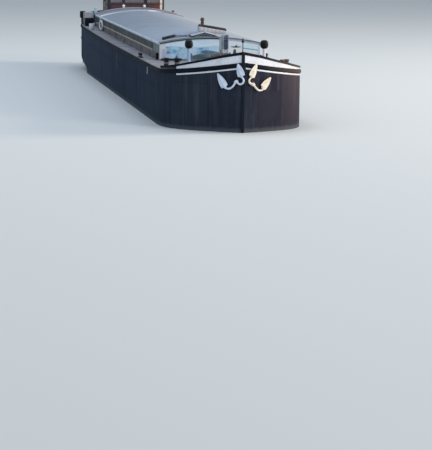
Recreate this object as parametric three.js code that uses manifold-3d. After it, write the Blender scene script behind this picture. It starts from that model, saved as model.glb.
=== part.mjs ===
// River cargo barge turned houseboat, full size, millimetres, +Z up.
// Bow toward -Y, port side +X, starboard side -X, flat bottom on z = 0.
import * as THREE from 'three';
import { mergeVertices } from 'three/addons/utils/BufferGeometryUtils.js';
import Module from 'manifold-3d';

const wasm = await Module();
wasm.setup();

// ---------------------------------------------------------------- driving dimensions (metres)
const MID = 19.14610;       // distance aft of the stem that lies at Y = 0
const GAP = 0.0003;         // clearance between pieces that touch
const HALF_BEAM = 2.485;    // half breadth over the side plating
const STRAKE_OUT = 0.04;    // how far the rubbing strake stands proud
const STERN = 38.40;        // aft end of the plating
const RUN0 = 31.0;          // where the stern run starts to narrow
const EAVE_Z = 3.331;       // roof edge
const ROOF_HALF = 1.917;    // half width of the hold roof
const WALL_HALF = 1.872;    // half width over the coamings
const FRONT = 8.08;         // front face of the hold house
const BAND = 30.53;         // white band across the roof
const COPING = 33.03;       // raised coping across the roof's aft end
const BACK = 33.20;         // aft end of the cabin roof
const CAMBER_F = 0.215, CAMBER_A = 0.275; // rise of the roof at its front and aft ends
const WH_HALF = 1.33;       // half width of the wheelhouse
const WH_F = 33.26, WH_A = 35.56;  // wheelhouse front and aft faces
const WH_T = 0.05;          // wheelhouse wall thickness
const WH_TOP = 4.78;        // top of the wheelhouse walls
const FLOOR_Z = 2.87;       // wheelhouse floor
const SILL = 3.86, HEAD = 4.62;    // wheelhouse windows, lower and upper edge
const DOOR = { s0: 34.55, s1: 35.30, z0: 2.90, z1: 4.70 }; // door openings in both wheelhouse sides
const PROP = { s: 35.93, z: 0.46, r: 0.38 };
const STOCK = { s: 36.75, r: 0.05, hole: 0.065 };

// plating in plan at deck level: s = distance aft of the stem, b = half breadth, deck = height of the deck edge
const PLAN = [
  { s: 0.05, b: 0.05, deck: 3.07 }, { s: 0.40, b: 0.665, deck: 2.97 }, { s: 0.75, b: 1.13, deck: 2.895 },
  { s: 1.15, b: 1.615, deck: 2.825 }, { s: 1.70, b: 2.06, deck: 2.76 }, { s: 2.30, b: 2.32, deck: 2.715 },
  { s: 2.90, b: 2.445, deck: 2.69 }, { s: 3.60, b: 2.485, deck: 2.675 }, { s: 5.0, b: 2.485, deck: 2.665 },
  { s: 8.0, b: 2.485, deck: 2.66 }, { s: 20.0, b: 2.485, deck: 2.66 }, { s: 26.0, b: 2.485, deck: 2.69 },
  { s: 31.0, b: 2.485, deck: 2.735 }, { s: 33.0, b: 2.485, deck: 2.76 }, { s: 34.2, b: 2.465, deck: 2.785 },
  { s: 34.7, b: 2.44, deck: 2.797 }, { s: 35.2, b: 2.385, deck: 2.81 }, { s: 36.1, b: 2.20, deck: 2.845 },
  { s: 36.9, b: 1.90, deck: 2.88 }, { s: 37.6, b: 1.44, deck: 2.92 }, { s: 38.05, b: 0.95, deck: 2.945 },
  { s: 38.36, b: 0.38, deck: 2.96 },
];
// levels of the hull below the deck: z, how far the forefoot is cut back, how far the bilge is drawn in,
// where the level ends aft, how much of it follows the narrow run (0 to 1) and how hollow that run is
const LEVELS = [
  { z: 0.00, foot: 0.50, bilge: 0.17, end: 35.34, run: 1, hollow: 2.0 },
  { z: 0.05, foot: 0.28, bilge: 0.06, end: 35.40, run: 1, hollow: 1.9 },
  { z: 0.17, foot: 0.12, bilge: 0.00, end: 35.43, run: 1, hollow: 1.7 },
  { z: 0.50, foot: 0.04, bilge: 0.00, end: 35.46, run: 1, hollow: 1.4 },
  { z: 0.85, foot: 0.00, bilge: 0.00, end: 35.50, run: 1, hollow: 1.0 },
  { z: 1.00, foot: 0.00, bilge: 0.00, end: 37.65, run: 0.25, hollow: 0.9 },
  { z: 1.30, foot: 0.00, bilge: 0.00, end: 38.25, run: 0, hollow: 1 },
];

// ---------------------------------------------------------------- helpers
const mm = (v) => v * 1000;
const Y = (s) => (s - MID) * 1000;

const COLORS = {
  hull: '#1d222b', black: '#14161a', white: '#dfe5ee', deck: '#75757b', roof: '#8391a2', coaming: '#5c5a5c',
  wood: '#6b3524', dark_wood: '#3c2118', grey: '#4a4f55', bronze: '#8a6b36', brown: '#5a382c', steel: '#767a7e',
};
const FINISH = {
  hull: [0.5, 0.1], black: [0.45, 0.2], white: [0.5, 0], deck: [0.85, 0], roof: [0.6, 0.1], coaming: [0.7, 0],
  wood: [0.35, 0], dark_wood: [0.4, 0], grey: [0.6, 0.2], bronze: [0.35, 0.8], brown: [0.7, 0.1], steel: [0.5, 0.6],
};

// positions only, shared vertices merged, flat triangles at poles dropped; done once, before a piece is placed
function bare(g) {
  if (g.userData.bare) return g;
  g = g.index ? g.toNonIndexed() : g.clone();
  for (const k of Object.keys(g.attributes)) if (k !== 'position') g.deleteAttribute(k);
  g = mergeVertices(g, 1e-3);
  const idx = g.index.array, keep = [];
  for (let t = 0; t < idx.length; t += 3) {
    const [a, b, c] = [idx[t], idx[t + 1], idx[t + 2]];
    if (a !== b && b !== c && a !== c) keep.push(a, b, c);
  }
  g.setIndex(keep);
  g.userData.bare = true;
  return g;
}
function placed(g, matrix) {
  g = bare(g);
  g.applyMatrix4(matrix);
  return g;
}
function solid(g) {
  g = bare(g);
  return new wasm.Manifold(new wasm.Mesh({
    numProp: 3,
    vertProperties: new Float32Array(g.attributes.position.array),
    triVerts: new Uint32Array(g.index.array),
  }));
}
function geometry(m) {
  const out = m.getMesh();
  const g = new THREE.BufferGeometry();
  g.setAttribute('position', new THREE.BufferAttribute(new Float32Array(out.vertProperties), 3));
  g.setIndex(new THREE.BufferAttribute(new Uint32Array(out.triVerts), 1));
  return g;
}
const at = (g, x, y, z, rx = 0, ry = 0, rz = 0) => placed(g, new THREE.Matrix4().compose(new THREE.Vector3(x, y, z),
  new THREE.Quaternion().setFromEuler(new THREE.Euler(rx, ry, rz, 'XYZ')), new THREE.Vector3(1, 1, 1)));
// outline drawn in (s, z) and extruded across the boat: turns it upright and puts its inner face at x (mm)
const across = (g, x) => placed(g, new THREE.Matrix4()
  .makeBasis(new THREE.Vector3(0, 1, 0), new THREE.Vector3(0, 0, 1), new THREE.Vector3(1, 0, 0)).setPosition(x, 0, 0));
// box between two corners given in metres as [x, s, z]
const box = (lo, hi) => at(new THREE.BoxGeometry(mm(hi[0] - lo[0]), mm(hi[1] - lo[1]), mm(hi[2] - lo[2])),
  mm((lo[0] + hi[0]) / 2), Y((lo[1] + hi[1]) / 2), mm((lo[2] + hi[2]) / 2));
// upright cylinder, metres
const post = (x, s, z0, z1, r0, r1 = r0, n = 16) =>
  at(new THREE.CylinderGeometry(mm(r1), mm(r0), mm(z1 - z0), n), mm(x), Y(s), mm((z0 + z1) / 2), Math.PI / 2);
// turned piece about an upright axis; profile rows are [r, z] in metres and start and end on the axis
const turned = (x, s, z, rows, n = 20) =>
  at(new THREE.LatheGeometry(rows.map(([r, h]) => new THREE.Vector2(mm(r), mm(h))), n), mm(x), Y(s), mm(z), Math.PI / 2);
// flat outline extruded; outline rows are [x, z] in metres, from s0 to s1
function plate(rows, s0, s1) {
  const shape = new THREE.Shape(rows.map(([x, z]) => new THREE.Vector2(mm(x), mm(z))));
  const g = new THREE.ExtrudeGeometry(shape, { depth: mm(s1 - s0), bevelEnabled: false });
  return at(g, 0, Y(s1), 0, Math.PI / 2);
}

// rings of equal length joined in turn, both ends closed (each ring convex enough for a fan)
function loft(rings, capTris) {
  const n = rings[0].length, pos = [], idx = [];
  for (const r of rings) for (const p of r) pos.push(p[0], p[1], p[2]);
  for (let k = 0; k + 1 < rings.length; k++) {
    for (let i = 0; i < n; i++) {
      const a = k * n + i, b = k * n + (i + 1) % n, c = a + n, d = b + n;
      idx.push(a, b, d, a, d, c);
    }
  }
  const last = (rings.length - 1) * n;
  for (const [a, b, c] of capTris) { idx.push(a, c, b); idx.push(last + a, last + b, last + c); }
  const g = new THREE.BufferGeometry();
  g.setAttribute('position', new THREE.BufferAttribute(new Float32Array(pos), 3));
  g.setIndex(idx);
  // turn the faces out if the volume comes out negative
  let vol = 0;
  for (let t = 0; t < idx.length; t += 3) {
    const [a, b, c] = [0, 1, 2].map((j) => new THREE.Vector3().fromArray(pos, idx[t + j] * 3));
    vol += a.dot(b.cross(c));
  }
  if (vol < 0) { for (let t = 0; t < idx.length; t += 3) [idx[t + 1], idx[t + 2]] = [idx[t + 2], idx[t + 1]]; g.setIndex(idx); }
  g.userData.bare = true;
  return g;
}
const fan = (n) => Array.from({ length: n - 2 }, (_, i) => [0, i + 1, i + 2]);

const group = new THREE.Group();
const add = (name, g, color) => {
  const [roughness, metalness] = FINISH[color];
  const geo = g.isBufferGeometry ? bare(g) : geometry(g);
  const mesh = new THREE.Mesh(geo, new THREE.MeshStandardMaterial({ color: COLORS[color], roughness, metalness }));
  mesh.name = name;
  group.add(mesh);
  return mesh;
};

// ---------------------------------------------------------------- hull
const mix = (a, b, t) => a + (b - a) * t;
const planAt = (s, key) => {
  let i = 0;
  while (i < PLAN.length - 2 && PLAN[i + 1].s < s) i++;
  const p = PLAN[i], q = PLAN[i + 1];
  return mix(p[key], q[key], Math.min(1, Math.max(0, (s - p.s) / (q.s - p.s))));
};
const deckZ = (s) => planAt(s, 'deck');

function hullRing(level) {
  const port = PLAN.map(({ s, b, deck }) => {
    if (!level) return [b, s, deck];
    const narrow = b - level.bilge * Math.min(1, b / 1.2);
    let x = Math.max(0.05, narrow), y = s;
    if (s < 3.6) y = s + level.foot * (1 - s / 3.6);
    if (s > RUN0) {
      const t = (s - RUN0) / (38.36 - RUN0);
      const run = 0.085 + (HALF_BEAM - level.bilge - 0.085) * Math.pow(Math.max(0, 1 - t * t), level.hollow);
      x = mix(x, run, level.run);
      y = RUN0 + (level.end - RUN0) * t;
    }
    return [x, y, level.z];
  });
  const end = level ? level.end + 0.04 * (1 - level.run) + 0.0005 : STERN;
  const ring = port.map(([x, y, z]) => [mm(x), Y(y), mm(z)]);
  ring.push([0, Y(end), mm(level ? level.z : 2.965)]);
  for (let i = port.length - 1; i >= 0; i--) ring.push([-mm(port[i][0]), Y(port[i][1]), mm(port[i][2])]);
  return ring;
}
const N = PLAN.length * 2 + 1;
const hullCap = [];
for (let i = 0; i < PLAN.length - 1; i++) {
  const a = i, b = i + 1, c = N - 2 - i, d = N - 1 - i;
  hullCap.push([a, b, c], [a, c, d]);
}
hullCap.push([PLAN.length - 1, PLAN.length, PLAN.length + 1]);
const hullRaw = solid(loft([...LEVELS.map(hullRing), hullRing(null)], hullCap));
const hull = hullRaw
  .subtract(solid(post(0, STOCK.s, 0.5, 3.3, STOCK.hole, STOCK.hole, 16)))
  .subtract(solid(at(new THREE.CylinderGeometry(52, 52, 500, 16), 0, Y(35.33), mm(PROP.z))));
add('hull', hull, 'hull');
const hullUp = hullRaw.translate([0, 0, mm(GAP)]);
// a piece that stands on the deck, cut to the deck's slope
const onDeck = (m) => (m.isBufferGeometry ? solid(m) : m).subtract(hullUp);

// stem bar, a vertical flat bar whose back follows the plating
const stemRing = (z) => [[-55, Y(0), mm(z)], [55, Y(0), mm(z)], [55, Y(0.0497), mm(z)], [-55, Y(0.0497), mm(z)]];
add('stem_bar', loft([stemRing(0.55), stemRing(3.405)], fan(4)), 'black');

// heel bar that carries the foot of the rudder
add('rudder_heel', solid(box([-0.06, 35.36, 0], [0.06, 36.86, 0.06])).subtract(hullRaw.translate([0, mm(GAP), 0])), 'black');

// ---------------------------------------------------------------- strake, bulwarks and rails that follow the plan
// path along the plan from s0 on port round the bow (or the stern) to s0 on starboard
function planPath(inset, from, to, centre) {
  // outward normals by neighbouring points of the whole plan
  const pts = PLAN.filter(({ s }) => s > from - 1e-6 && s < to + 1e-6);
  const list = pts.map((p) => {
    const i = PLAN.indexOf(p), a = PLAN[Math.max(0, i - 1)], b = PLAN[Math.min(PLAN.length - 1, i + 1)];
    const len = Math.hypot(b.s - a.s, b.b - a.b);
    const nx = (b.s - a.s) / len, ns = -(b.b - a.b) / len;
    return { x: p.b - nx * inset, s: p.s - ns * inset, nx, ns, deck: p.deck };
  });
  return { list, centre };
}
// section rows: [out, up] from the deck edge, metres; f(p) may change them along the path
function sweep(from, to, section, ends) {
  const { list } = planPath(0, from, to);
  const ring = (p, side) => section(p).map(([o, u]) => [side * mm(p.x + p.nx * o), Y(p.s + p.ns * o), mm(p.deck + u)]);
  const rings = [];
  if (ends === 'bow') {
    for (let i = list.length - 1; i >= 1; i--) rings.push(ring(list[i], 1));
    const c = { x: 0, s: 0.05, nx: 0, ns: -1.16, deck: 3.07 };
    rings.push(ring(c, 1));
    for (let i = 1; i < list.length; i++) rings.push(ring(list[i], -1));
  } else {
    for (const p of list) rings.push(ring(p, 1));
    rings.push(ring({ x: 0, s: 38.40, nx: 0, ns: 1.0, deck: 2.965 }, 1));
    for (let i = list.length - 1; i >= 0; i--) rings.push(ring(list[i], -1));
  }
  return loft(rings, fan(rings[0].length));
}
const outOf = (g) => solid(g).subtract(hullUp);
// rubbing strake: from one side of the stem round the stern to the other side
add('rubbing_strake', sweep(0.40, 38.37, () => [
  [GAP, -0.012], [STRAKE_OUT * 0.8, -0.03], [STRAKE_OUT, -0.05], [STRAKE_OUT, -0.105], [STRAKE_OUT * 0.8, -0.125], [GAP, -0.143]], 'stern'), 'black');
// the piece of strake between the stem bar and the first point of the long one, on both sides
for (const [name, side] of [['bow_strake_starboard', -1], ['bow_strake_port', 1]]) {
  const d = [0.615, 0.35], len = Math.hypot(...d), nx = d[1] / len, ns = -d[0] / len;
  const rows = [[GAP, -0.012], [STRAKE_OUT * 0.8, -0.03], [STRAKE_OUT, -0.05], [STRAKE_OUT, -0.105], [STRAKE_OUT * 0.8, -0.125], [GAP, -0.143]];
  const at0 = (t) => rows.map(([o, u]) => {
    const x = 0.05 + d[0] * t + nx * o, s = 0.05 + d[1] * t + ns * o;
    return [side * mm(x), Y(s), mm(mix(3.07, 2.97, t) + u)];
  });
  add(name, solid(loft([at0(0.05), at0(0.93)], fan(6))).subtract(solid(box([-0.0553, -0.1, 0], [0.0553, 0.2, 4]))), 'black');
}
// bow bulwark: painted plate, 0.35 m high at the stem, running out past the shoulders
const topOf = (p) => ({ 0.05: 0.295, 0.40: 0.275, 0.75: 0.23, 1.15: 0.18, 1.70: 0.12, 2.30: 0.09, 2.90: 0.07 }[p.s] ?? 0.06);
const bowWall = outOf(sweep(0.05, 2.95, (p) => [[-0.008, -0.05], [-0.008, topOf(p)], [-0.038, topOf(p)], [-0.038, -0.05]], 'bow'));
add('bow_bulwark', bowWall, 'white');
add('bow_rail', solid(sweep(0.05, 2.95, (p) => [[0.016, topOf(p) + 0.004], [0.016, topOf(p) + 0.04], [-0.062, topOf(p) + 0.04], [-0.062, topOf(p) + 0.004]], 'bow'))
  .subtract(bowWall.translate([0, 0, 0.5]))
  .subtract(solid(box([-0.056, -0.1, 0], [0.056, 0.0501, 4]))), 'black');
// stern bulwark and its rail
const sternTop = (p) => ({ 34.2: 0.05, 34.7: 0.07, 35.2: 0.34 }[p.s] ?? 0.36);
const sternWall = outOf(sweep(34.2, 38.37, (p) => [[-0.01, -0.06], [-0.01, sternTop(p)], [-0.045, sternTop(p)], [-0.045, -0.06]], 'stern'));
add('stern_bulwark', sternWall, 'black');
add('stern_rail', solid(sweep(34.2, 38.37, (p) => [[0.02, sternTop(p) + 0.004], [0.02, sternTop(p) + 0.05], [-0.075, sternTop(p) + 0.05], [-0.075, sternTop(p) + 0.004]], 'stern'))
  .subtract(sternWall.translate([0, 0, 0.5])), 'black');

// ---------------------------------------------------------------- hold house: coamings, bulkheads, arched roof
const arch = (camber, half, drop, n = 12) => Array.from({ length: n + 1 }, (_, i) => {
  const x = half * (1 - 2 * i / n);
  return [x, EAVE_Z - drop + camber * (1 - (x / ROOF_HALF) ** 2)];
});
const camberAt = (s) => mix(CAMBER_F, CAMBER_A, (s - FRONT) / (BACK - FRONT));
// roof piece from s0 to s1, raised by lift, with a lip down to the fascia's lower edge
function roofPiece(s0, s1, lift, lip, out = 0) {
  const ring = (s) => {
    const top = arch(camberAt(s), ROOF_HALF + out, -lift), under = arch(camberAt(s), ROOF_HALF - 0.05, 0.045);
    const z = EAVE_Z - lip;
    const rows = [...top, [-(ROOF_HALF + out), z], [-(ROOF_HALF - 0.05), z], ...under.reverse(), [ROOF_HALF - 0.05, z], [ROOF_HALF + out, z]];
    return rows.map(([x, h]) => [mm(x), Y(s), mm(h)]);
  };
  const rings = [ring(s0), ring(s1)];
  const flat = rings[0].map((p) => new THREE.Vector2(p[0], p[2]));
  const tris = THREE.ShapeUtils.triangulateShape(flat, []);
  return loft(rings, tris);
}
add('hold_roof', roofPiece(FRONT - 0.06, BAND, 0, 0.10), 'roof');
add('roof_band', roofPiece(BAND + GAP, BAND + 0.14, 0.035, 0.10, 0.012), 'white');
add('cabin_roof', roofPiece(BAND + 0.14 + GAP, COPING - GAP, 0, 0.10), 'roof');
add('roof_coping', roofPiece(COPING, BACK, 0.07, 0.10, 0.012), 'brown');
const COAM_IN = WALL_HALF - 0.06;
for (const [name, side] of [['coaming_starboard', -1], ['coaming_port', 1]]) {
  const x0 = Math.min(side * WALL_HALF, side * COAM_IN), x1 = Math.max(side * WALL_HALF, side * COAM_IN);
  // wall with a half-round guard along it
  const wall = solid(box([x0, FRONT + 0.0603, 2.5], [x1, BACK - 0.0603, EAVE_Z - 0.1003]));
  const g0 = side * (WALL_HALF - 0.01), g1 = side * (WALL_HALF + 0.03);
  const guard = solid(box([Math.min(g0, g1), FRONT + 0.0603, 2.915], [Math.max(g0, g1), BACK - 0.0603, 2.965]));
  add(name, onDeck(wall.add(guard)), 'coaming');
}
const bulkhead = (s0, s1, camber) => {
  const top = arch(camber, WALL_HALF, 0.0455);
  const rows = [[-WALL_HALF, 2.5], [WALL_HALF, 2.5], [WALL_HALF, EAVE_Z - 0.1003], [ROOF_HALF - 0.0504, EAVE_Z - 0.1003],
    ...arch(camber, ROOF_HALF - 0.0504, 0.0455), [-(ROOF_HALF - 0.0504), EAVE_Z - 0.1003], [-WALL_HALF, EAVE_Z - 0.1003]];
  return onDeck(plate(rows, s0, s1));
};
add('front_bulkhead', bulkhead(FRONT, FRONT + 0.06, camberAt(FRONT - 0.06) - 0.0006), 'white');
add('aft_bulkhead', bulkhead(BACK - 0.06, BACK, camberAt(BACK - 0.06) - 0.0006), 'white');

// hatch house with a low gabled top on the roof's front edge, two leaves hinged along the ridge
const SKY = { x: -0.20, half: 0.50, s0: 8.12, s1: 9.12, eave: 3.585, ridge: 3.715 };
const skyRows = [[SKY.x - SKY.half + 0.03, 3.3], [SKY.x + SKY.half - 0.03, 3.3], [SKY.x + SKY.half - 0.03, SKY.eave - 0.02],
  [SKY.x, SKY.ridge - 0.028], [SKY.x - SKY.half + 0.03, SKY.eave - 0.02]];
// everything under the roof's top surface, to cut what stands on the roof
const roofCut = solid(loft([FRONT - 0.06, BAND].map((s) => [...arch(camberAt(s), ROOF_HALF, -GAP), [-ROOF_HALF, 2.9], [ROOF_HALF, 2.9]]
  .map(([x, z]) => [mm(x), Y(s), mm(z)])), fan(15)));
add('skylight_base', solid(plate(skyRows, SKY.s0, SKY.s1))
  .subtract(solid(box([SKY.x - SKY.half + 0.07, SKY.s0 + 0.05, 3.2], [SKY.x + SKY.half - 0.07, SKY.s1 - 0.05, 4])))
  .subtract(roofCut), 'grey');
const slope = Math.atan2(SKY.ridge - SKY.eave, SKY.half);
for (const [name, side] of [['skylight_leaf_starboard', -1], ['skylight_leaf_port', 1]]) {
  const e0 = 0.012, e1 = SKY.half / Math.cos(slope);
  const rows = [[e0, 0], [e1, 0], [e1, 0.03], [e0, 0.03]].map(([e, h]) => [
    SKY.x + side * (e * Math.cos(slope) + h * Math.sin(slope)), SKY.ridge - 0.02 - e * Math.sin(slope) + h * Math.cos(slope)]);
  if (side < 0) rows.reverse();
  add(name, plate(rows, SKY.s0 - 0.03, SKY.s1 + 0.03), 'white');
}
// stove chimney on the roof, behind the low box
add('stovepipe', solid(turned(0.21, 11.75, 0, [[0, 3.4], [0.066, 3.4], [0.066, 3.92], [0.045, 3.935], [0.045, 3.975], [0.072, 3.99], [0.078, 4.03],
  [0.062, 4.08], [0, 4.10]], 16)).subtract(roofCut), 'brown');
// short dark roll and a low chest lying on the roof by the starboard front corner
add('roof_roll', solid(at(new THREE.CylinderGeometry(60, 60, 470, 12), mm(-1.485), Y(8.75), mm(3.468), 0, 0, Math.PI / 2 - 0.14)).subtract(roofCut), 'black');
add('roof_chest', solid(box([-1.20, 8.70, 3.2], [-0.76, 9.30, 3.585])).subtract(roofCut), 'grey');
// low box with a sloping lid across the port half
add('roof_box', solid(plate([[-0.05, 3.3], [1.04, 3.3], [1.04, 3.71], [-0.05, 3.89]], 10.85, 11.35)).subtract(roofCut), 'brown');
// two small mushroom vents on the coping
const copingCut = solid(loft([COPING, BACK].map((s) => [...arch(camberAt(s), ROOF_HALF, -(0.07 + GAP)), [-ROOF_HALF, 2.9], [ROOF_HALF, 2.9]]
  .map(([x, z]) => [mm(x), Y(s), mm(z)])), fan(15)));
for (const [name, x] of [['cabin_vent_starboard', -0.60], ['cabin_vent_port', 0.38]]) {
  add(name, solid(turned(x, 33.115, 0, [[0, 3.5], [0.036, 3.5], [0.036, 3.70], [0.080, 3.715], [0.076, 3.74], [0.036, 3.79], [0, 3.80]], 16)).subtract(copingCut), 'white');
}

// ---------------------------------------------------------------- foredeck
const VENT = { s: 3.9, x: 1.34 };
for (const [name, side] of [['vent_starboard', -1], ['vent_port', 1]]) {
  add(name, onDeck(turned(side * VENT.x, VENT.s, 0, [[0, 2.6], [0.11, 2.6], [0.11, 2.705], [0.055, 2.72], [0.055, 3.325], [0.09, 3.335],
    [0.138, 3.385], [0.148, 3.475], [0.136, 3.565], [0.09, 3.62], [0, 3.64]], 18)), 'white');
}
add('mast_tabernacle', onDeck(solid(box([-0.11, 4.18, 2.6], [0.11, 4.42, 3.80])).subtract(solid(box([-0.07, 4.1, 2.90], [0.07, 4.36, 3.9])))), 'grey');
// jackstaff just behind the stem
add('jackstaff', onDeck(turned(0, 0.17, 0, [[0, 2.9], [0.03, 2.9], [0.03, 3.42], [0.012, 3.45], [0.011, 3.72], [0.045, 3.735], [0.05, 3.775],
  [0.03, 3.81], [0.009, 3.82], [0.008, 3.90], [0, 3.902]], 10)), 'grey');
// windlass: two cheeks on a bed, cross shaft with drums and a large gear wheel
const WIND = { s: 3.05, z: 3.11 };
{
  const bed = solid(box([-0.52, 2.72, 2.6], [0.52, 3.40, 2.775]));
  let frame = bed;
  for (const x of [-0.40, 0.34]) {
    const cheek = [[2.78, 2.6], [3.34, 2.6], [3.20, 3.20], [2.92, 3.20]];
    const shape = new THREE.Shape(cheek.map(([s, z]) => new THREE.Vector2(Y(s), mm(z))));
    frame = frame.add(solid(across(new THREE.ExtrudeGeometry(shape, { depth: 60, bevelEnabled: false }), mm(x))));
  }
  const hole = solid(at(new THREE.CylinderGeometry(44, 44, 1200, 16), 0, Y(WIND.s), mm(WIND.z), 0, 0, Math.PI / 2));
  add('windlass_frame', onDeck(frame.subtract(hole)), 'grey');
  // barrel profile along X: rows are [r, x]
  const rows = [[0, -0.66], [0.12, -0.66], [0.12, -0.645], [0.085, -0.60], [0.085, -0.50], [0.12, -0.455], [0.12, -0.44], [0.036, -0.43], [0.036, -0.30],
    [0.14, -0.29], [0.14, -0.26], [0.09, -0.22], [0.09, -0.06], [0.14, -0.02], [0.14, 0.01], [0.07, 0.03], [0.07, 0.12], [0.25, 0.13], [0.25, 0.19],
    [0.07, 0.20], [0.036, 0.26], [0.036, 0.44], [0.12, 0.45], [0.12, 0.465], [0.085, 0.51], [0.085, 0.61], [0.12, 0.655], [0.12, 0.67], [0, 0.67]];
  const barrel = new THREE.LatheGeometry(rows.map(([r, x]) => new THREE.Vector2(mm(r), mm(x))), 20);
  add('windlass_barrel', at(barrel, 0, Y(WIND.s), mm(WIND.z), 0, 0, -Math.PI / 2), 'brown');
}
// forepeak hatch: rim and a lid hinged at its forward edge
const HATCHES = [
  { name: 'forepeak_hatch', x: 0, s0: 5.55, s1: 6.35, half: 0.42, base: 2.5, rim: 2.90 },
  { name: 'engine_hatch', x: 0, s0: 35.86, s1: 36.42, half: 0.36, base: 2.6, rim: 3.02 },
];
for (const h of HATCHES) {
  add(`${h.name}_rim`, onDeck(solid(box([h.x - h.half, h.s0, h.base], [h.x + h.half, h.s1, h.rim]))
    .subtract(solid(box([h.x - h.half + 0.04, h.s0 + 0.04, h.base - 0.1], [h.x + h.half - 0.04, h.s1 - 0.04, h.rim + 0.1])))), 'grey');
  add(`${h.name}_lid`, box([h.x - h.half - 0.03, h.s0 - 0.03, h.rim + GAP], [h.x + h.half + 0.03, h.s1 + 0.03, h.rim + 0.045]), 'grey');
}
// double bollards on a foot plate: x, s, length along the boat (dir 1) or across (dir 0), spread, post radius, height
const BOLLARDS = [
  { name: 'bollard_bow_port', x: 1.77, s: 2.15, along: 0.55, spread: 0.15, r: 0.075, h: 0.34 },
  { name: 'bollard_bow_starboard', x: -1.87, s: 4.5, along: 0.18, spread: 0.19, r: 0.085, h: 0.30 },
  { name: 'bollard_side_starboard', x: -2.385, s: 9.9, along: 1, spread: 0.13, r: 0.055, h: 0.17 },
  { name: 'bollard_side_port', x: 2.385, s: 9.9, along: 1, spread: 0.13, r: 0.055, h: 0.17 },
  { name: 'bollard_stern_starboard', x: -1.62, s: 36.1, along: 0.7, spread: 0.17, r: 0.075, h: 0.30 },
  { name: 'bollard_stern_port', x: 1.62, s: 36.1, along: 0.7, spread: 0.17, r: 0.075, h: 0.30 },
];
for (const b of BOLLARDS) {
  const side = Math.sign(b.x);
  const dir = new THREE.Vector2(side * (1 - b.along), b.along).normalize();
  const s0 = b.name.includes('stern') ? -1 : 1; // at the stern the pair follows the plan inwards going aft
  const dx = dir.x * b.spread, ds = dir.y * b.spread * s0;
  const z = deckZ(b.s);
  const ang = Math.atan2(ds, dx);
  let m = solid(at(new THREE.BoxGeometry(mm(b.spread * 2 + 0.24), mm(b.r * 2 + 0.08), 150), mm(b.x), Y(b.s), mm(z) - 50, 0, 0, ang));
  for (const k of [-1, 1]) {
    m = m.add(solid(turned(b.x + k * dx, b.s + k * ds, z - 0.1, [[0, 0], [b.r, 0], [b.r, b.h + 0.055], [b.r * 1.22, b.h + 0.07], [b.r * 1.22, b.h + 0.095],
      [b.r * 0.9, b.h + 0.1], [0, b.h + 0.1]], 14)));
  }
  add(b.name, onDeck(m), 'black');
}

// ---------------------------------------------------------------- anchors stowed flat on the bow plating
// every point is [a, z]: a = distance outboard along the plating from its corner at the stem, z = height (m)
const ANCHORS = [
  { name: 'anchor_starboard', side: -1, knob: [0.148, 2.43],
    inner: { tip: [0.098, 3.044], base: [-0.045, 2.60], arm: [[-0.118, 2.50], [-0.080, 2.385], [0.035, 2.355]] },
    outer: { tip: [0.827, 2.690], base: [0.630, 2.285], arm: [[0.525, 2.205], [0.385, 2.195], [0.255, 2.285]] } },
  { name: 'anchor_port', side: 1, knob: [0.275, 2.34],
    inner: { tip: [0.450, 3.035], base: [0.205, 2.580], arm: [[0.118, 2.50], [0.125, 2.41], [0.190, 2.36]] },
    outer: { tip: [1.062, 2.550], base: [0.800, 2.225], arm: [[0.670, 2.135], [0.515, 2.135], [0.385, 2.235]] } },
];
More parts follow.
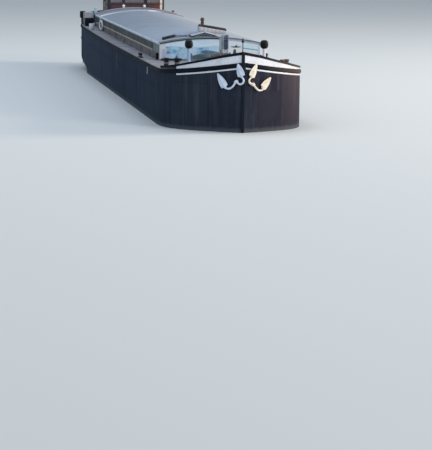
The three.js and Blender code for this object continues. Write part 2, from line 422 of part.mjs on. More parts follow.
// spade outline, rows [distance from the base as a share of the length, half width]
const SPADE = [[-0.05, 0.045], [0.06, 0.105], [0.20, 0.150], [0.36, 0.158], [0.58, 0.118], [0.80, 0.062]];
const FACE = { t: new THREE.Vector2(0.615, 0.35).normalize() };  // plating beside the stem, in plan
const STAND_OFF = 0.115;
for (const anchor of ANCHORS) {
  // local frame: first axis outboard along the plating, second up, third away from the hull
  const ex = new THREE.Vector3(anchor.side * FACE.t.x, FACE.t.y, 0);
  const ey = new THREE.Vector3(0, 0, 1);
  const ez = new THREE.Vector3(anchor.side * FACE.t.y, -FACE.t.x, 0);
  const origin = new THREE.Vector3(anchor.side * 50, Y(0.05), 0).addScaledVector(ez, mm(STAND_OFF));
  const P = ([a, z], w = 0) => origin.clone().addScaledVector(ex, mm(a)).addScaledVector(ey, mm(z)).addScaledVector(ez, mm(w));
  const { inner, outer, knob } = anchor;
  const curve = new THREE.CatmullRomCurve3([inner.base, ...inner.arm, knob, ...[...outer.arm].reverse(), outer.base].map((p) => P(p)));
  const sec = new THREE.Shape(Array.from({ length: 8 }, (_, i) => new THREE.Vector2(38 * Math.cos(i * Math.PI / 4), 38 * Math.sin(i * Math.PI / 4))));
  let m = solid(new THREE.ExtrudeGeometry(sec, { steps: 30, extrudePath: curve, bevelEnabled: false }));
  for (const f of [inner, outer]) {
    const L = Math.hypot(f.tip[0] - f.base[0], f.tip[1] - f.base[1]);
    const rows = [...SPADE.map(([u, v]) => [u * L, v]), [L, 0], ...[...SPADE].reverse().map(([u, v]) => [u * L, -v])];
    const shape = new THREE.Shape(rows.map(([u, v]) => new THREE.Vector2(mm(u), mm(v))));
    const ang = Math.atan2(f.tip[1] - f.base[1], f.tip[0] - f.base[0]);
    const ux = ex.clone().multiplyScalar(Math.cos(ang)).addScaledVector(ey, Math.sin(ang));
    const uz = ez.clone();
    const uy = new THREE.Vector3().crossVectors(uz, ux);
    m = m.add(solid(placed(new THREE.ExtrudeGeometry(shape, { depth: 44, bevelEnabled: false }),
      new THREE.Matrix4().makeBasis(ux, uy, uz).setPosition(P(f.base, -0.022)))));
  }
  // crown, and the end of the shank that runs into the hawse hole behind it
  m = m.add(solid(at(new THREE.SphereGeometry(66, 12, 8), ...P(knob).toArray())));
  const p0 = P(knob, 0.01), p1 = P([knob[0], knob[1] + 0.03], -STAND_OFF + 0.0008);
  const dir = p1.clone().sub(p0), q = new THREE.Quaternion().setFromUnitVectors(new THREE.Vector3(0, 1, 0), dir.clone().normalize());
  m = m.add(solid(placed(new THREE.CylinderGeometry(42, 42, dir.length(), 10),
    new THREE.Matrix4().compose(p0.clone().add(p1).multiplyScalar(0.5), q, new THREE.Vector3(1, 1, 1))))
    .subtract(hullRaw.translate([anchor.side * 0.25, -0.4, 0])));
  add(anchor.name, m, 'white');
}

// ---------------------------------------------------------------- wheelhouse, hollow, windows cut
// cuts openings, each row [u0, u1, z0, z1], through a wall; u runs across the boat, or along it on a side wall
const cutAcross = (m, rows) => rows.reduce((w, [x0, x1, z0, z1]) => w.subtract(solid(box([x0, WH_F - 0.5, z0], [x1, WH_A + 0.5, z1]))), m);
const cutSide = (m, side, rows) => rows.reduce((w, [s0, s1, z0, z1]) => w.subtract(solid(box([side > 0 ? 1 : -2, s0, z0], [side > 0 ? 2 : -1, s1, z1]))), m);
{
  const inX = WH_HALF - WH_T;
  // front and aft walls lie across the boat
  const wall = (s0, s1) => solid(box([-WH_HALF, s0, 2.6], [WH_HALF, s1, WH_TOP]));
  add('wheelhouse_front', onDeck(cutAcross(wall(WH_F, WH_F + WH_T), [[-1.20, -0.61], [-0.53, 0.40], [0.53, 1.20]].map((u) => [...u, SILL, HEAD]))), 'wood');
  add('wheelhouse_aft', onDeck(cutAcross(wall(WH_A - WH_T, WH_A), [[-1.22, -0.43], [-0.37, 0.37], [0.43, 1.22]].map((u) => [...u, SILL + 0.06, HEAD]))), 'wood');
  // side walls: window forward, door opening aft
  for (const [name, side] of [['wheelhouse_starboard', -1], ['wheelhouse_port', 1]]) {
    const x0 = side > 0 ? inX : -WH_HALF;
    const m = solid(box([x0, WH_F + WH_T + GAP, 2.6], [x0 + WH_T, WH_A - WH_T - GAP, WH_TOP]));
    add(name, onDeck(cutSide(m, side, [[33.42, 34.38, SILL, HEAD], [DOOR.s0, DOOR.s1, DOOR.z0, DOOR.z1]])), 'wood');
  }
  add('wheelhouse_floor', onDeck(box([-inX + GAP, WH_F + WH_T + GAP, 2.6], [inX - GAP, WH_A - WH_T - GAP, FLOOR_Z])), 'dark_wood');
  // cambered roof with an overhang
  const half = WH_HALF + 0.12, rows = [];
  for (let i = 0; i <= 10; i++) { const x = half * (1 - i / 5); rows.push([x, WH_TOP + 0.075 + 0.11 * (1 - (x / half) ** 2)]); }
  add('wheelhouse_roof', plate([[-half, WH_TOP + GAP], [half, WH_TOP + GAP], ...rows], WH_F - 0.16, WH_A + 0.14), 'roof');
  // doors, hung on their forward edge outside the opening
  for (const [name, side] of [['wheelhouse_door_starboard', -1], ['wheelhouse_door_port', 1]]) {
    const s0 = DOOR.s0 + 0.008, s1 = DOOR.s1 - 0.008, z0 = DOOR.z0 + 0.008, z1 = DOOR.z1 - 0.008;
    const x0 = side > 0 ? WH_HALF - 0.04 : -WH_HALF;
    add(name, cutSide(solid(box([x0, s0, z0], [x0 + 0.04, s1, z1])), side, [[s0 + 0.09, s1 - 0.09, SILL, HEAD - 0.02]]), 'wood');
  }
  // steering console and wheel
  const cs = [[WH_F + WH_T + 0.02, FLOOR_Z + GAP], [33.86, FLOOR_Z + GAP], [33.86, 3.62], [33.74, 3.82], [WH_F + WH_T + 0.02, 3.82]];
  const shape = new THREE.Shape(cs.map(([s, z]) => new THREE.Vector2(Y(s), mm(z))));
  add('steering_console', across(new THREE.ExtrudeGeometry(shape, { depth: 1100, bevelEnabled: false }), -550), 'dark_wood');
  let wheel = solid(at(new THREE.TorusGeometry(430, 24, 8, 32), 0, 0, 0, Math.PI / 2));
  wheel = wheel.add(solid(new THREE.CylinderGeometry(75, 75, 60, 16))).add(solid(at(new THREE.CylinderGeometry(26, 26, 120, 12), 0, -60, 0)));
  for (let i = 0; i < 8; i++) {
    const spoke = new THREE.CylinderGeometry(13, 17, 520, 8);
    wheel = wheel.add(solid(at(spoke, 300 * Math.sin(i * Math.PI / 4), 0, 300 * Math.cos(i * Math.PI / 4), Math.PI / 2, i * Math.PI / 4, 0)));
  }
  add('steering_wheel', wheel.translate([0, Y(34.02), mm(3.56)]), 'dark_wood');
}

// ---------------------------------------------------------------- stern gear
{
  // propeller: hub on its shaft with four blades, turning about Y
  let prop = solid(at(new THREE.LatheGeometry([[0, -0.55], [0.04, -0.55], [0.04, -0.075], [0.075, -0.07], [0.08, 0.05], [0.05, 0.12], [0, 0.135]]
    .map(([r, h]) => new THREE.Vector2(mm(r), mm(h))), 16), 0, 0, 0));
  const R = mm(PROP.r) - 1;
  for (let i = 0; i < 4; i++) {
    const shape = new THREE.Shape();
    shape.moveTo(-45, 50);
    shape.quadraticCurveTo(-150, 170, -105, R * 0.86);
    shape.quadraticCurveTo(-30, R * 1.05, 60, R * 0.93);
    shape.quadraticCurveTo(150, 190, 45, 50);
    const g = bare(new THREE.ExtrudeGeometry(shape, { depth: 16, bevelEnabled: false, curveSegments: 5 }));
    g.translate(0, 0, -8);
    // blade root at the hub, pitched 28 degrees, span along the local Y that is turned to the radius
    g.rotateY(THREE.MathUtils.degToRad(28));
    g.rotateX(Math.PI / 2);
    g.rotateY(i * Math.PI / 2 + 0.4);
    prop = prop.add(solid(g));
  }
  add('propeller', prop.translate([0, Y(PROP.s), mm(PROP.z)]), 'bronze');
  // balanced rudder blade with a wedge tail, its stock up through the counter to a cap above the deck
  const blade = [[36.43, 0.0], [36.50, 0.045], [36.75, 0.075], [37.20, 0.055], [37.78, 0.015]];
  const out = [...blade.map(([s, x]) => new THREE.Vector2(mm(x), Y(s))), ...blade.slice(1).reverse().map(([s, x]) => new THREE.Vector2(-mm(x), Y(s)))];
  const g = bare(new THREE.ExtrudeGeometry(new THREE.Shape(out), { depth: mm(0.76), bevelEnabled: false }));
  g.translate(0, 0, mm(0.085));
  let rudder = solid(g).add(solid(post(0, STOCK.s, 0.3, 3.18, STOCK.r, STOCK.r, 16)));
  rudder = rudder.add(solid(post(0, STOCK.s, 2.93, 3.15, 0.11, 0.11, 16)));
  add('rudder', rudder, 'grey');
}
// locker on a darker plinth, on the starboard side deck by the wheelhouse, and a square pillar behind the coaming's corner
add('side_locker', onDeck(solid(box([-2.36, 33.28, 2.5], [-2.04, 33.86, 3.10])).add(solid(box([-2.42, 33.22, 3.08], [-1.99, 33.92, 3.41])))), 'steel');
add('quarter_pillar', onDeck(box([-1.94, 33.30, 2.5], [-1.84, 33.40, 3.70])), 'steel');
add('quarter_box', onDeck(solid(box([-2.355, 34.55, 2.5], [-2.285, 34.67, 3.12])).add(solid(box([-2.51, 34.46, 3.10], [-2.28, 34.76, 3.42])))), 'steel');

export default group;
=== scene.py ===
import math
import random

import bmesh
import bpy
import numpy as np
from mathutils import Matrix, Vector


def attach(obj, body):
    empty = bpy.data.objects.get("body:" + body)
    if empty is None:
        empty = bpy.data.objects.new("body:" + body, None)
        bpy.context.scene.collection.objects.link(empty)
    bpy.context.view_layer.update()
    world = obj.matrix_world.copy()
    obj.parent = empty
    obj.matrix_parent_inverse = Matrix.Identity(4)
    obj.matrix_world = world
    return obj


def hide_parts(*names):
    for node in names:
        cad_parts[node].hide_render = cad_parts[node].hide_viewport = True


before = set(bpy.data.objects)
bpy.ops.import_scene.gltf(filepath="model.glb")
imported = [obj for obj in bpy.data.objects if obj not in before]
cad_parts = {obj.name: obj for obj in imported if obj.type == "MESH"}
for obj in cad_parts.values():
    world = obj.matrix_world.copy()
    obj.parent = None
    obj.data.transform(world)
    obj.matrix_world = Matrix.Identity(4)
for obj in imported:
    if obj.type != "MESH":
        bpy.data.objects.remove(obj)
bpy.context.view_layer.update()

random.seed(7)
rng = np.random.default_rng(7)

# ------------------------------------------------------------------ camera, light and floor
WATERLINE = 0.70


def make_camera():
    yaw, pitch, roll = 0.1433, 0.127, 0.0108
    f = Vector((math.sin(yaw) * math.cos(pitch), math.cos(yaw) * math.cos(pitch), -math.sin(pitch)))
    r = Vector((math.cos(yaw), -math.sin(yaw), 0))
    u = r.cross(f)
    right = math.cos(roll) * r + math.sin(roll) * u
    up = -math.sin(roll) * r + math.cos(roll) * u
    data = bpy.data.cameras.new("camera")
    data.sensor_width, data.sensor_fit, data.lens = 36, "AUTO", 192.97
    data.clip_start, data.clip_end = 1, 2000
    cam = bpy.data.objects.new("camera", data)
    m = Matrix((right, up, -f)).transposed().to_4x4()
    m.translation = (-12.4375, -99.298, 7.9221)
    cam.matrix_world = m
    bpy.context.scene.collection.objects.link(cam)
    bpy.context.scene.camera = cam


def make_light():
    world = bpy.data.worlds.new("studio")
    world.use_nodes = True
    bg = world.node_tree.nodes["Background"]
    bg.inputs["Color"].default_value = (0.80, 0.90, 1.0, 1)
    bg.inputs["Strength"].default_value = 0.48
    bpy.context.scene.world = world
    bpy.context.scene.view_settings.view_transform = "Standard"

    def area(name, at, to, size, power, color):
        data = bpy.data.lights.new(name, "AREA")
        data.shape, data.size, data.energy, data.color = "SQUARE", size, power, color
        o = bpy.data.objects.new(name, data)
        o.location = at
        o.rotation_mode = "QUATERNION"
        o.rotation_quaternion = (Vector(to) - Vector(at)).to_track_quat("-Z", "Y")
        bpy.context.scene.collection.objects.link(o)

    area("key_port", (85, -5, 28), (0, 0, 2), 34, 62400, (1.0, 0.833, 0.625))
    area("key_front", (60, -90, 40), (0, 0, 2), 40, 35000, (1.0, 0.926, 0.889))
    area("fill_cool", (-75, -60, 50), (0, 0, 2), 60, 6000, (0.60, 0.85, 1.0))
    area("top", (0, 10, 75), (0, 0, 0), 60, 20800, (0.81, 0.90, 1.0))


def make_floor():
    half = 700.0
    me = bpy.data.meshes.new("floor")
    me.from_pydata([(-half, -half, WATERLINE), (half, -half, WATERLINE), (half, half, WATERLINE), (-half, half, WATERLINE)], [], [(0, 1, 2, 3)])
    o = bpy.data.objects.new("floor", me)
    bpy.context.scene.collection.objects.link(o)
    mat = bpy.data.materials.new("floor_pale")
    mat.use_nodes = True
    b = mat.node_tree.nodes["Principled BSDF"]
    b.inputs["Base Color"].default_value = (0.70, 0.73, 0.75, 1)
    b.inputs["Roughness"].default_value = 0.85
    me.materials.append(mat)


make_camera()
make_light()
make_floor()

# ------------------------------------------------------------------ dimensions shared with the construction model (metres)
MID = 19.1461
HALF_BEAM, STRAKE_OUT, STERN, RUN0 = 2.485, 0.04, 38.40, 31.0
EAVE_Z, ROOF_HALF, WALL_HALF = 3.331, 1.917, 1.872
FRONT, BAND, COPING, BACK = 8.08, 30.53, 33.03, 33.20
CAMBER_F, CAMBER_A = 0.215, 0.275
WH_HALF, WH_F, WH_A, WH_T, WH_TOP = 1.33, 33.26, 35.56, 0.05, 4.78
FLOOR_Z, SILL, HEAD = 2.87, 3.86, 4.62
DOOR = dict(s0=34.55, s1=35.30, z0=2.90, z1=4.70)
PLAN = [  # distance aft of the stem, half breadth, deck height
    (0.05, 0.05, 3.07), (0.40, 0.665, 2.97), (0.75, 1.13, 2.895), (1.15, 1.615, 2.825), (1.70, 2.06, 2.76), (2.30, 2.32, 2.715),
    (2.90, 2.445, 2.69), (3.60, 2.485, 2.675), (5.0, 2.485, 2.665), (8.0, 2.485, 2.66), (20.0, 2.485, 2.66), (26.0, 2.485, 2.69),
    (31.0, 2.485, 2.735), (33.0, 2.485, 2.76), (34.2, 2.465, 2.785), (34.7, 2.44, 2.797), (35.2, 2.385, 2.81), (36.1, 2.20, 2.845),
    (36.9, 1.90, 2.88), (37.6, 1.44, 2.92), (38.05, 0.95, 2.945), (38.36, 0.38, 2.96), (38.40, 0.0, 2.965)]
LEVELS = [  # z, forefoot cut back, bilge drawn in, aft end, share of the run, hollowness of the run
    (0.00, 0.50, 0.17, 35.34, 1, 2.0), (0.05, 0.28, 0.06, 35.40, 1, 1.9), (0.17, 0.12, 0.00, 35.43, 1, 1.7), (0.50, 0.04, 0.00, 35.46, 1, 1.4),
    (0.85, 0.00, 0.00, 35.50, 1, 1.0), (1.00, 0.00, 0.00, 37.65, 0.25, 0.9), (1.30, 0.00, 0.00, 38.25, 0, 1.0), (3.10, 0.00, 0.00, 38.40, 0, 1.0)]
BOW_TOP = {0.05: 0.295, 0.40: 0.275, 0.75: 0.23, 1.15: 0.18, 1.70: 0.12, 2.30: 0.09, 2.90: 0.07}
STERN_TOP = {34.2: 0.05, 34.7: 0.07, 35.2: 0.34}


def Y(s):
    return s - MID


def pchip(xs, ys):
    """Monotone cubic through the points, as a function."""
    xs, ys = np.asarray(xs, float), np.asarray(ys, float)
    h, d = np.diff(xs), np.diff(ys) / np.diff(xs)
    m = np.zeros(len(xs))
    for k in range(1, len(xs) - 1):
        if d[k - 1] * d[k] > 0:
            w1, w2 = 2 * h[k] + h[k - 1], h[k] + 2 * h[k - 1]
            m[k] = (w1 + w2) / (w1 / d[k - 1] + w2 / d[k])
    m[0], m[-1] = d[0], d[-1]

    def at(x):
        x = np.clip(np.asarray(x, float), xs[0], xs[-1])
        k = np.clip(np.searchsorted(xs, x) - 1, 0, len(xs) - 2)
        t = (x - xs[k]) / h[k]
        return ((1 + 2 * t) * (1 - t) ** 2 * ys[k] + t * (1 - t) ** 2 * h[k] * m[k] + t * t * (3 - 2 * t) * ys[k + 1] + t * t * (t - 1) * h[k] * m[k + 1])
    return at


_pl = np.array(PLAN)
_mir = _pl[-2:-5:-1] * np.array([1, -1, 1])
_ext = np.vstack([_pl, _mir])
_u = np.concatenate([[0], np.cumsum(np.hypot(np.diff(_ext[:, 0]), np.diff(_ext[:, 1])))])
S_OF, B_OF, D_OF = pchip(_u, _ext[:, 0]), pchip(_u, _ext[:, 1]), pchip(_u, _ext[:, 2])
U_END = _u[len(_pl) - 1]
U_AT = {round(p[0], 3): _u[i] for i, p in enumerate(PLAN)}


def u_of_s(s):
    grid = np.linspace(0, U_END, 4000)
    return float(np.interp(s, S_OF(grid), grid))


def deck_z(s):
    return float(D_OF(u_of_s(s)))


def half_at(s):
    return float(B_OF(u_of_s(s)))


def plan_points(us):
    """Rows of x, s, nx, ns, deck on the port side."""
    us = np.asarray(us, float)
    e = 1e-3
    s, b, d = S_OF(us), B_OF(us), D_OF(us)
    ds, db = S_OF(us + e) - S_OF(np.maximum(us - e, 0)), B_OF(us + e) - B_OF(np.maximum(us - e, 0))
    n = np.hypot(ds, db)
    return np.stack([b, s, ds / n, -db / n, d], 1)


def camber_at(s):
    return CAMBER_F + (CAMBER_A - CAMBER_F) * (s - FRONT) / (BACK - FRONT)


def roof_z(x, s, lift=0.0):
    return EAVE_Z + lift + camber_at(s) * (1 - (x / ROOF_HALF) ** 2)


# ------------------------------------------------------------------ mesh building
class Geo:
    def __init__(self):
        self.v, self.f, self.m = [], [], []

    def add(self, shape, mi=0, M=None):
        verts, faces = shape
        k = len(self.v)
        if M is not None:
            verts = [tuple(M @ Vector(p)) for p in verts]
        self.v.extend(tuple(float(c) for c in p) for p in verts)
        self.f.extend(tuple(i + k for i in q) for q in faces)
        self.m.extend([mi] * len(faces))
        return self


def outward(verts, faces):
    c = np.mean(np.array(verts), 0)
    out = []
    for q in faces:
        p = np.array([verts[i] for i in q])
        n = np.cross(p[1] - p[0], p[2] - p[0])
        out.append(q if n @ (p.mean(0) - c) > 0 else q[::-1])
    return out


def box(lo, hi, c=0.0):
    """Box between two corners, its edges chamfered by c."""
    lo, hi = np.array(lo, float), np.array(hi, float)
    c = min(c, 0.45 * float(min(hi - lo)))
    if c <= 1e-6:
        v = [(x, y, z) for x in (lo[0], hi[0]) for y in (lo[1], hi[1]) for z in (lo[2], hi[2])]
        f = [(0, 1, 3, 2), (4, 6, 7, 5), (0, 4, 5, 1), (2, 3, 7, 6), (0, 2, 6, 4), (1, 5, 7, 3)]
        return v, outward(v, f)
    v, ix = [], {}
    for sg in [(a, b, d) for a in (0, 1) for b in (0, 1) for d in (0, 1)]:
        for ax in range(3):
            p = [(hi[a] if sg[a] else lo[a]) if a == ax else ((hi[a] - c) if sg[a] else (lo[a] + c)) for a in range(3)]
            ix[sg + (ax,)] = len(v)
            v.append(tuple(p))
    f = []
    for ax in range(3):
        o = [a for a in range(3) if a != ax]
        for side in (0, 1):
            q = []
            for a, b in ((0, 0), (1, 0), (1, 1), (0, 1)):
                sg = [0, 0, 0]
                sg[ax], sg[o[0]], sg[o[1]] = side, a, b
                q.append(ix[tuple(sg) + (ax,)])
            f.append(tuple(q))
        # edges along this axis
        for a in (0, 1):
            for b in (0, 1):
                e0, e1 = [0, 0, 0], [0, 0, 0]
                e0[o[0]], e0[o[1]], e1[o[0]], e1[o[1]] = a, b, a, b
                e1[ax] = 1
                f.append((ix[tuple(e0) + (o[0],)], ix[tuple(e0) + (o[1],)], ix[tuple(e1) + (o[1],)], ix[tuple(e1) + (o[0],)]))
    for sg in [(a, b, d) for a in (0, 1) for b in (0, 1) for d in (0, 1)]:
        f.append((ix[sg + (0,)], ix[sg + (1,)], ix[sg + (2,)]))
    return v, outward(v, f)


def lathe(rows, n=24):
    """Turned shape about local z; rows of (r, z)."""
    v, f, rings = [], [], []
    for r, z in rows:
        if r < 1e-9:
            rings.append([len(v)])
            v.append((0, 0, z))
        else:
            rings.append(list(range(len(v), len(v) + n)))
            v.extend((r * math.cos(2 * math.pi * i / n), r * math.sin(2 * math.pi * i / n), z) for i in range(n))
    for a, b in zip(rings, rings[1:]):
        for i in range(n):
            j = (i + 1) % n
            if len(a) == 1 and len(b) > 1:
                f.append((a[0], b[j], b[i]))
            elif len(b) == 1 and len(a) > 1:
                f.append((a[i], a[j], b[0]))
            elif len(a) > 1:
                f.append((a[i], a[j], b[j], b[i]))
    if len(rings[0]) > 1 and len(rings[-1]) > 1 and not (abs(rows[0][0] - rows[-1][0]) < 1e-9 and abs(rows[0][1] - rows[-1][1]) < 1e-9):
        f.append(tuple(reversed(rings[0])))
        f.append(tuple(rings[-1]))
    return v, f


def along(p, d, roll=0.0):
    """Matrix that puts local z along d at p."""
    q = Vector(d).normalized().to_track_quat("Z", "Y")
    return Matrix.Translation(Vector(p)) @ q.to_matrix().to_4x4() @ Matrix.Rotation(roll, 4, "Z")


def rod(p0, p1, r, r1=None, n=12, c=0.0):
    """Round bar between two points, chamfered ends."""
    p0, p1 = Vector(p0), Vector(p1)
    L = (p1 - p0).length
    r1 = r if r1 is None else r1
    c = min(c, 0.4 * L, 0.5 * r, 0.5 * r1)
    rows = [(0, 0), (r - c, 0), (r, c), (r1, L - c), (r1 - c, L), (0, L)] if c > 0 else [(0, 0), (r, 0), (r1, L), (0, L)]
    v, f = lathe(rows, n)
    M = along(p0, p1 - p0)
    return [tuple(M @ Vector(p)) for p in v], f


def pipe(points, r, n=10, closed=False):
    """Round bar along a line of points."""
    P = [Vector(p) for p in points]
    R = [float(a) for a in r] if isinstance(r, (list, tuple)) else [float(r)] * len(P)
    T = []
    for i in range(len(P)):
        a = P[i - 1] if (i or closed) else P[i]
        b = P[(i + 1) % len(P)] if (i + 1 < len(P) or closed) else P[i]
        T.append((b - a).normalized())
    nrm = T[0].orthogonal().normalized()
    rings, v, f = [], [], []
    for i, p in enumerate(P):
        if i:
            nrm = (nrm - T[i] * nrm.dot(T[i])).normalized()
        bi = T[i].cross(nrm)
        rings.append(list(range(len(v), len(v) + n)))
        v.extend(tuple(p + R[i] * (math.cos(2 * math.pi * k / n) * nrm + math.sin(2 * math.pi * k / n) * bi)) for k in range(n))
    pairs = list(zip(rings, rings[1:])) + ([(rings[-1], rings[0])] if closed else [])
    for k, (a, b) in enumerate(pairs):
        off = 0
        if closed and k == len(pairs) - 1:  # match the seam of the last ring to the first
            off = min(range(n), key=lambda o: sum((Vector(v[a[i]]) - Vector(v[b[(i + o) % n]])).length for i in range(n)))
        for i in range(n):
            j = (i + 1) % n
            f.append((a[i], a[j], b[(j + off) % n], b[(i + off) % n]))
    if not closed:
        f.append(tuple(reversed(rings[0])))
        f.append(tuple(rings[-1]))
    return v, f


def loft(rings, ring_closed=True, caps=True, path_closed=False):
    n = len(rings[0])
    v = [tuple(p) for r in rings for p in r]
    f = []
    last = len(rings) if path_closed else len(rings) - 1
    for k in range(last):
        for i in range(n if ring_closed else n - 1):
            j = (i + 1) % n
            a, b = k * n, ((k + 1) % len(rings)) * n
            f.append((a + i, a + j, b + j, b + i))
    if caps and ring_closed and not path_closed:
        f.append(tuple(reversed(range(n))))
        f.append(tuple(range((len(rings) - 1) * n, len(rings) * n)))
    return v, f


def shell(O, I):
    """Closed skin between two equal grids of points."""
    r, n = len(O), len(O[0])
    v = [tuple(p) for row in O for p in row] + [tuple(p) for row in I for p in row]
    k = r * n
    f = []
    for a in range(r - 1):
        for i in range(n - 1):
            p = a * n + i
            f.append((p, p + 1, p + n + 1, p + n))
            f.append((k + p, k + p + n, k + p + n + 1, k + p + 1))
    for a in range(r - 1):
        for i in (0, n - 1):
            p = a * n + i
            f.append((p, p + n, k + p + n, k + p))
    for i in range(n - 1):
        for a in (0, r - 1):
            p = a * n + i
            f.append((p, p + 1, k + p + 1, k + p))
    return v, f


def prism(outline, d0, d1, M=None, c=0.0):
    """Flat outline (rows of local x, y) given thickness along local z, with a chamfer c."""
    P = np.array(outline, float)
    area = 0.5 * np.sum(P[:, 0] * np.roll(P[:, 1], -1) - np.roll(P[:, 0], -1) * P[:, 1])
    if area < 0:
        P = P[::-1]
    if c > 0:
        nxt, prv = np.roll(P, -1, 0), np.roll(P, 1, 0)
        e1, e0 = nxt - P, P - prv
        n1 = np.stack([e1[:, 1], -e1[:, 0]], 1) / np.maximum(np.hypot(*e1.T), 1e-9)[:, None]
        n0 = np.stack([e0[:, 1], -e0[:, 0]], 1) / np.maximum(np.hypot(*e0.T), 1e-9)[:, None]
        nm = n0 + n1
        nm = nm / np.maximum(np.sum(nm * n1, 1), 0.35)[:, None]
        Q = P - nm * c
        rings = [[(x, y, d0) for x, y in Q], [(x, y, d0 + c) for x, y in P], [(x, y, d1 - c) for x, y in P], [(x, y, d1) for x, y in Q]]
    else:
        rings = [[(x, y, d0) for x, y in P], [(x, y, d1) for x, y in P]]
    v, f = loft(rings)
    if M is not None:
        v = [tuple(M @ Vector(p)) for p in v]
    return v, f


def piece(name, geo, mats, body="root", replaces=(), smooth=32, tidy=True):
    me = bpy.data.meshes.new(name)
    me.from_pydata(geo.v, [], geo.f)
    mats = mats if isinstance(mats, (list, tuple)) else [mats]
    for m in mats:
        me.materials.append(m)
    me.polygons.foreach_set("material_index", geo.m)
    if tidy:
        bm = bmesh.new()
        bm.from_mesh(me)
        bmesh.ops.remove_doubles(bm, verts=bm.verts, dist=1e-5)
        bmesh.ops.dissolve_degenerate(bm, dist=1e-6, edges=bm.edges)
        bmesh.ops.recalc_face_normals(bm, faces=bm.faces)
        bm.to_mesh(me)
        bm.free()
    me.polygons.foreach_set("use_smooth", [True] * len(me.polygons))
    me.update()
    me.set_sharp_from_angle(angle=math.radians(smooth))
    o = bpy.data.objects.new(name, me)
    bpy.context.scene.collection.objects.link(o)
    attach(o, body)
    if replaces:
        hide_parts(*replaces)
    return o


# ------------------------------------------------------------------ materials
def lin(h):
    """Linear colour from a hex sRGB one."""
    c = [int(h[i:i + 2], 16) / 255 for i in (1, 3, 5)]
    return tuple(x / 12.92 if x <= 0.04045 else ((x + 0.055) / 1.055) ** 2.4 for x in c) + (1.0,)


class Mat:
    """Builds one node material around a Principled shader, in the object's own coordinates (metres)."""

    def __init__(self, name, rough=0.5, metal=0.0, coat=0.0, spec=None):
        self.mat = bpy.data.materials.new(name)
        self.mat.use_nodes = True
        self.nt = self.mat.node_tree
        self.nt.nodes.clear()
        self.out = self.nt.nodes.new("ShaderNodeOutputMaterial")
        self.b = self.nt.nodes.new("ShaderNodeBsdfPrincipled")
        self.nt.links.new(self.b.outputs[0], self.out.inputs[0])
        self.pos = self.nt.nodes.new("ShaderNodeTexCoord").outputs["Object"]
        self.b.inputs["Roughness"].default_value = rough
        self.b.inputs["Metallic"].default_value = metal
        self.b.inputs["Coat Weight"].default_value = coat
        if spec is not None:
            self.b.inputs["Specular IOR Level"].default_value = spec

    def put(self, sock, val):
        if isinstance(val, bpy.types.NodeSocket):
            self.nt.links.new(val, sock)
        elif isinstance(val, (tuple, list)) and len(val) == 3 and sock.type == "RGBA":
            sock.default_value = tuple(val) + (1.0,)
        else:
            sock.default_value = val

    def set(self, name, val):
        self.put(self.b.inputs[name], val)
        return self

    def scaled(self, k=(1, 1, 1), rot=(0, 0, 0), loc=(0, 0, 0), vec=None):
        n = self.nt.nodes.new("ShaderNodeMapping")
        self.put(n.inputs["Vector"], vec or self.pos)
        n.inputs["Scale"].default_value, n.inputs["Rotation"].default_value, n.inputs["Location"].default_value = k, rot, loc
        return n.outputs[0]

    def noise(self, scale, detail=4.0, rough=0.55, distort=0.0, vec=None):
        n = self.nt.nodes.new("ShaderNodeTexNoise")
        self.put(n.inputs["Vector"], vec or self.pos)
        n.inputs["Scale"].default_value, n.inputs["Detail"].default_value = scale, detail
        n.inputs["Roughness"].default_value, n.inputs["Distortion"].default_value = rough, distort
        return n.outputs["Fac"]

    def voronoi(self, scale, vec=None, feature="F1"):
        n = self.nt.nodes.new("ShaderNodeTexVoronoi")
        n.feature = feature
        self.put(n.inputs["Vector"], vec or self.pos)
        n.inputs["Scale"].default_value = scale
        return n.outputs["Distance"]

    def wave(self, scale, vec=None, distort=0.0, detail=2.0, direction="X", kind="BANDS"):
        n = self.nt.nodes.new("ShaderNodeTexWave")
        n.wave_type = kind
        n.bands_direction = direction
        self.put(n.inputs["Vector"], vec or self.pos)
        n.inputs["Scale"].default_value, n.inputs["Distortion"].default_value, n.inputs["Detail"].default_value = scale, distort, detail
        return n.outputs["Fac"]

    def math(self, op, a, b=0.0, clamp=False):
        n = self.nt.nodes.new("ShaderNodeMath")
        n.operation, n.use_clamp = op, clamp
        self.put(n.inputs[0], a)
        self.put(n.inputs[1], b)
        return n.outputs[0]

    def xyz(self, vec=None):
        n = self.nt.nodes.new("ShaderNodeSeparateXYZ")
        self.put(n.inputs[0], vec or self.pos)
        return n.outputs[0], n.outputs[1], n.outputs[2]

    def ramp(self, fac, *stops):
        """stops: (position, value or colour)."""
        n = self.nt.nodes.new("ShaderNodeValToRGB")
        self.put(n.inputs[0], fac)
        e = n.color_ramp.elements
        while len(e) < len(stops):
            e.new(0.5)
        for k, (p, c) in enumerate(stops):
            e[k].position = p
            e[k].color = tuple(c)[:3] + (1.0,) if isinstance(c, (tuple, list)) else (c, c, c, 1.0)
        return n.outputs[0]

    def mix(self, fac, a, b, mode="MIX"):
        n = self.nt.nodes.new("ShaderNodeMix")
        n.data_type, n.blend_type = "RGBA", mode
        ins = [s for s in n.inputs if s.enabled]
        self.put(ins[0], fac)
        self.put(ins[1], a)
        self.put(ins[2], b)
        return [s for s in n.outputs if s.enabled][0]

    def bump(self, height, strength=0.3, distance=0.01, normal=None):
        n = self.nt.nodes.new("ShaderNodeBump")
        self.put(n.inputs["Height"], height)
        n.inputs["Strength"].default_value, n.inputs["Distance"].default_value = strength, distance
        if normal is not None:
            self.put(n.inputs["Normal"], normal)
        self.nt.links.new(n.outputs[0], self.b.inputs["Normal"])
        return n.outputs[0]


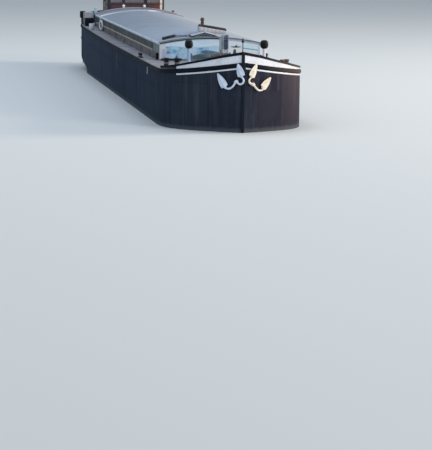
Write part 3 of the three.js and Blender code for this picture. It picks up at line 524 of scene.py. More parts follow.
def paint(name, base, rough=0.45, vary=0.12, dirt="#2b2620", dirt_amount=0.25, streaks=0.0, rust=0.0, scale=1.0, orange=0.02, coat=0.0, spec=None):
    """Painted metal or timber: slow tone drift, grime in blotches, run-off streaks on walls, fine brush bump."""
    m = Mat(name, rough, 0.0, coat, spec)
    base = lin(base) if isinstance(base, str) else base
    dark = tuple(c * (1 - vary) for c in base[:3])
    light = tuple(min(1, c * (1 + vary)) for c in base[:3])
    col = m.mix(m.ramp(m.noise(0.6 * scale, 4), (0.35, 0.0), (0.65, 1.0)), dark, light)
    fine = m.noise(16 * scale, 5, 0.6)
    grime = m.ramp(m.math("MULTIPLY", m.noise(1.9 * scale, 6, 0.62), m.math("ADD", m.math("MULTIPLY", fine, 0.6), 0.7)), (0.50, 0.0), (0.72, 1.0))
    col = m.mix(m.math("MULTIPLY", grime, dirt_amount), col, lin(dirt))
    if streaks:
        run = m.noise(3.0 * scale, 4, 0.6, vec=m.scaled((3.2, 3.2, 0.22)))
        col = m.mix(m.math("MULTIPLY", m.ramp(run, (0.50, 0.0), (0.78, 1.0)), streaks), col, lin(dirt))
    if rust:
        spot = m.ramp(m.noise(5.2 * scale, 8, 0.72), (0.66, 0.0), (0.73, 1.0))
        col = m.mix(m.math("MULTIPLY", spot, rust), col, m.mix(fine, lin("#3d1c10"), lin("#8a4a24")))
    m.set("Base Color", col)
    m.set("Roughness", m.math("ADD", m.math("MULTIPLY", m.math("SUBTRACT", fine, 0.5), 0.2), m.math("ADD", m.math("MULTIPLY", grime, 0.15), rough), True))
    m.bump(m.math("ADD", m.math("MULTIPLY", m.noise(2.0, 3), 3.0), m.noise(95, 3, 0.6)), 0.22, orange * 0.1)
    return m.mat


def bare_iron(name, base="#5a4034", rough=0.6, metal=0.35):
    m = Mat(name, rough, metal)
    n1, n2 = m.noise(4, 6, 0.65), m.noise(28, 6, 0.6)
    col = m.mix(m.ramp(n1, (0.35, 0.0), (0.68, 1.0)), tuple(c * 0.65 for c in lin(base)[:3]), lin(base))
    col = m.mix(m.ramp(n2, (0.55, 0.0), (0.75, 0.8)), col, lin("#8a5636"))
    m.set("Base Color", col)
    m.set("Roughness", m.math("ADD", m.math("MULTIPLY", n2, 0.3), rough - 0.15, True))
    m.bump(n2, 0.35, 0.004)
    return m.mat


def timber(name, light, dark, rough=0.32, axis=2, varnish=0.35, ring=26.0, port_light_tones=None):
    """Wood with its grain along one axis."""
    m = Mat(name, rough, 0.0, varnish)
    m.b.inputs["Coat Roughness"].default_value = 0.18
    k = [1.0, 1.0, 1.0]
    k[axis] = 0.09
    v = m.scaled(tuple(k))
    warp = m.noise(3.2, 4, 0.5, vec=v)
    grain = m.wave(ring * 0.35, vec=v, distort=9.0, detail=3.0, direction="DIAGONAL")
    fine = m.noise(70, 5, 0.6, vec=v)
    t = m.math("ADD", m.math("MULTIPLY", grain, 0.55), m.math("MULTIPLY", warp, 0.45))
    col = m.mix(m.ramp(t, (0.25, 0.0), (0.8, 1.0)), lin(dark), lin(light))
    if port_light_tones:  # painted light: redder, warmer wood towards the port side, where the light falls
        x = m.xyz()[0]
        edge = m.ramp(m.math("MULTIPLY", m.math("ADD", m.math("ADD", x, 2.0), m.math("MULTIPLY", warp, 0.16)), 0.25), (0.700, 0.0), (0.765, 1.0))
        col = m.mix(edge, col, m.mix(m.ramp(t, (0.25, 0.0), (0.8, 1.0)), lin(port_light_tones[1]), lin(port_light_tones[0])))
    col = m.mix(m.math("MULTIPLY", m.ramp(fine, (0.35, 1.0), (0.55, 0.0)), 0.45), col, tuple(c * 0.4 for c in lin(dark)[:3]))
    col = m.mix(m.math("MULTIPLY", m.ramp(m.noise(0.9, 3), (0.45, 0.0), (0.75, 1.0)), 0.3), col, tuple(c * 0.55 for c in lin(dark)[:3]))
    m.set("Base Color", col)
    m.set("Roughness", m.math("ADD", m.math("MULTIPLY", fine, 0.2), rough - 0.08, True))
    m.bump(fine, 0.12, 0.002)
    return m.mat


def glass(name, tint=(0.55, 0.63, 0.66), rough=0.03):
    m = Mat(name, rough)
    m.set("Base Color", m.mix(m.ramp(m.noise(1.3, 3), (0.3, 0.0), (0.7, 1.0)), tuple(c * 0.85 for c in tint), tint))
    m.b.inputs["Transmission Weight"].default_value = 0.55
    m.b.inputs["Specular IOR Level"].default_value = 0.3
    m.b.inputs["IOR"].default_value = 1.45
    m.set("Roughness", m.math("ADD", m.math("MULTIPLY", m.ramp(m.noise(6, 6), (0.5, 0.0), (0.75, 1.0)), 0.12), rough, True))
    return m.mat


def hull_material():
    """Blue-black side paint, lighter past the bow and farther aft, with painted warm light on the port bow's upper
    plating, plate by plate tone, a pale scum band just over the water and weed below.
    """
    m = Mat("hull_sides", 0.6, spec=0.0)
    x, y, z = m.xyz()
    plate = m.nt.nodes.new("ShaderNodeTexBrick")
    m.put(plate.inputs["Vector"], m.scaled((1, 1, 1), rot=(math.pi / 2, 0, math.pi / 2)))
    plate.inputs["Scale"].default_value = 1.0
    plate.inputs["Brick Width"].default_value, plate.inputs["Row Height"].default_value = 4.6, 1.1
    plate.inputs["Mortar Size"].default_value, plate.inputs["Mortar Smooth"].default_value = 0.012, 0.6
    plate.inputs["Color1"].default_value, plate.inputs["Color2"].default_value = (0.25, 0.25, 0.25, 1), (0.95, 0.95, 0.95, 1)
    plate.inputs["Mortar"].default_value = (0.0, 0.0, 0.0, 1)
    base = m.mix(plate.outputs["Color"], lin("#262c37"), lin("#323945"))
    side = m.ramp(m.math("MULTIPLY", m.math("ADD", y, 19.0), 0.1), (0.12, 0.0), (0.50, 1.0))
    base = m.mix(side, base, m.mix(plate.outputs["Color"], lin("#303744"), lin("#3b4352")))
    aft = m.ramp(m.math("MULTIPLY", m.math("ADD", y, 19.0), 0.025), (0.40, 0.0), (0.80, 1.0))
    base = m.mix(aft, base, m.mix(plate.outputs["Color"], lin("#3a4350"), lin("#495361")))
    # painted light: the port bow turns warm brown towards the shoulder and the deck, where the low light falls
    port_bow_light_mask = m.ramp(m.math("MULTIPLY", m.ramp(x, (0.0, 0.0), (1.0, 1.0)), m.ramp(m.math("MULTIPLY", y, -0.05), (0.80, 0.0), (0.93, 1.0))), (0.0, 0.0), (1.0, 1.0))
    n = m.noise(0.9, 6, 0.6)
    port_bow_light_ramp = m.math("MULTIPLY", m.ramp(m.math("MULTIPLY", x, 0.4), (0.52, 0.0), (0.93, 1.0)), m.ramp(m.math("MULTIPLY", z, 0.33), (0.20, 0.45), (0.80, 1.0)))
    base = m.mix(m.math("MULTIPLY", port_bow_light_mask, m.math("ADD", n, 0.25, True)), base, m.mix(port_bow_light_ramp, lin("#312e3a"), lin("#6e5c5d")))
    base = m.mix(m.math("MULTIPLY", m.ramp(m.noise(1.7, 7, 0.68), (0.5, 0.0), (0.75, 1.0)), 0.30), base, lin("#3f4752"))
    streak = m.noise(2.6, 4, 0.6, vec=m.scaled((2.5, 2.5, 0.14)))
    base = m.mix(m.math("MULTIPLY", m.ramp(streak, (0.5, 0.0), (0.8, 1.0)), 0.38), base, lin("#5c626f"))
    rust = m.ramp(m.noise(4.4, 8, 0.74), (0.66, 0.0), (0.72, 1.0))
    base = m.mix(m.math("MULTIPLY", rust, 0.55), base, lin("#4c2a1c"))
    # scum line and the wet band under it
    edge = m.math("ADD", z, m.math("MULTIPLY", m.math("SUBTRACT", m.noise(5.0, 5, 0.6), 0.5), 0.10))
    scum = m.ramp(m.math("MULTIPLY", edge, 0.5), (0.335, 0.0), (0.352, 1.0), (0.385, 0.9), (0.44, 0.0))
    base = m.mix(m.math("MULTIPLY", scum, 0.55), base, m.mix(m.noise(14, 5), lin("#50565b"), lin("#747b81")))
    under = m.ramp(m.math("MULTIPLY", edge, 0.5), (0.31, 1.0), (0.345, 0.0))
    base = m.mix(under, base, m.mix(m.noise(3.5, 7, 0.7), lin("#352320"), lin("#3f3d33")))
    m.set("Base Color", base)
    m.set("Roughness", m.math("ADD", m.math("MULTIPLY", n, 0.25), m.math("ADD", m.math("MULTIPLY", scum, 0.3), 0.38), True))
    m.bump(m.math("ADD", m.math("MULTIPLY", m.noise(0.8, 3), 6.0), m.math("ADD", m.noise(60, 4), m.math("MULTIPLY", rust, 0.6))), 0.35, 0.004)
    return m.mat


def deck_material():
    """Grey non-slip deck paint, scuffed paler along the walkways, damp darker patches."""
    m = Mat("deck_paint", 0.8)
    n1, n2, n3 = m.noise(0.55, 5), m.noise(3.4, 7, 0.68), m.noise(40, 4, 0.6)
    col = m.mix(m.ramp(n1, (0.35, 0.0), (0.68, 1.0)), lin("#83848d"), lin("#9d9da7"))
    col = m.mix(m.math("MULTIPLY", m.ramp(n2, (0.48, 0.0), (0.72, 1.0)), 0.55), col, lin("#67666b"))
    col = m.mix(m.math("MULTIPLY", m.ramp(n2, (0.28, 1.0), (0.42, 0.0)), 0.35), col, lin("#adaaaf"))
    col = m.mix(m.math("MULTIPLY", m.ramp(m.noise(6.5, 8, 0.75), (0.66, 0.0), (0.72, 1.0)), 0.5), col, lin("#5d3a28"))
    col = m.mix(m.math("MULTIPLY", n3, 0.18), col, lin("#47464b"))
    m.set("Base Color", col)
    m.set("Roughness", m.math("ADD", m.math("MULTIPLY", n2, 0.2), 0.62, True))
    m.bump(m.math("ADD", m.noise(130, 3, 0.6), m.math("MULTIPLY", n2, 0.8)), 0.4, 0.003)
    return m.mat


HULL = hull_material()
DECK = deck_material()
BLACK = paint("black_gloss", "#16181e", 0.36, vary=0.25, dirt="#34302c", dirt_amount=0.5, rust=0.2, spec=0.2)
WHITE = paint("white_gloss", "#e4e8f1", 0.38, vary=0.04, dirt="#9a958c", dirt_amount=0.4, streaks=0.22, rust=0.12)


def painted_light_paint(name, here, lit_fore_tone, port, rough=0.55, spec=0.3, dirt="#59626f", start=-0.2, end=1.6, dirty=0.16, scale=1.1):
    """Satin paint with painted light: one tone aft, a lighter lit tone forward and a third lit tone across the port
    side, with grime blotches over it.
    """
    m = Mat(name, rough, 0.0, 0.0, spec)
    x, y, z = m.xyz()
    n = m.noise(0.35, 4)
    # painted light: the tone brightens forward
    fore_light_mask = m.ramp(m.math("ADD", m.math("MULTIPLY", y, -0.05), m.math("MULTIPLY", n, 0.25)), (-0.0, 0.0), (0.45, 1.0))
    col = m.mix(fore_light_mask, lin(here), lin(lit_fore_tone))
    # painted light: the tone turns to the lit port tone across the port side
    side = m.ramp(m.math("MULTIPLY", m.math("ADD", x, 2.5), 0.2), (0.5 + 0.2 * start, 0.0), (0.5 + 0.2 * end, 1.0))
    col = m.mix(side, col, lin(port))
    grime = m.ramp(m.noise(scale, 6, 0.6), (0.50, 0.0), (0.75, 1.0))
    col = m.mix(m.math("MULTIPLY", grime, dirty), col, lin(dirt))
    m.set("Base Color", col)
    m.set("Roughness", m.math("ADD", m.math("MULTIPLY", grime, 0.12), rough, True))
    m.bump(m.noise(90, 3, 0.6), 0.15, 0.001)
    return m.mat


# painted light: the wale and rails stay black to starboard and turn warm brown along the port side
WALE = painted_light_paint("wale_black", "#1b1f29", "#191c27", "#544b48", rough=0.6, spec=0.03, dirt="#2b2b31", start=0.7, end=2.3)
# painted light: the anchors are cool blue-white to starboard and warm white to port
ANCHOR = painted_light_paint("anchor_white", "#d4e2f7", "#d4e2f7", "#f4e7d8", rough=0.45, spec=0.4, dirt="#6f675e", start=0.0, end=0.06, dirty=0.55, scale=9.0)
# painted light: the roof is lighter forward and to port
ROOF = painted_light_paint("roof_satin", "#8692a4", "#98a5b8", "#adb0bb", rough=0.55, spec=0.35)
COAMING = paint("coaming_grey", "#827f83", 0.7, vary=0.14, dirt="#2f2b29", dirt_amount=0.65, streaks=0.5, rust=0.3, spec=0.08)
GREY = paint("mid_grey", "#575f67", 0.55, vary=0.12, dirt="#262422", dirt_amount=0.55, rust=0.3)
LIGHT_GREY = paint("light_grey", "#acafb5", 0.55, vary=0.08, dirt="#56534f", dirt_amount=0.5, rust=0.25)
GREEN_GREY = paint("green_grey", "#4b5652", 0.55, vary=0.14, dirt="#1f211d", dirt_amount=0.55, rust=0.3)
IRON = bare_iron("red_brown_iron", "#5f3d34")
STEEL = bare_iron("worn_steel", "#848587", 0.42, 0.8)
BEIGE = paint("beige_guard", "#b2a79c", 0.6, vary=0.08, dirt="#4f4842", dirt_amount=0.5, rust=0.2)
OLIVE = paint("dark_olive", "#555b59", 0.6, vary=0.16, dirt="#222321", dirt_amount=0.5, streaks=0.3, spec=0.05)
TEAL_GREY = paint("teal_grey", "#6d7a7c", 0.6, vary=0.1, dirt="#333836", dirt_amount=0.5, streaks=0.3)
PALE = paint("pale_trim", "#d4dfea", 0.42, vary=0.05, dirt="#85827c", dirt_amount=0.4, rust=0.08)
LIGHT_BLUE = paint("light_blue", "#a4c9e5", 0.42, vary=0.06, dirt="#6b6a66", dirt_amount=0.35, streaks=0.2)
LILAC = paint("lilac_grey", "#a2a8b2", 0.45, vary=0.06, dirt="#57565c", dirt_amount=0.45, streaks=0.2)
NAVY = paint("navy_trim", "#25364c", 0.4, vary=0.14, dirt="#2c2c2c", dirt_amount=0.4)
BROWN = paint("brown_paint", "#5e5453", 0.5, vary=0.14, dirt="#2c2826", dirt_amount=0.55, rust=0.25)
COPING_BROWN = paint("coping_taupe", "#9f979e", 0.6, vary=0.10, dirt="#544c4c", dirt_amount=0.5, rust=0.15, spec=0.2)
SAGE = paint("sage_grey", "#9eaba6", 0.55, vary=0.10, dirt="#4a504c", dirt_amount=0.5, spec=0.2)
SLATE = paint("slate_grey", "#677185", 0.55, vary=0.14, dirt="#2a2c31", dirt_amount=0.5, spec=0.2)
CHIMNEY = bare_iron("chimney_iron", "#584b49", 0.65, 0.2)
TAUPE_IRON = paint("taupe_iron", "#6d5a53", 0.6, vary=0.25, dirt="#2c2827", dirt_amount=0.6, rust=0.4)
RED_IRON = paint("red_lead", "#955054", 0.6, vary=0.2, dirt="#4a3033", dirt_amount=0.6, rust=0.4)
CREAM = paint("cream_trim", "#e6ddd2", 0.5, vary=0.04, dirt="#b9aea2", dirt_amount=0.4)
DARK_POST = paint("dark_post", "#35343f", 0.5, vary=0.15, dirt="#1a1a1e", dirt_amount=0.4, spec=0.15)
BRONZE = bare_iron("cast_bronze", "#8a6b36", 0.38, 0.9)
BRASS = bare_iron("brass", "#a98643", 0.3, 1.0)
# painted light: warm red-brown tones for the port side of the wheelhouse wood
PORT_LIGHT_WOOD = ("#874832", "#643020")
WOOD = timber("hardwood_upright", "#58424a", "#433136", rough=0.45, axis=2, varnish=0.15, port_light_tones=PORT_LIGHT_WOOD)
WOOD_X = timber("hardwood_across", "#58424a", "#433136", rough=0.45, axis=0, varnish=0.15, port_light_tones=PORT_LIGHT_WOOD)
WOOD_Y = timber("hardwood_along", "#5c3c3a", "#34201f", rough=0.45, axis=1, varnish=0.15)
DARK_WOOD = timber("dark_hardwood", "#43271b", "#1f0f0a", rough=0.4, axis=0)
GLASS = glass("window_glass", tint=(0.42, 0.39, 0.44), rough=0.08)

# ------------------------------------------------------------------ hull, deck and the strakes that follow its plan
_lv = np.array(LEVELS)
FOOT, BILGE, END, RUN, HOLLOW = (pchip(_lv[:, 0], _lv[:, k]) for k in range(1, 6))


def hull_point(u, z):
    """Port side plating at plan position u and height z below the deck edge."""
    s, b = float(S_OF(u)), max(0.0, float(B_OF(u)))
    foot, bilge, end, run_k, hollow = (float(f(z)) for f in (FOOT, BILGE, END, RUN, HOLLOW))
    x = b if b < 0.05 else max(0.05, b - bilge * min(1.0, b / 1.2))
    y = s
    if s < 3.6:
        y = s + foot * (1 - s / 3.6)
    if s > RUN0:
        t = min(1.0, (s - RUN0) / (38.36 - RUN0))
        run = 0.085 + (HALF_BEAM - bilge - 0.085) * max(0.0, 1 - t * t) ** hollow
        if s > 38.36:
            run *= b / 0.38
        x = x + (run - x) * run_k
        top = min(1.0, max(0.0, (z - 1.3) / (2.9 - 1.3)))
        tail = RUN0 + (end - RUN0) * t + max(0.0, s - 38.36) * (1 - run_k)
        y = tail + (s - tail) * top
    return x, y, z


def bow_u(n0=46, n1=58, n2=70):
    ua, ub = u_of_s(4.2), u_of_s(30.5)
    return np.concatenate([np.linspace(0, 1, n0) ** 1.15 * ua, np.linspace(ua, ub, n1)[1:], np.linspace(ub, U_END, n2)[1:]])


def build_hull():
    us = bow_u()
    zs = [0.0, 0.012, 0.03, 0.055, 0.085, 0.125, 0.17, 0.26, 0.38, 0.5, 0.64, 0.76, 0.84, 0.865, 0.89, 0.915, 0.94, 0.965, 1.0, 1.05, 1.11, 1.18, 1.26, 1.35, 1.5, 1.7, 1.9, 2.1, 2.3, 2.5]
    rings = []
    for u in us:
        dk = float(D_OF(u))
        col = [hull_point(u, z) for z in zs] + [(float(B_OF(u)), float(S_OF(u)), dk - 0.12), (float(B_OF(u)), float(S_OF(u)), dk)]
        rings.append(col)
    g = Geo()
    for side in (1, -1):
        R = [[(side * x, Y(s), z) for x, s, z in col] for col in rings]
        g.add(loft(R, ring_closed=False, caps=False))
    # flat bottom, and the small face at the stem
    m = len(us)
    bottom = [[(side * rings[k][0][0], Y(rings[k][0][1]), 0.0) for side in (1, -1)] for k in range(m)]
    g.add(loft([[b[0], (0, b[0][1], 0.0), b[1]] for b in bottom], ring_closed=False, caps=False))
    g.add(loft([[(c[0], Y(c[1]), c[2]), (-c[0], Y(c[1]), c[2])] for c in rings[0]], ring_closed=False, caps=False))
    # closing plate under the deck plating
    g.add(loft([[(c[-1][0], Y(c[-1][1]), c[-1][2]), (-c[-1][0], Y(c[-1][1]), c[-1][2])] for c in rings], ring_closed=False, caps=False))
    piece("hull_plating", g, [HULL], replaces=["hull"], smooth=40)

    # deck plating: a thin closed slab that covers the closing plate
    d = Geo()
    cols = 10
    top, low = [], []
    for u in us[1:-1]:
        b, s, dk = float(B_OF(u)) - 0.004, float(S_OF(u)), float(D_OF(u))
        top.append([(b * (1 - 2 * k / cols), Y(s), dk + 0.0025) for k in range(cols + 1)])
        low.append([(b * (1 - 2 * k / cols), Y(s), dk - 0.02) for k in range(cols + 1)])
    d.add(shell(top, low))
    # transverse lap straps on the foredeck, the side decks and the stern deck
    def strap(x0, x1, s, w=0.05, h=0.006):
        z0, z1 = deck_z(s - w / 2), deck_z(s + w / 2)
        v = [(x0, Y(s - w / 2), z0), (x1, Y(s - w / 2), z0), (x1, Y(s + w / 2), z1), (x0, Y(s + w / 2), z1)]
        t = [(a, b2, c + h) for a, b2, c in v]
        low = [(a, b2, c - 0.01) for a, b2, c in v]
        d.add((low + t, [(0, 1, 2, 3), (4, 5, 6, 7), (0, 1, 5, 4), (1, 2, 6, 5), (2, 3, 7, 6), (3, 0, 4, 7)]))
    for s in (2.2, 4.9, 6.9):
        strap(-half_at(s) + 0.06, half_at(s) - 0.06, s)
    for s in np.arange(10.4, 33.0, 2.4):
        for side in (-1, 1):
            strap(*sorted((side * (WALL_HALF + 0.004), side * 2.44)), s)
    for s in (35.75, 37.2):
        strap(-half_at(s) + 0.1, half_at(s) - 0.1, s)
    piece("deck_plating", d, [DECK], replaces=["hull"], smooth=40)


def plan_sweep(u0, u1, section, n, ends="port"):
    """Rings of a section swept along the plan; ends 'bow' or 'stern' joins both sides over the centreline."""
    us = np.linspace(u0, u1, n)
    P = plan_points(us)
    def ring(p, side, sec):
        return [(side * (p[0] + p[2] * o), Y(p[1] + p[3] * o), p[4] + h) for o, h in sec]
    port = [ring(p, 1, section(float(S_OF(u)))) for p, u in zip(P, us)]
    star = [ring(p, -1, section(float(S_OF(u)))) for p, u in zip(P, us)]
    return port, star


def top_fn(table, default=None):
    s = sorted(table)
    return lambda q: float(np.interp(q, s, [table[k] for k in s]))


bow_top = pchip(sorted(BOW_TOP), [BOW_TOP[k] for k in sorted(BOW_TOP)])
stern_top = pchip([34.2, 34.7, 35.2, 36.1, 36.9, 38.4], [0.05, 0.07, 0.34, 0.36, 0.36, 0.36])


def half_round(h0, h1, out, base=0.0005, n=9):
    """Half-round moulding: section rows [out, up] from h0 down to h1."""
    c, r = (h0 + h1) / 2, abs(h0 - h1) / 2
    rows = [(base, h0)]
    for k in range(1, n):
        a = math.pi / 2 - math.pi * k / n
        rows.append((base + (out - base) * min(1.0, math.cos(a) * 1.15), c + r * math.sin(a)))
    rows.append((base, h1))
    return rows


def build_strakes():
    wale = half_round(-0.012, -0.143, STRAKE_OUT)
    port, star = plan_sweep(u_of_s(0.09), U_END, lambda s: wale, 190)
    g = Geo()
    g.add(loft(port + star[::-1][1:]))
    piece("rubbing_strake_round", g, [WALE], replaces=["rubbing_strake", "bow_strake_starboard", "bow_strake_port"])
    # thin white bead under the wale at the bow, and a second thin guard lower along the sides
    b = Geo()
    for side in (0, 1):
        sec = lambda s: half_round(-0.158, -0.214, 0.014, n=6)
        run = plan_sweep(u_of_s(0.075), u_of_s(3.0 if side == 0 else 1.68), sec, 60)[side]
        b.add(loft(run))
    piece("bow_bead", b, [WHITE])
    lo = Geo()
    for side in (0, 1):
        sec = lambda s: half_round(-0.62, -0.68, 0.022, n=6)
        run = plan_sweep(u_of_s(4.4), u_of_s(36.2), sec, 90)[side]
        lo.add(loft(run))
    piece("lower_guard", lo, [HULL])


def build_bow():
    # bulwark plate, white outside, grey inside, with stays on its inner face
    g = Geo()
    plate = lambda s: [(-0.008, -0.01), (-0.008, float(bow_top(s)) + 0.003), (-0.036, float(bow_top(s)) + 0.003), (-0.036, -0.01)]
    cut = u_of_s(1.70)
    port, _ = plan_sweep(0.0, u_of_s(2.95), plate, 64)
    _, star = plan_sweep(0.0, cut, plate, 40)
    _, rest = plan_sweep(cut + 0.0005, u_of_s(2.95), plate, 26)
    centre = [(0, Y(0.05 - 1.16 * o), 3.07 + h) for o, h in plate(0.05)]
    g.add(loft(port[::-1] + [centre] + star))
    g.add(loft(rest), 2)
    P = plan_points([u_of_s(s) for s in (0.7, 1.3, 1.9, 2.5)])
    for p in P:
        for side in (1, -1):
            t = float(bow_top(p[1]))
            n, tan = Vector((side * p[2], p[3], 0)), Vector((-side * p[3], p[2], 0))
            base = Vector((side * p[0], Y(p[1]), p[4]))
            rows = [(0.036, 0.0), (0.036, t - 0.012), (0.05, t - 0.012), (0.036 + 0.42 * t, 0.02), (0.036 + 0.42 * t, 0.0)]
            M = Matrix(((-n.x, 0, tan.x, base.x), (-n.y, 0, tan.y, base.y), (0, 1, 0, base.z), (0, 0, 0, 1)))
            g.add(prism(rows, -0.006, 0.006, M), 1)
    piece("bow_bulwark_plate", g, [WHITE, GREY, BLACK], replaces=["bow_bulwark"])
    # capping rail, half round
    r = Geo()
    def cap(s):
        t = float(bow_top(s))
        rows = [(-0.0045, t - 0.036), (0.010, t - 0.036), (0.015, t - 0.030)]
        for k in range(0, 9):
            a = math.pi * k / 8
            rows.append((-0.023 + 0.039 * math.cos(a), t + 0.012 + (0.027 + 0.026 * max(0.0, 1 - s / 1.1) ** 1.5) * math.sin(a)))
        rows += [(-0.061, t - 0.018), (-0.040, t - 0.018), (-0.040, t + 0.0036), (-0.0045, t + 0.0036)]
        return rows
    port, star = plan_sweep(u_of_s(0.055), u_of_s(2.95), cap, 64)
    centre = [(0, Y(0.05 - 1.16 * o) if o < 0 else Y(0.0502), 3.07 + h) for o, h in cap(0.05)]
    r.add(loft(port[::-1] + [centre] + star))
    piece("bow_rail_round", r, [WALE], replaces=["bow_rail"])
    # stem bar with rounded front edges
    st = Geo()
    rings = []
    for z in (0.55, 0.62, 1.2, 2.0, 2.7, 3.2, 3.395, 3.405):
        k = 0.75 if z in (0.55, 3.405) else 1.0
        rows = [(-0.055, 0.0497), (-0.055, 0.016), (-0.049, 0.005), (-0.038, 0.0), (0.038, 0.0), (0.049, 0.005), (0.055, 0.016), (0.055, 0.0497)]
        rings.append([(x * k, Y(0.0497 - (0.0497 - s) * k), z) for x, s in rows])
    st.add(loft(rings))
    piece("stem_bar_rounded", st, [paint("stem_black", "#1e232e", 0.6, vary=0.15, dirt="#2b2e36", dirt_amount=0.35, rust=0.1, spec=0.03)], replaces=["stem_bar"])


def build_stern():
    g = Geo()
    plate = lambda s: [(-0.01, -0.01), (-0.01, float(stern_top(s)) + 0.003), (-0.045, float(stern_top(s)) + 0.003), (-0.045, -0.01)]
    port, star = plan_sweep(u_of_s(34.2), U_END, plate, 80)
    g.add(loft(port + star[::-1][1:]))
    for s in (35.4, 36.1, 36.8, 37.4, 37.9, 38.25):
        p = plan_points([u_of_s(s)])[0]
        for side in (1, -1):
            t = float(stern_top(s))
            n, tan = Vector((side * p[2], p[3], 0)), Vector((-side * p[3], p[2], 0))
            base = Vector((side * p[0], Y(p[1]), p[4]))
            rows = [(0.045, 0.0), (0.045, t - 0.012), (0.06, t - 0.012), (0.045 + 0.22 * t, 0.02), (0.045 + 0.22 * t, 0.0)]
            M = Matrix(((-n.x, 0, tan.x, base.x), (-n.y, 0, tan.y, base.y), (0, 1, 0, base.z), (0, 0, 0, 1)))
            g.add(prism(rows, -0.006, 0.006, M), 1)
    piece("stern_bulwark_plate", g, [BLACK, GREY], replaces=["stern_bulwark"])
    r = Geo()
    def cap(s):
        t = float(stern_top(s))
        rows = [(0.018, t + 0.004)]
        for k in range(0, 9):
            a = math.pi * k / 8
            rows.append((-0.0275 + 0.0455 * math.cos(a), t + 0.014 + 0.035 * math.sin(a)))
        rows.append((-0.073, t + 0.004))
        return rows
    port, star = plan_sweep(u_of_s(34.2), U_END, cap, 80)
    r.add(loft(port + star[::-1][1:]))
    piece("stern_rail_round", r, [BLACK], replaces=["stern_rail"])


build_hull()
build_strakes()
build_bow()
build_stern()

# ------------------------------------------------------------------ helpers for fittings


def bx(g, x0, x1, s0, s1, z0, z1, c=0.004, mi=0):
    """Chamfered block between two stations: x across, s aft of the stem, z up."""
    g.add(box((min(x0, x1), Y(min(s0, s1)), min(z0, z1)), (max(x0, x1), Y(max(s0, s1)), max(z0, z1)), c), mi)


def P3(x, s, z):
    return Vector((x, Y(s), z))


def bolt(g, p, d, r=0.011, h=0.009, mi=0):
    g.add(lathe([(0, -0.002), (r, -0.002), (r, h * 0.75), (r * 0.8, h), (0, h)], 6), mi, along(p, d))


def turned(g, x, s, z, rows, n=24, mi=0, axis=(0, 0, 1)):
    g.add(lathe(rows, n), mi, along(P3(x, s, z), axis))


def ring_torus(g, center, axis, R, r, n=40, k=10, mi=0, flat=1.0):
    """Ring about an axis; flat squeezes its section along the axis."""
    M = along(center, axis)
    rings = [[tuple(M @ Vector(((R + r * math.cos(b)) * math.cos(a), (R + r * math.cos(b)) * math.sin(a), flat * r * math.sin(b))))
              for b in (2 * math.pi * j / k for j in range(k))] for a in (2 * math.pi * i / n for i in range(n))]
    g.add(loft(rings, path_closed=True), mi)


def frame_x(g, x0, x1, z0, z1, w, s0, s1, c=0.004, mi=0):
    """Rectangular frame that faces along the boat."""
    bx(g, x0, x0 + w, s0, s1, z0, z1, c, mi)
    bx(g, x1 - w, x1, s0, s1, z0, z1, c, mi)
    bx(g, x0 + w, x1 - w, s0 + 0.0007, s1 - 0.0007, z0 + 0.0005, z0 + w, c, mi)
    bx(g, x0 + w, x1 - w, s0 + 0.0007, s1 - 0.0007, z1 - w, z1 - 0.0005, c, mi)


def frame_s(g, s0, s1, z0, z1, w, x0, x1, c=0.004, mi=0):
    """Rectangular frame that faces sideways."""
    e = 0.0007 if x1 > x0 else -0.0007
    bx(g, x0, x1, s0, s0 + w, z0, z1, c, mi)
    bx(g, x0, x1, s1 - w, s1, z0, z1, c, mi)
    bx(g, x0 + e, x1 - e, s0 + w, s1 - w, z0 + 0.0005, z0 + w, c, mi)
    bx(g, x0 + e, x1 - e, s0 + w, s1 - w, z1 - w, z1 - 0.0005, c, mi)


def dress(node, mat):
    """Keeps a construction solid as it is and gives it its finish."""
    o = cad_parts[node]
    o.data.materials.clear()
    o.data.materials.append(mat)
    for p in o.data.polygons:
        p.material_index = 0


# ------------------------------------------------------------------ deck edge bead, plate doublers, draught of the hull sides


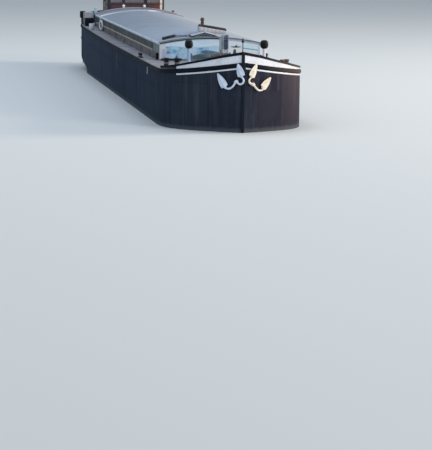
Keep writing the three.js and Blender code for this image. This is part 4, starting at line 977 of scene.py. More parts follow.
def build_hull_details():
    g = Geo()
    sec = lambda s: [(-0.012, -0.005), (-0.012, 0.016), (-0.018, 0.024), (-0.034, 0.026), (-0.046, 0.022), (-0.05, 0.014), (-0.05, -0.005)]
    for side in (0, 1):
        g.add(loft(plan_sweep(u_of_s(3.1), u_of_s(34.15), sec, 120)[side]))
    piece("deck_edge_bead", g, [paint("edge_grey", "#8f9095", 0.65, vary=0.1, dirt="#5c5a57", dirt_amount=0.5, spec=0.15)])

    # doubler plates riveted over the shell at the bow, and vertical butt straps along the sides
    d = Geo()

    def patch(side, s0, s1, z0, z1, out=0.006, rivets=True, mi=0, n=10):
        us = np.linspace(u_of_s(s0), u_of_s(s1), n)
        P = plan_points(us)
        zs = np.linspace(z0, z1, 3)
        O = [[(side * (p[0] + p[2] * out), Y(p[1] + p[3] * out), z) for z in zs] for p in P]
        I = [[(side * (p[0] - p[2] * 0.01), Y(p[1] - p[3] * 0.01), z) for z in zs] for p in P]
        d.add(shell(O, I), mi)
        if rivets:
            for p in P[1:-1]:
                for z in (z0 + 0.035, z1 - 0.035):
                    nrm = (side * p[2], p[3], 0)
                    bolt(d, (side * (p[0] + p[2] * out), Y(p[1] + p[3] * out), z), nrm, 0.011, 0.005, mi)

    patch(1, 0.36, 1.03, 1.06, 2.07, mi=1)
    patch(-1, 1.35, 2.30, 1.05, 1.75)
    for side in (1, -1):
        for s in np.arange(5.6, 33.5, 4.6):
            patch(side, s, s + 0.16, 1.02, 2.44, 0.007, rivets=False, n=3)
            for z in np.arange(1.10, 2.42, 0.11):
                for ds in (0.04, 0.12):
                    p = plan_points([u_of_s(s + ds)])[0]
                    bolt(d, (side * (p[0] + p[2] * 0.007), Y(p[1] + p[3] * 0.007), z), (side * p[2], p[3], 0), 0.010, 0.005)
    piece("shell_doublers", d, [HULL, paint("doubler_dark", "#2b2d39", 0.6, vary=0.15, dirt="#383a42", dirt_amount=0.4, rust=0.12, spec=0.03)])

    # hawse pipes: dark oval mouths with a rolled rim
    h = Geo()
    for side, k in ((-1, ANCHORS[0]), (1, ANCHORS[1])):
        fr = anchor_frame(side)
        a, z = k["knob"]
        c = fr(a, z + 0.03, -0.115)
        nrm = fr(a, z, 0.0) - fr(a, z, -0.115)
        M = along(c, nrm)
        rings = []
        for i in range(32):
            t = 2 * math.pi * i / 32
            rings.append([tuple(M @ Vector(((0.088 + 0.021 * math.cos(b)) * math.cos(t), (0.088 + 0.021 * math.cos(b)) * math.sin(t), 0.004 + 0.018 * math.sin(b))))
                          for b in (2 * math.pi * j / 8 for j in range(8))])
        h.add(loft(rings, path_closed=True))
        h.add(lathe([(0, -0.03), (0.085, -0.03), (0.085, 0.004), (0, 0.004)], 32), 0, M)
    piece("hawse_bolsters", h, [BLACK])


# ------------------------------------------------------------------ anchors
ANCHORS = [
    dict(name="anchor_starboard", side=-1, knob=(0.148, 2.43),
         inner=dict(tip=(0.098, 3.044), base=(-0.045, 2.60), arm=[(-0.118, 2.50), (-0.080, 2.385), (0.035, 2.355)]),
         outer=dict(tip=(0.827, 2.690), base=(0.630, 2.285), root=(0.545, 2.225), arm=[(0.525, 2.205), (0.385, 2.195), (0.255, 2.285)])),
    dict(name="anchor_port", side=1, knob=(0.275, 2.34),
         inner=dict(tip=(0.450, 3.035), base=(0.205, 2.580), arm=[(0.118, 2.50), (0.125, 2.41), (0.190, 2.36)]),
         outer=dict(tip=(1.062, 2.550), base=(0.800, 2.225), root=(0.690, 2.195), arm=[(0.670, 2.135), (0.515, 2.135), (0.385, 2.235)])),
]


def anchor_frame(side):
    """Maps (distance outboard along the bow plating, height, distance off the stowed plane) to the boat."""
    L = math.hypot(0.615, 0.35)
    t = Vector((0.615 / L, 0.35 / L))
    ex, ez = Vector((side * t.x, t.y, 0)), Vector((side * t.y, -t.x, 0))
    o = Vector((side * 0.05, Y(0.05), 0)) + ez * 0.115
    return lambda a, z, w=0.0: o + ex * a + Vector((0, 0, z)) + ez * w


def catmull(P, per=8):
    P = [np.array(p, float) for p in P]
    P = [2 * P[0] - P[1]] + P + [2 * P[-1] - P[-2]]
    out = []
    for k in range(1, len(P) - 2):
        for t in np.linspace(0, 1, per, endpoint=False):
            a, b, c, d = P[k - 1], P[k], P[k + 1], P[k + 2]
            out.append(0.5 * (2 * b + (c - a) * t + (2 * a - 5 * b + 4 * c - d) * t * t + (3 * b - a - 3 * c + d) * t ** 3))
    out.append(P[-2])
    return out


def build_anchor(A):
    fr = anchor_frame(A["side"])
    g = Geo()
    inner, outer = A["inner"], A["outer"]
    line = catmull([inner["base"], *inner["arm"], A["knob"], *reversed(outer["arm"]), outer["base"]], 7)
    n = len(line)
    pts = [fr(p[0], p[1]) for p in line]
    rad = [0.0355 - 0.007 * abs(2 * i / (n - 1) - 1) ** 2 for i in range(n)]
    g.add(pipe(pts, rad, 14))
    width = pchip([-0.05, 0.02, 0.06, 0.10, 0.30, 0.50, 0.75, 0.92, 1.0], [0.036, 0.050, 0.112, 0.128, 0.128, 0.112, 0.074, 0.036, 0.010])
    for f in (inner, outer):
        b, t = np.array(f.get("root", f["base"])), np.array(f["tip"])
        L = float(np.linalg.norm(t - b))
        d = (t - b) / L
        q = np.array([-d[1], d[0]])
        O, I = [], []
        for u in sorted(list(np.linspace(-0.05, 1.0, 22)) + [0.02, 0.04, 0.06, 0.08, 0.97, 0.985]):
            w = float(width(u))
            rowO, rowI = [], []
            ridge = 0.040 * (1 - max(0, u) ** 1.6) + 0.006
            for v in np.linspace(-1, 1, 13):
                p = b + d * u * L + q * v * w
                lift = -0.006 + ridge * (1 - abs(v)) ** 1.15 + 0.010 * (abs(v) > 0.93)
                rowO.append(tuple(fr(p[0], p[1], lift)))
                rowI.append(tuple(fr(p[0], p[1], -0.022 + 0.004 * abs(v))))
            O.append(rowO)
            I.append(rowI)
        g.add(shell(O, I))
        # rivets that hold the palm to its arm, and the tapering rib behind it
        for u in (0.10, 0.26, 0.42):
            for v in (-0.32, 0.32):
                p = b + d * u * L + q * v * float(width(u))
                bolt(g, fr(p[0], p[1], 0.014), fr(0, 0, 1) - fr(0, 0, 0), 0.010, 0.008)
        g.add(pipe([fr(*(b + d * u * L), 0.004) for u in np.linspace(-0.03, 0.88, 10)], [0.032 - 0.026 * max(0.0, u) ** 0.8 for u in np.linspace(-0.03, 0.88, 10)], 10))
    # crown, its pin and the shank running into the hawse
    k = A["knob"]
    rings = []
    c0, z0 = k
    M = along(fr(c0, z0, 0.0), fr(0, 0, 1) - fr(0, 0, 0))
    g.add(lathe([(0, -0.062), (0.035, -0.058), (0.056, -0.035), (0.064, 0.0), (0.056, 0.035), (0.038, 0.054), (0.030, 0.058), (0, 0.060)], 24), 0, M)
    g.add(rod(fr(c0, z0, 0.01), fr(c0, z0 + 0.03, -0.118), 0.042, 0.042, 18, 0.004))
    side_pin = (fr(1, 0, 0) - fr(0, 0, 0)).normalized()
    g.add(rod(fr(c0, z0, 0.028) - side_pin * 0.075, fr(c0, z0, 0.028) + side_pin * 0.075, 0.015, 0.015, 12, 0.004))
    piece(A["name"] + "_forged", g, [ANCHOR], replaces=[A["name"]], smooth=34)


# ------------------------------------------------------------------ foredeck gear


def build_foredeck():
    for side, nm in ((-1, "starboard"), (1, "port")):
        x, s = side * 1.34, 3.9
        g = Geo()
        zb = deck_z(s)
        turned(g, x, s, 0, [(0, zb - 0.01), (0.135, zb - 0.01), (0.135, zb + 0.008), (0.112, zb + 0.012), (0.098, zb + 0.03), (0.070, zb + 0.055), (0.056, zb + 0.08), (0.055, 3.322), (0.062, 3.326), (0.062, 3.336), (0, 3.336)], 28)
        for a in range(6):
            t = a * math.pi / 3
            bolt(g, P3(x + 0.122 * math.cos(t), s, zb + 0.008) + Vector((0, 0.122 * math.sin(t), 0)), (0, 0, 1), 0.009, 0.008)
        turned(g, x, s, 0, [(0.055, 2.98), (0.061, 2.982), (0.061, 3.0), (0.055, 3.002)], 28)
        # cowl: rounded can with a rolled lower rim and louvre grooves, black
        rad = lambda z: 0.148 * max(0.0, 1 - (abs(z - 3.487) / 0.165) ** 2.5) ** 0.5
        rows = [(0.058, 3.336), (0.075, 3.336), (rad(3.350), 3.350), (rad(3.370), 3.370), (rad(3.392), 3.392)]
        for z in (3.43, 3.468, 3.506, 3.544):
            rows += [(rad(z - 0.012), z - 0.012), (rad(z) - 0.007, z - 0.008), (rad(z) - 0.007, z + 0.004), (rad(z + 0.008), z + 0.008)]
        rows += [(rad(3.578), 3.578), (rad(3.602), 3.602), (rad(3.622), 3.622), (0.062, 3.636), (0.022, 3.639), (0.018, 3.640), (0, 3.640)]
        turned(g, x, s, 0, rows, 32, 1)
        piece(f"vent_{nm}_turned", g, [LIGHT_BLUE if side < 0 else WHITE, BLACK], replaces=[f"vent_{nm}"])
    # mast tabernacle: two cheeks, back plate, pins and foot brackets
    g = Geo()
    zb = deck_z(4.3)
    for side in (-1, 1):
        # painted shade: the port cheek is in a darker slate than the starboard one
        bx(g, side * 0.0705, side * 0.11, 4.18, 4.42, zb - 0.01, 3.80, 0.008, 3 if side > 0 else 0)
        bx(g, side * 0.066, side * 0.114, 4.172, 4.428, zb - 0.01, zb + 0.03, 0.006)
        for z in (3.62, 3.05):
            g.add(rod(P3(side * 0.105, 4.29, z), P3(side * 0.126, 4.29, z), 0.030, 0.026, 16, 0.004), 1)
        rows = [(4.40, zb), (4.62, zb), (4.62, zb + 0.025), (4.425, 3.15)]
        M = Matrix(((0, 0, 1, side * 0.09), (1, 0, 0, 0), (0, 1, 0, 0), (0, 0, 0, 1)))
        g.add(prism([(Y(a), b) for a, b in rows], -0.007, 0.007, M, 0.002))
    bx(g, -0.0705, 0.0705, 4.362, 4.418, zb - 0.01, 3.79, 0.004)
    bx(g, -0.0705, 0.0705, 4.19, 4.362, zb - 0.01, 2.90, 0.004)
    # halyard casing bolted to the starboard cheek, with a hooked top and a small reel at its foot
    bx(g, -0.195, -0.1105, 4.22, 4.36, 2.86, 3.66, 0.012, 2)
    bx(g, -0.200, -0.1105, 4.215, 4.365, 3.63, 3.68, 0.010, 0)
    for z in (3.0, 3.28, 3.56):
        bx(g, -0.202, -0.12, 4.212, 4.368, z - 0.014, z + 0.014, 0.004, 2)
    g.add(lathe([(0, 0), (0.075, 0), (0.078, 0.008), (0.075, 0.014), (0.040, 0.020), (0.040, 0.058), (0.075, 0.064), (0.078, 0.070), (0.075, 0.078), (0, 0.078)], 28), 1, along(P3(-0.112, 4.29, 2.80), (-1, 0, 0)))
    for z in (3.62, 3.05):
        g.add(rod(P3(-0.072, 4.29, z), P3(0.072, 4.29, z), 0.018, 0.018, 14), 1)
    bx(g, -0.19, 0.19, 4.12, 4.66, zb - 0.008, zb + 0.012, 0.004)
    for x in (-0.16, 0.16):
        for s in (4.17, 4.40, 4.61):
            bolt(g, P3(x, s, zb + 0.012), (0, 0, 1), 0.012, 0.01)
    for side in (-1, 1):
        bx(g, side * 0.068, side * 0.1125, 4.176, 4.424, zb + 0.03, 3.30, 0.005, 4)
    bx(g, -0.0705, 0.0705, 4.184, 4.19, zb, 3.28, 0.002, 4)
    piece("tabernacle_fabricated", g, [paint("tabernacle_slate", "#a2aebf", 0.55, vary=0.12, dirt="#30343c", dirt_amount=0.45, spec=0.2), STEEL,
          paint("casing_sage", "#aebdc0", 0.55, vary=0.1, dirt="#596063", dirt_amount=0.4, spec=0.2),
          paint("cheek_slate_shaded", "#7f899c", 0.5, vary=0.15, dirt="#23262c", dirt_amount=0.4, spec=0.15),
          paint("foot_pale", "#c8d3e2", 0.5, vary=0.08, dirt="#5a6069", dirt_amount=0.4, spec=0.25)], replaces=["mast_tabernacle"])
    # jackstaff
    g = Geo()
    zb = deck_z(0.17)
    turned(g, 0, 0.17, 0, [(0, zb - 0.02), (0.05, zb - 0.02), (0.05, zb + 0.012), (0.032, zb + 0.02), (0.030, 3.40), (0.028, 3.42), (0.016, 3.45), (0.0145, 3.70), (0.015, 3.726), (0.022, 3.732),
                            (0.040, 3.745), (0.050, 3.775), (0.040, 3.803), (0.022, 3.815), (0.016, 3.82), (0.014, 3.893), (0.008, 3.902), (0, 3.902)], 20)
    for z in (3.2, 3.36):
        ring_torus(g, P3(0, 0.17, z), (0, 0, 1), 0.030, 0.006, 20, 6)
    piece("jackstaff_turned", g, [BLACK], replaces=["jackstaff"])
    # windlass frame
    g = Geo()
    zb = deck_z(3.0)
    bx(g, -0.52, 0.52, 2.72, 2.80, zb - 0.02, 2.775, 0.008)
    bx(g, -0.52, 0.52, 3.32, 3.40, zb - 0.02, 2.775, 0.008)
    bx(g, -0.50, 0.50, 2.80, 3.32, zb - 0.02, 2.745, 0.004)
    for x0, x1 in ((-0.40, -0.34), (0.34, 0.40)):
        rows = [(2.76, 2.745), (3.36, 2.745), (3.34, 2.80), (3.19, 3.18), (3.14, 3.205), (2.98, 3.205), (2.93, 3.18), (2.78, 2.80)]
        M = Matrix(((0, 0, 1, (x0 + x1) / 2), (1, 0, 0, 0), (0, 1, 0, 0), (0, 0, 0, 1)))
        red = 2 if x0 < 0 else 0
        g.add(prism([(Y(a), b) for a, b in rows], -0.018, 0.018, M, 0.004), red)
        rim = [(2.76, 2.745), (3.36, 2.745), (3.34, 2.80), (3.19, 3.18), (3.14, 3.205), (2.98, 3.205), (2.93, 3.18), (2.78, 2.80)]
        g.add(pipe([((x0 + x1) / 2, Y(a), b) for a, b in rim[1:]], 0.020, 8), red)
        g.add(lathe([(0.041, -0.03), (0.082, -0.03), (0.082, 0.03), (0.041, 0.03), (0.041, -0.03)], 24), 0, along(P3((x0 + x1) / 2, 3.05, 3.11), (1, 0, 0)))
        for s in (2.965, 3.135):
            g.add(rod(P3((x0 + x1) / 2, s, 3.195), P3((x0 + x1) / 2, s, 3.218), 0.014, 0.012, 6), 1)
    for x in (-0.47, 0.47):
        for s in (2.76, 3.36):
            bolt(g, P3(x, s, 2.775), (0, 0, 1), 0.016, 0.014, 1)
    # pawl on its post, and the brake band's lever
    g.add(rod(P3(0.235, 3.36, 2.77), P3(0.235, 3.36, 3.02), 0.018, 0.016, 12, 0.003))
    g.add(rod(P3(0.215, 3.36, 3.02), P3(0.255, 3.36, 3.02), 0.026, 0.026, 16, 0.003), 1)
    g.add(rod(P3(-0.30, 3.34, 2.76), P3(-0.30, 3.30, 3.30), 0.013, 0.011, 10, 0.003), 1)
    turned(g, -0.30, 3.30, 3.31, [(0, -0.02), (0.018, -0.016), (0.022, 0), (0.018, 0.016), (0, 0.02)], 12, 1)
    piece("windlass_frame_fabricated", g, [GREEN_GREY, STEEL, RED_IRON], replaces=["windlass_frame"])
    # windlass barrel, turning about x
    g = Geo()
    ax = lambda x: along(P3(x, 3.05, 3.11), (1, 0, 0))
    for sgn in (-1, 1):
        base = 0.005 if sgn > 0 else 0.0
        rows = [(0, 0.43), (0.036, 0.43), (0.036, 0.44), (0.112, 0.444), (0.12, 0.452), (0.118, 0.464), (0.094, 0.50), (0.086, 0.53), (0.085, 0.575), (0.092, 0.61), (0.113, 0.640), (0.12, 0.652), (0.118, 0.664), (0.06, 0.667), (0.05, 0.660), (0, 0.660)]
        M = along(P3(base, 3.05, 3.11), (sgn, 0, 0))
        g.add(lathe(rows, 32), 0, M)
        for a in range(6):  # whelps on the warping drums
            t = a * math.pi / 3
            w = [(0.086, 0.475), (0.098, 0.485), (0.094, 0.56), (0.100, 0.625), (0.086, 0.63)]
            R = M @ Matrix.Rotation(t, 4, "Z") @ Matrix(((1, 0, 0, 0), (0, 0, 1, 0), (0, 1, 0, 0), (0, 0, 0, 1)))
            g.add(prism(w, -0.008, 0.008, R, 0.002))
    rows = [(0, -0.44), (0.036, -0.44), (0.036, -0.300), (0.136, -0.294), (0.14, -0.286), (0.14, -0.266), (0.132, -0.256), (0.094, -0.225), (0.090, -0.20), (0.090, -0.08), (0.096, -0.055),
            (0.132, -0.022), (0.14, -0.012), (0.14, 0.004), (0.134, 0.010), (0.072, 0.026), (0.070, 0.04), (0.070, 0.118), (0.070, 0.205), (0.036, 0.26), (0.036, 0.445), (0, 0.445)]
    g.add(lathe(rows, 36), 0, ax(0))
    # hauled-in chain turns on the drum
    for k, x in enumerate(np.linspace(-0.205, -0.075, 5)):
        N = 22
        for a in range(N):
            t = 2 * math.pi * a / N
            c = P3(x, 3.05, 3.11) + Vector((0, math.cos(t), math.sin(t))) * 0.103
            tang = Vector((0, -math.sin(t), math.cos(t)))
            up = Vector((0, math.cos(t), math.sin(t))) if a % 2 else Vector((1, 0, 0))
            sd = tang.cross(up)
            loop = []
            for j in range(10):
                b = 2 * math.pi * j / 10
                loop.append(c + tang * (0.022 * math.cos(b)) + sd * (0.0125 * math.sin(b)))
            g.add(pipe(loop, 0.0048, 5, closed=True), 1)
    # spur wheel with teeth and lightening holes drawn as dished web
    teeth = 40
    out = []
    for k in range(teeth):
        for f, r in ((0.0, 0.226), (0.22, 0.228), (0.36, 0.249), (0.64, 0.249), (0.78, 0.228)):
            t = 2 * math.pi * (k + f) / teeth
            out.append((r * math.cos(t), r * math.sin(t)))
    g.add(prism(out, 0.132, 0.188, ax(0), 0.003))
    for x, d in ((0.132, -1), (0.188, 1)):
        g.add(lathe([(0, 0), (0.21, 0), (0.21, 0.003), (0.195, 0.006), (0.10, 0.006), (0.085, 0.014), (0, 0.014)], 40), 0, along(P3(x, 3.05, 3.11), (d, 0, 0)))
        for a in range(5):
            t = 2 * math.pi * a / 5 + 0.3
            c = P3(x, 3.05, 3.11) + Vector((0, math.cos(t), math.sin(t))) * 0.148
            g.add(lathe([(0, 0.0065), (0.034, 0.0065), (0.036, 0.010), (0.030, 0.010), (0.030, 0.0075), (0, 0.0075)], 20), 0, along(c, (d, 0, 0)))
    piece("windlass_barrel_turned", g, [GREEN_GREY, STEEL], body="windlass_barrel", replaces=["windlass_barrel"])


# ------------------------------------------------------------------ hatches, bollards, small deck fittings


def build_hatch(name, x, s0, s1, half, rim, lid_body, slot_mat):
    zb = deck_z((s0 + s1) / 2)
    g = Geo()
    for a, b in ((x - half, x - half + 0.04), (x + half - 0.04, x + half)):
        bx(g, a, b, s0, s1, zb - 0.03, rim - 0.002, 0.005)
    for a, b in ((s0, s0 + 0.04), (s1 - 0.04, s1)):
        bx(g, x - half + 0.04, x + half - 0.04, a, b, zb - 0.03, rim - 0.003, 0.005)
    # flange on the deck with bolts, rubber lip on the coaming, ladder top inside, and a near-black plate in the well
    # that is painted shade of the opening
    for a, b, c, d in ((x - half - 0.045, x - half, s0 - 0.02, s1 + 0.045), (x + half, x + half + 0.045, s0 - 0.02, s1 + 0.045)):
        bx(g, a, b, c, d, zb - 0.02, zb + 0.012, 0.003)
        for k in range(4):
            bolt(g, P3((a + b) / 2, c + 0.06 + (d - c - 0.12) * k / 3, zb + 0.012), (0, 0, 1), 0.010, 0.008, 1)
    bx(g, x - half, x + half, s1, s1 + 0.045, zb - 0.02, zb + 0.011, 0.003)
    bx(g, x - half + 0.04, x + half - 0.04, s0 + 0.04, s1 - 0.04, zb - 0.006, zb + 0.006, 0.001, 2)
    for side in (-1, 1):
        bx(g, x + side * 0.16, x + side * 0.18, s1 - 0.075, s1 - 0.055, zb, rim - 0.03, 0.003, 1)
    for z in (zb + 0.07, zb + 0.16):
        g.add(rod(P3(x - 0.17, s1 - 0.065, z), P3(x + 0.17, s1 - 0.065, z), 0.010, 0.010, 10), 1)
    for side in (-1, 1):  # hinge lugs on the rim's forward face
        bx(g, x + side * (half - 0.16), x + side * (half - 0.10), s0 - 0.028, s0, rim - 0.06, rim - 0.004, 0.004)
    piece(name + "_rim_welded", g, [slot_mat, STEEL, paint(name + "_well_shade", "#0c0d0e", 0.9, vary=0.3, dirt_amount=0.2)], replaces=[name + "_rim"])
    g = Geo()
    z0, z1 = rim + 0.0003, rim + 0.045
    bx(g, x - half - 0.03, x + half + 0.03, s0 - 0.03, s1 + 0.03, z0, z1 - 0.008, 0.006)
    bx(g, x - half + 0.03, x + half - 0.03, s0 + 0.03, s1 - 0.03, z1 - 0.010, z1 - 0.001, 0.004)
    n = 7
    for k in range(n):  # foot grips
        xx = x - half + 0.10 + (2 * half - 0.20) * k / (n - 1)
        bx(g, xx - 0.012, xx + 0.012, s0 + 0.09, s1 - 0.09, z1 - 0.002, z1 + 0.0, 0.001)
    for side in (-1, 1):
        g.add(rod(P3(x + side * (half - 0.17), s0 - 0.029, z0 + 0.012), P3(x + side * (half - 0.09), s0 - 0.029, z0 + 0.012), 0.011, 0.011, 12, 0.002), 1)
        bx(g, x + side * (half - 0.155), x + side * (half - 0.105), s0 - 0.028, s0 + 0.10, z1 - 0.008, z1 - 0.002, 0.002, 1)
    # recessed lift ring
    ring_torus(g, P3(x, s1 - 0.07, z1 - 0.0055), (0, 0, 1), 0.035, 0.0045, 24, 8, 1)
    piece(name + "_lid_plate", g, [slot_mat, STEEL], body=lid_body, replaces=[name + "_lid"])


def build_bollards():
    rows = [
        ("bollard_bow_port", 1.77, 2.15, 0.55, 0.15, 0.075, 0.34), ("bollard_bow_starboard", -1.87, 4.5, 0.18, 0.19, 0.085, 0.30),
        ("bollard_side_starboard", -2.385, 9.9, 1, 0.13, 0.055, 0.17), ("bollard_side_port", 2.385, 9.9, 1, 0.13, 0.055, 0.17),
        ("bollard_stern_starboard", -1.62, 36.1, 0.7, 0.17, 0.075, 0.30), ("bollard_stern_port", 1.62, 36.1, 0.7, 0.17, 0.075, 0.30)]
    for name, x, s, al, spread, r, h in rows:
        side = 1 if x > 0 else -1
        d = Vector((side * (1 - al), al)).normalized()
        k = -1 if "stern" in name else 1
        dx, ds = d.x * spread, d.y * spread * k
        z = deck_z(s)
        ang = math.atan2(ds, dx)
        g = Geo()
        L, W = spread * 2 + 0.24, r * 2 + 0.08
        M = Matrix.Translation((x, Y(s), z)) @ Matrix.Rotation(ang, 4, "Z")
        g.add(box((-L / 2, -W / 2, -0.03), (L / 2, W / 2, 0.022), 0.006), 0, M)
        for a in (-L / 2 + 0.03, L / 2 - 0.03, 0):
            for b in ((-W / 2 + 0.025, W / 2 - 0.025)):
                p = M @ Vector((a, b, 0.022))
                bolt(g, p, (0, 0, 1), 0.011, 0.010)
        for q in (-1, 1):
            t = h - 0.045
            rr = [(0, -0.02), (r * 1.25, -0.02), (r * 1.25, 0.022), (r * 1.1, 0.036), (r, 0.055), (r, t - 0.03), (r * 1.04, t - 0.01), (r * 1.17, t + 0.005), (r * 1.22, t + 0.018),
                  (r * 1.22, t + 0.034), (r * 1.14, t + 0.043), (r * 0.9, t + 0.045), (0, t + 0.045)]
            g.add(lathe(rr, 28), 0, Matrix.Translation((x + q * dx, Y(s + q * ds), z)))
            if "side" not in name:
                g.add(rod((x + q * dx - 1.5 * r * math.cos(ang), Y(s + q * ds) - 1.5 * r * math.sin(ang), z + h * 0.62),
                          (x + q * dx + 1.5 * r * math.cos(ang), Y(s + q * ds) + 1.5 * r * math.sin(ang), z + h * 0.62), 0.013, 0.013, 12, 0.004))
        # rubbed bare where the lines work
        for q in (-1, 1):
            g.add(lathe([(r * 1.001, h * 0.30), (r * 1.006, h * 0.34), (r * 1.006, h * 0.46), (r * 1.001, h * 0.50)] + [(r * 0.97, h * 0.50), (r * 0.97, h * 0.30), (r * 1.001, h * 0.30)], 28), 1,
                  Matrix.Translation((x + q * dx, Y(s + q * ds), z)))
        piece(name + "_cast", g, [TAUPE_IRON if name == "bollard_bow_port" else BLACK, STEEL], replaces=[name])


# ------------------------------------------------------------------ hold house


def roof_rings(s, lift, out, lip=0.10, n=44):
    """Outer and inner rows of the arched roof's section at s."""
    c = camber_at(s)
    h = ROOF_HALF + out
    zo = lambda x: EAVE_Z + lift + c * (1 - (x / ROOF_HALF) ** 2)
    zi = lambda x: EAVE_Z - 0.045 + c * (1 - (x / ROOF_HALF) ** 2)
    O, I = [], []
    O.append((h, EAVE_Z - lip))
    O.append((h, EAVE_Z + lift - 0.016))
    O.append((h - 0.004, EAVE_Z + lift - 0.005))
    I.append((ROOF_HALF - 0.05, EAVE_Z - lip))
    I.append((ROOF_HALF - 0.05, EAVE_Z - 0.06))
    I.append((ROOF_HALF - 0.052, EAVE_Z - 0.05))
    for k in range(n + 1):
        x = (h - 0.012) * (1 - 2 * k / n)
        xi = (ROOF_HALF - 0.055) * (1 - 2 * k / n)
        O.append((x, zo(x)))
        I.append((xi, zi(xi)))
    O += [(-a, b) for a, b in (O[2], O[1], O[0])]
    I += [(-a, b) for a, b in (I[2], I[1], I[0])]
    return [(x, Y(s), z) for x, z in O], [(x, Y(s), z) for x, z in I]


def roof_part(g, s0, s1, lift, out, mi=0, bevel=0.006, steps=1):
    ss = [s0, s0 + bevel] + [s0 + bevel + (s1 - s0 - 2 * bevel) * k / steps for k in range(1, steps)] + [s1 - bevel, s1]
    O, I = [], []
    for k, s in enumerate(ss):
        end = k in (0, len(ss) - 1)
        o, i = roof_rings(s, lift - (bevel if end else 0), out - (bevel * 0.6 if end else 0))
        O.append(o)
        I.append(i)
    g.add(shell(O, I), mi)


def arch_strip(g, s0, s1, up, down, half, mi=0, n=40, c=0.003):
    """Thin strap lying over the arch between two stations."""
    O, I = [], []
    for s, e in ((s0, c), (s0 + c, 0), (s1 - c, 0), (s1, c)):
        cam = camber_at(s)
        row = [half * (1 - 2 * k / n) for k in range(n + 1)]
        O.append([(x, Y(s), EAVE_Z + cam * (1 - (x / ROOF_HALF) ** 2) + up - e) for x in row])
        I.append([(x, Y(s), EAVE_Z + cam * (1 - (x / ROOF_HALF) ** 2) - down) for x in row])
    g.add(shell(O, I), mi)


def band_material():
    """White cross band with painted light and shade: grey-blue over most of the arch, whiter at its starboard end, a
    painted highlight near the crown and painted shade in taupe at its port end.
    """
    m = Mat("band_white_painted_light", 0.5, spec=0.25)
    x, y, z = m.xyz()
    w = m.math("MULTIPLY", m.math("ADD", m.math("ADD", x, 2.0), m.math("MULTIPLY", m.noise(2.0, 4), 0.10)), 0.25)
    col = m.mix(m.noise(3.0, 5, 0.6), lin("#b3bccf"), lin("#c6cbd8"))
    # painted light: whiter starboard end, a painted highlight near the crown, and painted shade at the port end
    col = m.mix(m.ramp(w, (0.13, 1.0), (0.22, 0.0)), col, lin("#e6ebf3"))
    col = m.mix(m.ramp(w, (0.575, 0.0), (0.60, 1.0), (0.655, 1.0), (0.69, 0.0)), col, lin("#fbfbff"))
    col = m.mix(m.ramp(w, (0.70, 0.0), (0.75, 1.0)), col, lin("#8d8890"))
    m.set("Base Color", col)
    m.set("Roughness", m.math("ADD", m.math("MULTIPLY", m.noise(8.0, 4), 0.2), 0.4, True))
    m.bump(m.noise(60, 3), 0.15, 0.001)
    return m.mat


def build_roofs():
    g = Geo()
    roof_part(g, FRONT - 0.06, BAND, 0, 0, 0, steps=12)
    for s in np.arange(10.45, 30.4, 2.51):
        arch_strip(g, s, s + 0.03, 0.002, 0.01, ROOF_HALF - 0.02, c=0.001)
    piece("hold_roof_plated", g, [ROOF], replaces=["hold_roof"], smooth=30)
    e = Geo()  # pale eave moulding along both sides and a thin one round the front edge
    for side in (-1, 1):
        rows = [(0.0, -0.066), (0.010, -0.062), (0.014, -0.050), (0.014, -0.018), (0.010, -0.004), (0.0, 0.0015), (-0.05, 0.0045), (-0.05, -0.02)]
        rings = [[(side * (ROOF_HALF + o), Y(s), EAVE_Z + h) for o, h in rows] for s in np.linspace(FRONT - 0.062, BACK - 0.02, 14)]
        e.add(loft(rings))
    cam = camber_at(FRONT - 0.06)
    O, I = [], []
    n = 48
    for dz, ds in ((-0.030, 0.0), (-0.026, 0.010), (-0.006, 0.012), (0.002, 0.004), (0.002, -0.03)):
        O.append([(ROOF_HALF * (1 - 2 * k / n), Y(FRONT - 0.06 - ds), EAVE_Z + cam * (1 - (1 - 2 * k / n) ** 2) + dz) for k in range(n + 1)])
        I.append([(ROOF_HALF * (1 - 2 * k / n), Y(FRONT - 0.03), EAVE_Z + cam * (1 - (1 - 2 * k / n) ** 2) + min(dz, -0.004) - 0.0005) for k in range(n + 1)])
    e.add(shell(O, I), 1)
    piece("eave_mouldings", e, [PALE, TEAL_GREY], smooth=35)
    b = Geo()
    roof_part(b, BAND + 0.0003, BAND + 0.14, 0.035, 0.012, 0, bevel=0.010)
    piece("roof_band_rounded", b, [band_material()], replaces=["roof_band"], smooth=35)
    c = Geo()
    roof_part(c, BAND + 0.1403, COPING - 0.0003, 0, 0, 0, steps=2)
    arch_strip(c, 31.82, 31.88, 0.005, 0.01, ROOF_HALF - 0.02)
    piece("cabin_roof_plated", c, [ROOF], replaces=["cabin_roof"], smooth=30)
    k = Geo()
    roof_part(k, COPING, BACK, 0.07, 0.012, 0, bevel=0.014)
    arch_strip(k, COPING - 0.03, COPING + 0.004, 0.018, 0.01, ROOF_HALF - 0.01, 1)
    piece("roof_coping_rounded", k, [COPING_BROWN, SLATE], replaces=["roof_coping"], smooth=35)


